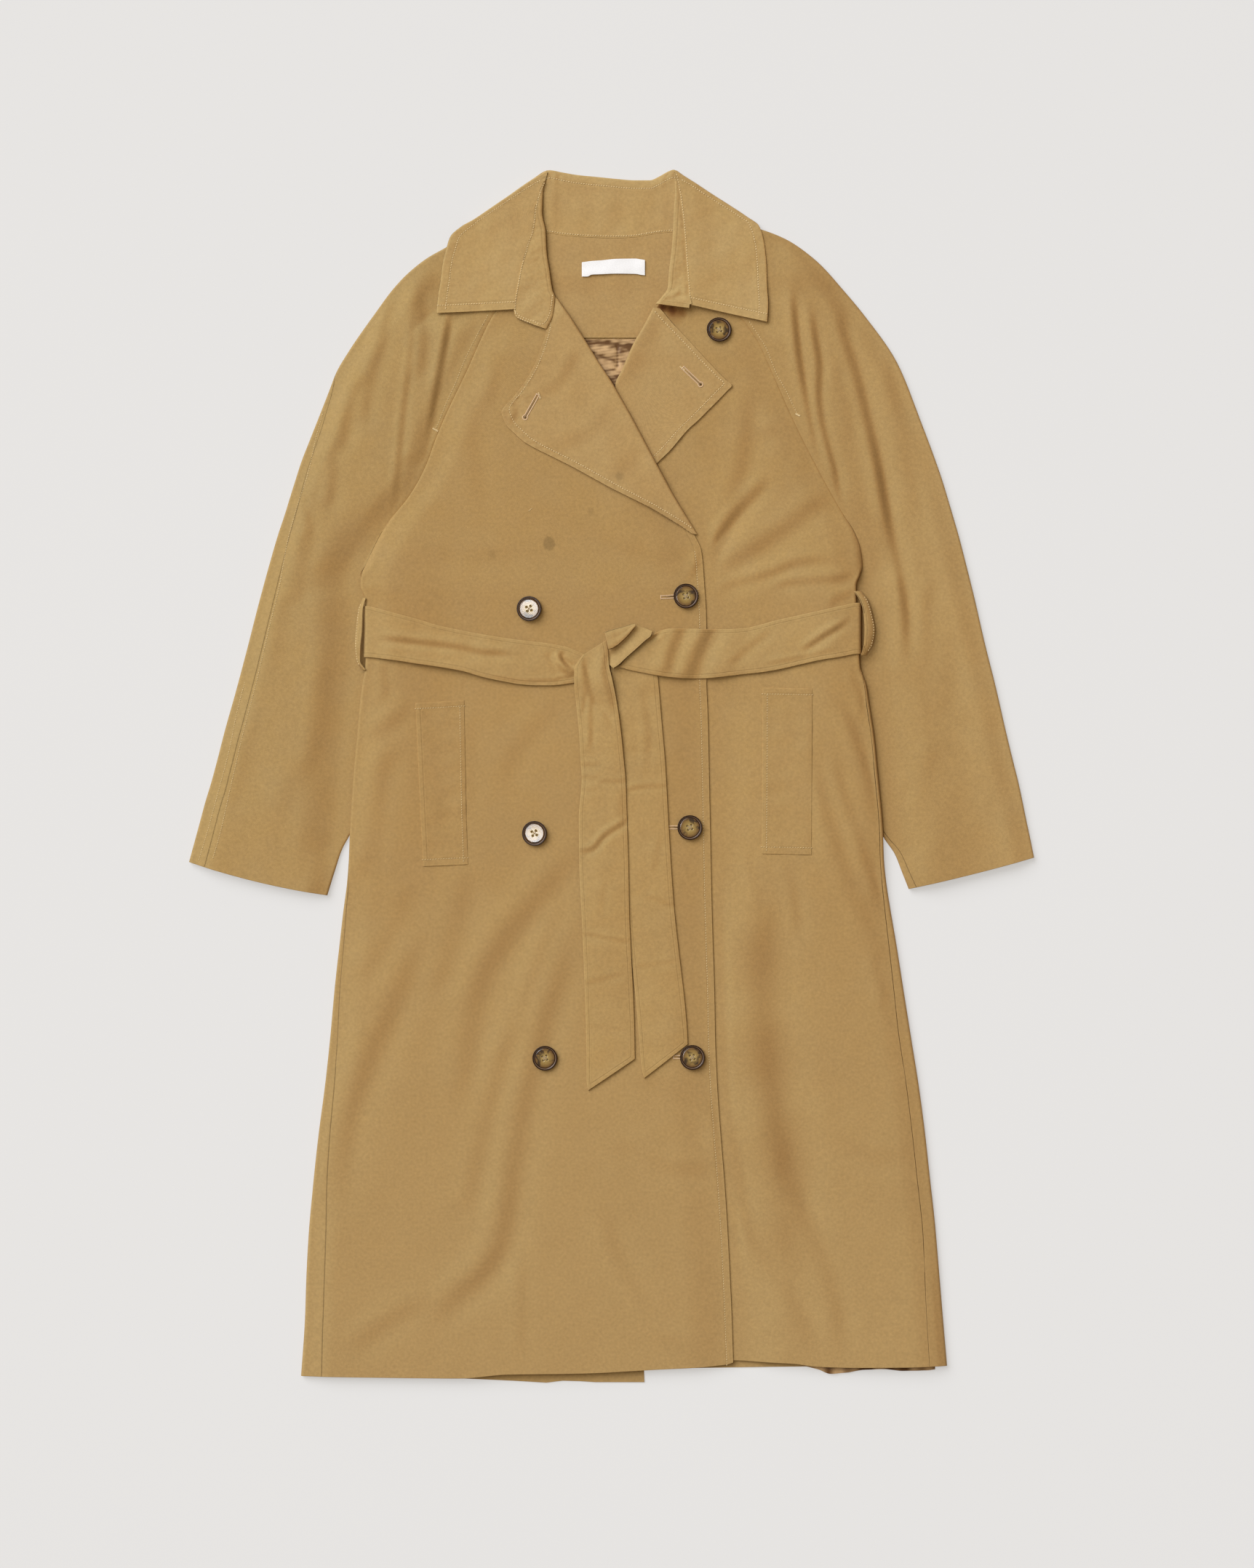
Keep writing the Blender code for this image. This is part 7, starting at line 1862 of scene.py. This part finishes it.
def makeButton(name, node, x, y, tilt, toward):
    r, h, n = buttonPlan["radius"] * mm, buttonPlan["height"] * mm, buttonPlan["segments"]
    profile = [(share, 0.62 + 0.018 * (share / 0.76) ** 2) for share in buttonPlan["rings"]] + buttonPlan["rim"]
    profile = np.array(profile)
    inner = profile[1:-1]
    angle = 2.0 * math.pi * np.arange(n) / n
    px = inner[:, :1] * r * np.cos(angle)
    py = inner[:, :1] * r * np.sin(angle)
    pz = np.repeat(inner[:, 1:] * h, n, axis=1)
    face = len(buttonPlan["rings"]) - 1
    for quarter in range(4):
        turn = math.radians(45.0 + 90.0 * quarter + 12.0)
        away = np.hypot(px - buttonPlan["holeAway"] * mm * math.cos(turn), py - buttonPlan["holeAway"] * mm * math.sin(turn))
        hole = ease((buttonPlan["holeRadius"] * mm - away) / (0.35 * mm)) * buttonPlan["holeDepth"] * mm
        pz[:face] -= hole[:face]
    places = np.stack([px, py, pz], axis=-1).reshape(-1, 3)
    middleTop = [0.0, 0.0, profile[0, 1] * h]
    middleLow = [0.0, 0.0, profile[-1, 1] * h]
    verts = np.concatenate([[middleTop], places, [middleLow]])
    rings = len(inner)
    faces = ringFaces(rings, n, 1)
    last = len(verts) - 1
    for s in range(n):
        faces.append((0, 1 + s, 1 + (s + 1) % n))
        faces.append((last, 1 + (rings - 1) * n + (s + 1) % n, 1 + (rings - 1) * n + s))
    radius = np.hypot(verts[:, 0], verts[:, 1]) / r

    # tilted a little, then set down on the front
    lean, way = math.radians(tilt), math.radians(toward)
    axis = np.array([-math.sin(way), math.cos(way), 0.0])

    def leaned(points):
        points = np.asarray(points, float)
        cross = np.cross(axis, points)
        dot = points @ axis
        return points * math.cos(lean) + cross * math.sin(lean) + np.outer(dot, axis) * (1.0 - math.cos(lean))

    verts = leaned(verts)
    trees = topTree(["frontLeft"] if x > 100 else ["frontRight"])
    x, y = x * mm, y * mm
    low = verts[:, 2] < h * 0.7
    seat = max(topAt(x + px, y + py, trees) - pz for px, py, pz in verts[low][::7])
    seat += 0.25 * mm
    moved = verts + [x, y, seat]
    piece = plainPiece(name, moved, faces, horn, node)
    values = piece.data.attributes.new("radius", "FLOAT", "POINT")
    values.data.foreach_set("value", radius.astype(np.float32))

    # thread crossed through the four holes
    paths = []
    for quarter in range(2):
        turn = math.radians(45.0 + 90.0 * quarter + 12.0)
        for aside in (-0.32, 0.0, 0.32):
            s = np.linspace(-1.0, 1.0, 11)
            along = s * (buttonPlan["holeAway"] + 0.15) * mm
            z = (profile[0, 1] * h + 0.28 * mm + 0.10 * mm * quarter) - 1.5 * mm * ease((np.abs(s) - 0.80) / 0.20)
            px = along * math.cos(turn) - aside * mm * math.sin(turn)
            py = along * math.sin(turn) + aside * mm * math.cos(turn)
            paths.append(leaned(np.stack([px, py, z], axis=-1)) + [x, y, seat])
    verts, faces = tubeMesh(paths, 0.19 * mm, 5)
    plainPiece(name + "Thread", verts, faces, buttonThread)


for place in buttonPlan["places"]:
    makeButton(*place)
print("buttons ready")


def makeStitchTree():
    # a row of short rounded threads along every curve
    tree = bpy.data.node_groups.new("stitchRow", "GeometryNodeTree")
    face = tree.interface
    face.new_socket("Geometry", in_out="INPUT", socket_type="NodeSocketGeometry")
    for label, kind, value in (("Pitch", "NodeSocketFloat", 2.6 * mm), ("Length", "NodeSocketFloat", 1.0 * mm),
                               ("Thickness", "NodeSocketFloat", 0.3 * mm), ("Seed", "NodeSocketInt", 4),
                               ("Material", "NodeSocketMaterial", None)):
        socket = face.new_socket(label, in_out="INPUT", socket_type=kind)
        if value is not None:
            socket.default_value = value
    face.new_socket("Geometry", in_out="OUTPUT", socket_type="NodeSocketGeometry")
    given = tree.nodes.new("NodeGroupInput").outputs
    out = tree.nodes.new("NodeGroupOutput").inputs
    row = addNode(tree, "GeometryNodeCurveToPoints", {"Curve": given["Geometry"], "Length": given["Pitch"]}, mode="LENGTH")
    thread = addNode(tree, "GeometryNodeMeshUVSphere", {"Segments": 6, "Rings": 4, "Radius": 1.0})
    smooth = addNode(tree, "GeometryNodeSetShadeSmooth", {"Geometry": thread.outputs["Mesh"]})
    turn = addNode(tree, "FunctionNodeAlignRotationToVector", {"Vector": row.outputs["Tangent"]}, axis="Z")
    size = addNode(tree, "ShaderNodeCombineXYZ", {"X": given["Thickness"], "Y": given["Thickness"], "Z": given["Length"]})
    uneven = addNode(tree, "FunctionNodeRandomValue", {"Seed": given["Seed"]}, data_type="FLOAT")
    uneven.inputs[2].default_value, uneven.inputs[3].default_value = 0.82, 1.12
    scaled = addNode(tree, "ShaderNodeVectorMath", {0: size.outputs[0]}, operation="SCALE")
    tree.links.new(uneven.outputs[1], scaled.inputs["Scale"])
    placed = addNode(tree, "GeometryNodeInstanceOnPoints",
                     {"Points": row.outputs["Points"], "Instance": smooth.outputs[0],
                      "Rotation": turn.outputs[0], "Scale": scaled.outputs[0]})
    real = addNode(tree, "GeometryNodeRealizeInstances", {"Geometry": placed.outputs["Instances"]})
    finished = addNode(tree, "GeometryNodeSetMaterial", {"Geometry": real.outputs[0], "Material": given["Material"]})
    tree.links.new(finished.outputs[0], out["Geometry"])
    return tree


stitchTree = makeStitchTree()
stitchLook = {"pitch": 2.6, "length": 0.95, "thickness": 0.46}
boldLook = {**stitchLook, "thickness": 0.56}


def sewRows(name, lines, material, look=stitchLook):
    curve = bpy.data.curves.new(name, "CURVE")
    curve.dimensions = "3D"
    for line in lines:
        spline = curve.splines.new("POLY")
        spline.points.add(len(line) - 1)
        spline.points.foreach_set("co", np.concatenate([line, np.ones((len(line), 1))], axis=1).ravel())
    rows = bpy.data.objects.new(name + "Rows", curve)
    scene.collection.objects.link(rows)
    sewn = rows.modifiers.new("stitches", "NODES")
    sewn.node_group = stitchTree
    values = {"Pitch": look["pitch"] * mm, "Length": look["length"] * mm, "Thickness": look["thickness"] * mm,
              "Material": material}
    for item in stitchTree.interface.items_tree:
        if item.in_out == "INPUT" and item.name in values:
            sewn[item.identifier] = values[item.name]
    mesh = bpy.data.meshes.new_from_object(rows.evaluated_get(bpy.context.evaluated_depsgraph_get()))
    mesh.name = name
    bpy.data.objects.remove(rows)
    piece = bpy.data.objects.new(name, mesh)
    scene.collection.objects.link(piece)
    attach(piece, "root")
    return piece


def below(line, y):
    return line[line[:, 1] < y * mm]


def above(line, y):
    return line[line[:, 1] > y * mm]


sewRows("stitchesFront", [below(edgeLine("frontRight", "right", 7.0, lift=0.02), 231)], dullThread)
sewRows("stitchesLapels", [
    edgeLine("lapelRight", "right", 8.6, 0.02, 0.97), edgeLine("lapelLeft", "right", 8.6, 0.03, 0.97),
], khakiThread, boldLook)
collarLines = [
    edgeLine("collarLeafRight", "right", 9.0, 0.03, 0.93), edgeLine("collarLeafRight", "bottom", 8.0, 0.02, 0.90),
    edgeLine("collarLeafLeft", "right", 9.0, 0.03, 0.93), edgeLine("collarLeafLeft", "bottom", 8.0, 0.02, 0.90),
    edgeLine("collarStandRight", "right", 1.2, 0.02, 0.98), edgeLine("collarLeafLeft", "left", 1.4, 0.02, 0.98),
    edgeLine("collarStandBack", "top", 9.5, 0.02, 0.98), edgeLine("collarStandBack", "bottom", 2.2, 0.02, 0.98),
]
sewRows("stitchesCollar", collarLines, khakiThread, boldLook)
sewRows("stitchesStand", [
    laidOn([(-98, 477), (-92, 472), (-80, 468), (-72, 464.5), (-67.5, 467), (-62, 480), (-60, 494)], ["collarStandRight"]),
], khakiThread, boldLook)

rightRaglanRow = [(-127, 474), (-145, 440), (-152, 425), (-160, 405), (-170, 383), (-178, 363), (-181, 357)]
leftRaglanRow = [(143, 467), (160, 440), (170, 415), (180, 397), (192, 372)]
outerRow = [(-424, -86), (-416, -60), (-405, -20), (-392, 30), (-385, 65), (-377, 96)]
innerRow = [(-409, -84), (-402, -60), (-393, -20), (-378, 45), (-365, 95), (-352, 150), (-340, 200), (-333, 240),
            (-322, 280), (-312, 310), (-303, 350), (-297, 372)]
sewRows("stitchesSleeves", [
    laidOn(rightRaglanRow, ["sleeveRightFront"]), laidOn(leftRaglanRow, ["sleeveLeftFront"]),
    laidOn(outerRow, ["sleeveRightFront", "sleeveRightBack"], count=90),
    laidOn(innerRow, ["sleeveRightFront", "sleeveRightBack"], count=150),
], dullThread)
sewRows("stitchesPockets", [
    edgeLine("pocketWeltRight", "right", 4.5, 0.03, 0.96), edgeLine("pocketWeltRight", "top", 6.0),
    edgeLine("pocketWeltRight", "bottom", 7.0), edgeLine("pocketWeltLeft", "left", 5.0, 0.03, 0.96),
    edgeLine("pocketWeltLeft", "top", 6.5), edgeLine("pocketWeltLeft", "bottom", 7.0),
], dullThread)
sewRows("stitchesLoops", [edgeLine("beltLoopRight", "left", 3.0, 0.1, 0.9), edgeLine("beltLoopLeft", "left", 3.0, 0.1, 0.9)], khakiThread)
# bar-tacks: short dense zigzags where a row of stitches ends, in millimetres
tackPlan = {
    "thread": 0.24 * mm, "turns": 9,
    "places": [
        ((-183.5, 358), (-178, 355), 1.0, ["sleeveRightFront", "frontRight", "backRight"]),
        ((190, 373), (194.5, 370.5), 1.0, ["sleeveLeftFront", "frontLeft", "backLeft"]),
        ((-74.5, 394.2), (-72.5, 388.0), 0.9, ["lapelRight"]), ((70.8, 421.2), (76.0, 417.4), 0.9, ["lapelLeft"]),
    ],
}


def barTack(start, end, half, names):
    share = np.linspace(0.0, 1.0, tackPlan["turns"] * 2)
    dx, dy = np.subtract(end, start) / math.hypot(*np.subtract(end, start))
    swing = np.where(np.arange(len(share)) % 2, half, -half)
    points = [(start[0] + (end[0] - start[0]) * s - dy * w, start[1] + (end[1] - start[1]) * s + dx * w)
              for s, w in zip(share, swing)]
    return laidOn(points, names, 0.16, 70)


looseThread = laidOn([(-85, 272.5), (-83.5, 273.2), (-82.4, 274.6), (-81, 275.2)], ["frontRight"], 0.2, 12)
verts, faces = tubeMesh([barTack(*place) for place in tackPlan["places"]] + [looseThread], tackPlan["thread"], 5)
plainPiece("barTacks", verts, faces, khakiThread)
print("stitches ready")

keyholePlan = {"thread": 0.50 * mm, "eye": 2.5, "half": 1.45}


def keyhole(start, end, names, eye=True):
    # outline of a keyhole buttonhole in millimetres, from its bar to its eye
    sx, sy = start
    ex, ey = end
    length = math.hypot(ex - sx, ey - sy)
    dx, dy = (ex - sx) / length, (ey - sy) / length
    half, radius = keyholePlan["half"], keyholePlan["eye"] if eye else keyholePlan["half"]
    open_ = math.asin(half / radius * 0.98)
    local = [(0.0, half), (length * 0.5, half * 1.05), (length - radius * 1.6, half)]
    for step in range(13):
        angle = math.pi - open_ - (2.0 * math.pi - 2.0 * open_) * step / 12.0
        local.append((length - radius + radius * math.cos(angle) * 1.0, radius * math.sin(angle)))
    local += [(length - radius * 1.6, -half), (length * 0.5, -half * 1.05), (0.0, -half)]
    outline = [(sx + dx * u - dy * v, sy + dy * u + dx * v) for u, v in local]
    line = laidOn(outline, names, 0.10, 90)
    bar = laidOn([(sx - dy * v, sy + dx * v) for v in (-half * 1.7, half * 1.7)], names, 0.16, 8)
    slit = []
    for u, v in ((0.8, 0.0), (length * 0.5, 0.40), (length - radius * 2.0, 0.35)):
        slit.append((u, v))
    if eye:
        for step in range(9):
            angle = math.pi * 0.85 - math.pi * 1.7 * step / 8.0
            slit.append((length - radius + 1.3 * math.cos(angle), 1.3 * math.sin(angle)))
    slit += [(length - radius * 2.0, -0.35), (length * 0.5, -0.40)]
    slit = [(sx + dx * u - dy * v, sy + dy * u + dx * v) for u, v in slit]
    trees = topTree(names)
    return [line, bar], [(x * mm, y * mm, topAt(x * mm, y * mm, trees)) for x, y in slit]


holes = [
    keyhole((-75.0, 392.0), (-89.5, 366.5), ["lapelRight"]),
    keyhole((74.0, 420.0), (94.0, 401.0), ["lapelLeft"]),
    keyhole((51.5, 183.8), (68.0, 184.8), ["frontRight"], False),
    keyhole((58.5, -53.0), (72.0, -53.0), ["frontRight"], False),
    keyhole((64.5, -289.0), (75.0, -289.4), ["frontRight"], False),
]
threads = [line for lines, _ in holes for line in lines]
verts, faces = tubeMesh(threads, keyholePlan["thread"], 6)
plainPiece("buttonholes", verts, faces, paleThread)

# the open slit inside each buttonhole, as a thin dark plug: painted shade where the cut opens into the cloth
verts, faces = [], []
for _, slit in holes:
    start, n = len(verts), len(slit)
    verts += [(x, y, z + 0.10 * mm) for x, y, z in slit] + [(x, y, z - 0.30 * mm) for x, y, z in slit]
    faces.append(tuple(start + k for k in range(n))[::-1])
    faces.append(tuple(start + n + k for k in range(n)))
    for k in range(n):
        a, b = start + k, start + (k + 1) % n
        faces.append((a, b, b + n, a + n))
plainPiece("buttonholeSlits", verts, faces, slitShade)
print("buttonholes ready")

# cut sizes in metres: width, length, area where the cut isn't a rectangle, how it is held, what it lies on
sheetPlan = {
    "backRight": (0.354, 1.174, 0.320, "laid", ["beltBack", "sleeveRightBack", "collarLeafBack"], []),
    "backLeft": (0.346, 1.161, 0.295, "laid", ["beltBack", "sleeveLeftBack", "collarLeafBack"], []),
    "frontRight": (0.424, 1.110, 0.375, "laid", ["frontLeft", "backRight"],
                   ["stitchesFront", "buttonSide1", "buttonSide2", "buttonSide3"]),
    "frontLeft": (0.438, 1.099, 0.382, "laid", ["backLeft"], ["buttonNeck"]),
    "sleeveRightFront": (0.170, 0.730, 0.084, "laid", ["sleeveRightBack"], ["stitchesSleeves"]),
    "sleeveRightBack": (0.180, 0.730, 0.097, "laid", ["studioFloor"], []),
    "sleeveLeftFront": (0.180, 0.730, 0.093, "laid", ["sleeveLeftBack"], []),
    "sleeveLeftBack": (0.180, 0.730, 0.092, "laid", ["studioFloor"], []),
    "lapelRight": (0.125, 0.250, 0.018, "folded", ["frontRight"], ["stitchesLapels"]),
    "lapelLeft": (0.100, 0.170, 0.011, "folded", ["frontLeft"], []),
    "collarLeafRight": (0.085, 0.150, 0.0098, "folded", ["frontRight"], ["stitchesCollar"]),
    "collarLeafLeft": (0.085, 0.150, 0.0100, "folded", ["frontLeft"], []),
    "collarLeafBack": (0.095, 0.290, 0.0220, "folded", ["studioFloor"], []),
    "collarStandRight": (0.036, 0.153, 0.0037, "folded", ["frontRight", "lapelRight"], ["stitchesStand"]),
    "collarStandLeft": (0.030, 0.130, 0.0023, "folded", ["frontLeft", "lapelLeft"], []),
    "collarStandBack": (0.069, 0.143, 0.0090, "laid", ["collarLeafBack"], []),
    "neckFacing": (0.109, 0.143, 0.0134, "laid", ["backRight", "backLeft"], []),
    "liningBack": (0.060, 0.081, 0.0031, "laid", ["backRight", "backLeft"], []),
    "liningHem": (0.031, 0.144, None, "laid", ["backLeft"], []),
    "neckLabel": (0.0183, 0.065, 0.0010, "laid", ["neckFacing"], []),
    "pocketWeltRight": (0.049, 0.171, None, "laid", ["frontRight"], ["stitchesPockets"]),
    "pocketWeltLeft": (0.051, 0.171, None, "laid", ["frontLeft"], []),
    "beltRight": (0.051, 0.232, None, "laid", ["frontRight"], []),
    "beltLeft": (0.051, 0.252, None, "laid", ["frontLeft", "frontRight"], []),
    "beltBack": (0.051, 0.501, None, "laid", ["studioFloor"], []),
    "beltTailUpper": (0.052, 0.463, 0.0210, "hung", ["beltKnotLower", "frontRight", "beltTailLower"], []),
    "beltTailLower": (0.052, 0.440, 0.0206, "hung", ["beltKnotLower", "frontRight"], []),
    "beltKnotLower": (0.026, 0.052, 0.0012, "folded", ["beltRight", "beltLeft"], []),
    "beltKnotUpper": (0.019, 0.034, 0.0005, "folded", ["beltKnotLower"], []),
    "beltLoopRight": (0.012, 0.075, None, "stretched", ["beltRight"], ["stitchesLoops"]),
    "beltLoopLeft": (0.012, 0.078, None, "stretched", ["beltLeft"], []),
}
for name, (width, length, area, held, under, sewnOn) in sheetPlan.items():
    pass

studio = {
    "floor": (0.335, 0.332, 0.327), "glow": (0.447, 0.443, 0.437), "world": 0.295, "worldTint": (1.0, 0.82, 0.58),
    "key": 2.92, "keyAngle": 48.0, "keyFrom": (-0.70, 0.71, 0.84), "keyTint": (1.0, 1.036, 1.12),
    "box": 24.0, "boxSize": (0.56, 0.62), "boxAt": (-0.80, 0.14, 3.7),
    "aim": (0.0165, -0.00825), "distance": 3.6, "height": 1.617,
}


def makeStudio():
    mesh = bpy.data.meshes.new("studioFloor")
    size, low = 30.0, -0.0004
    mesh.from_pydata([(-size, -size, low), (size, -size, low), (size, size, low), (-size, size, low)],
                     [], [(0, 1, 2, 3)])
    floor = bpy.data.objects.new("studioFloor", mesh)
    scene.collection.objects.link(floor)
    material, tree, shader = newMaterial("paper", 0.9)
    place = addNode(tree, "ShaderNodeTexCoord").outputs["Object"]
    light = ramp(tree, noise(tree, place, 3.0, 2.0), 0.2, 0.8, 0.992, 1.0)
    grey = addNode(tree, "ShaderNodeCombineColor", {0: light, 1: light, 2: light}).outputs[0]
    paper = mixColour(tree, 1.0, (*studio["floor"], 1.0), grey, "MULTIPLY")
    tree.links.new(paper, shader.inputs["Base Color"])
    shader.inputs["Specular IOR Level"].default_value = 0.0
    shader.inputs["Emission Color"].default_value = (*studio["glow"], 1.0)
    shader.inputs["Emission Strength"].default_value = 1.0
    mesh.materials.append(material)

    world = bpy.data.worlds.new("studio")
    scene.world = world
    world.use_nodes = True
    sky = world.node_tree.nodes["Background"]
    sky.inputs["Color"].default_value = (*studio["worldTint"], 1.0)
    sky.inputs["Strength"].default_value = studio["world"]

    key = bpy.data.lights.new("key", "SUN")
    key.energy = studio["key"]
    key.color = studio["keyTint"]
    key.angle = math.radians(studio["keyAngle"])
    lamp = bpy.data.objects.new("key", key)
    x, y, z = studio["keyFrom"]
    lamp.location = (x, y, z)
    lamp.rotation_euler = (math.atan2(math.hypot(x, y), z), 0.0, math.atan2(x, -y))
    scene.collection.objects.link(lamp)

    # a softbox beside the camera, seen in the buttons
    box = bpy.data.lights.new("softbox", "AREA")
    box.shape = "RECTANGLE"
    box.size, box.size_y = studio["boxSize"]
    box.energy = studio["box"]
    lamp = bpy.data.objects.new("softbox", box)
    x, y, z = studio["boxAt"]
    lamp.location = (x, y, z)
    lamp.rotation_euler = (math.atan2(math.hypot(x, y), z), 0.0, math.atan2(x, -y))
    scene.collection.objects.link(lamp)

    camera = bpy.data.cameras.new("camera")
    camera.sensor_width = 36.0
    camera.lens = 36.0 * studio["distance"] / studio["height"]
    camera.clip_end = 50.0
    eye = bpy.data.objects.new("camera", camera)
    eye.location = (*studio["aim"], studio["distance"])
    scene.collection.objects.link(eye)
    scene.camera = eye
    scene.view_settings.view_transform = "Standard"
    scene.view_settings.look = "None"
    scene.view_settings.exposure = 0.0
    scene.view_settings.gamma = 1.0


makeStudio()
print("studio ready")
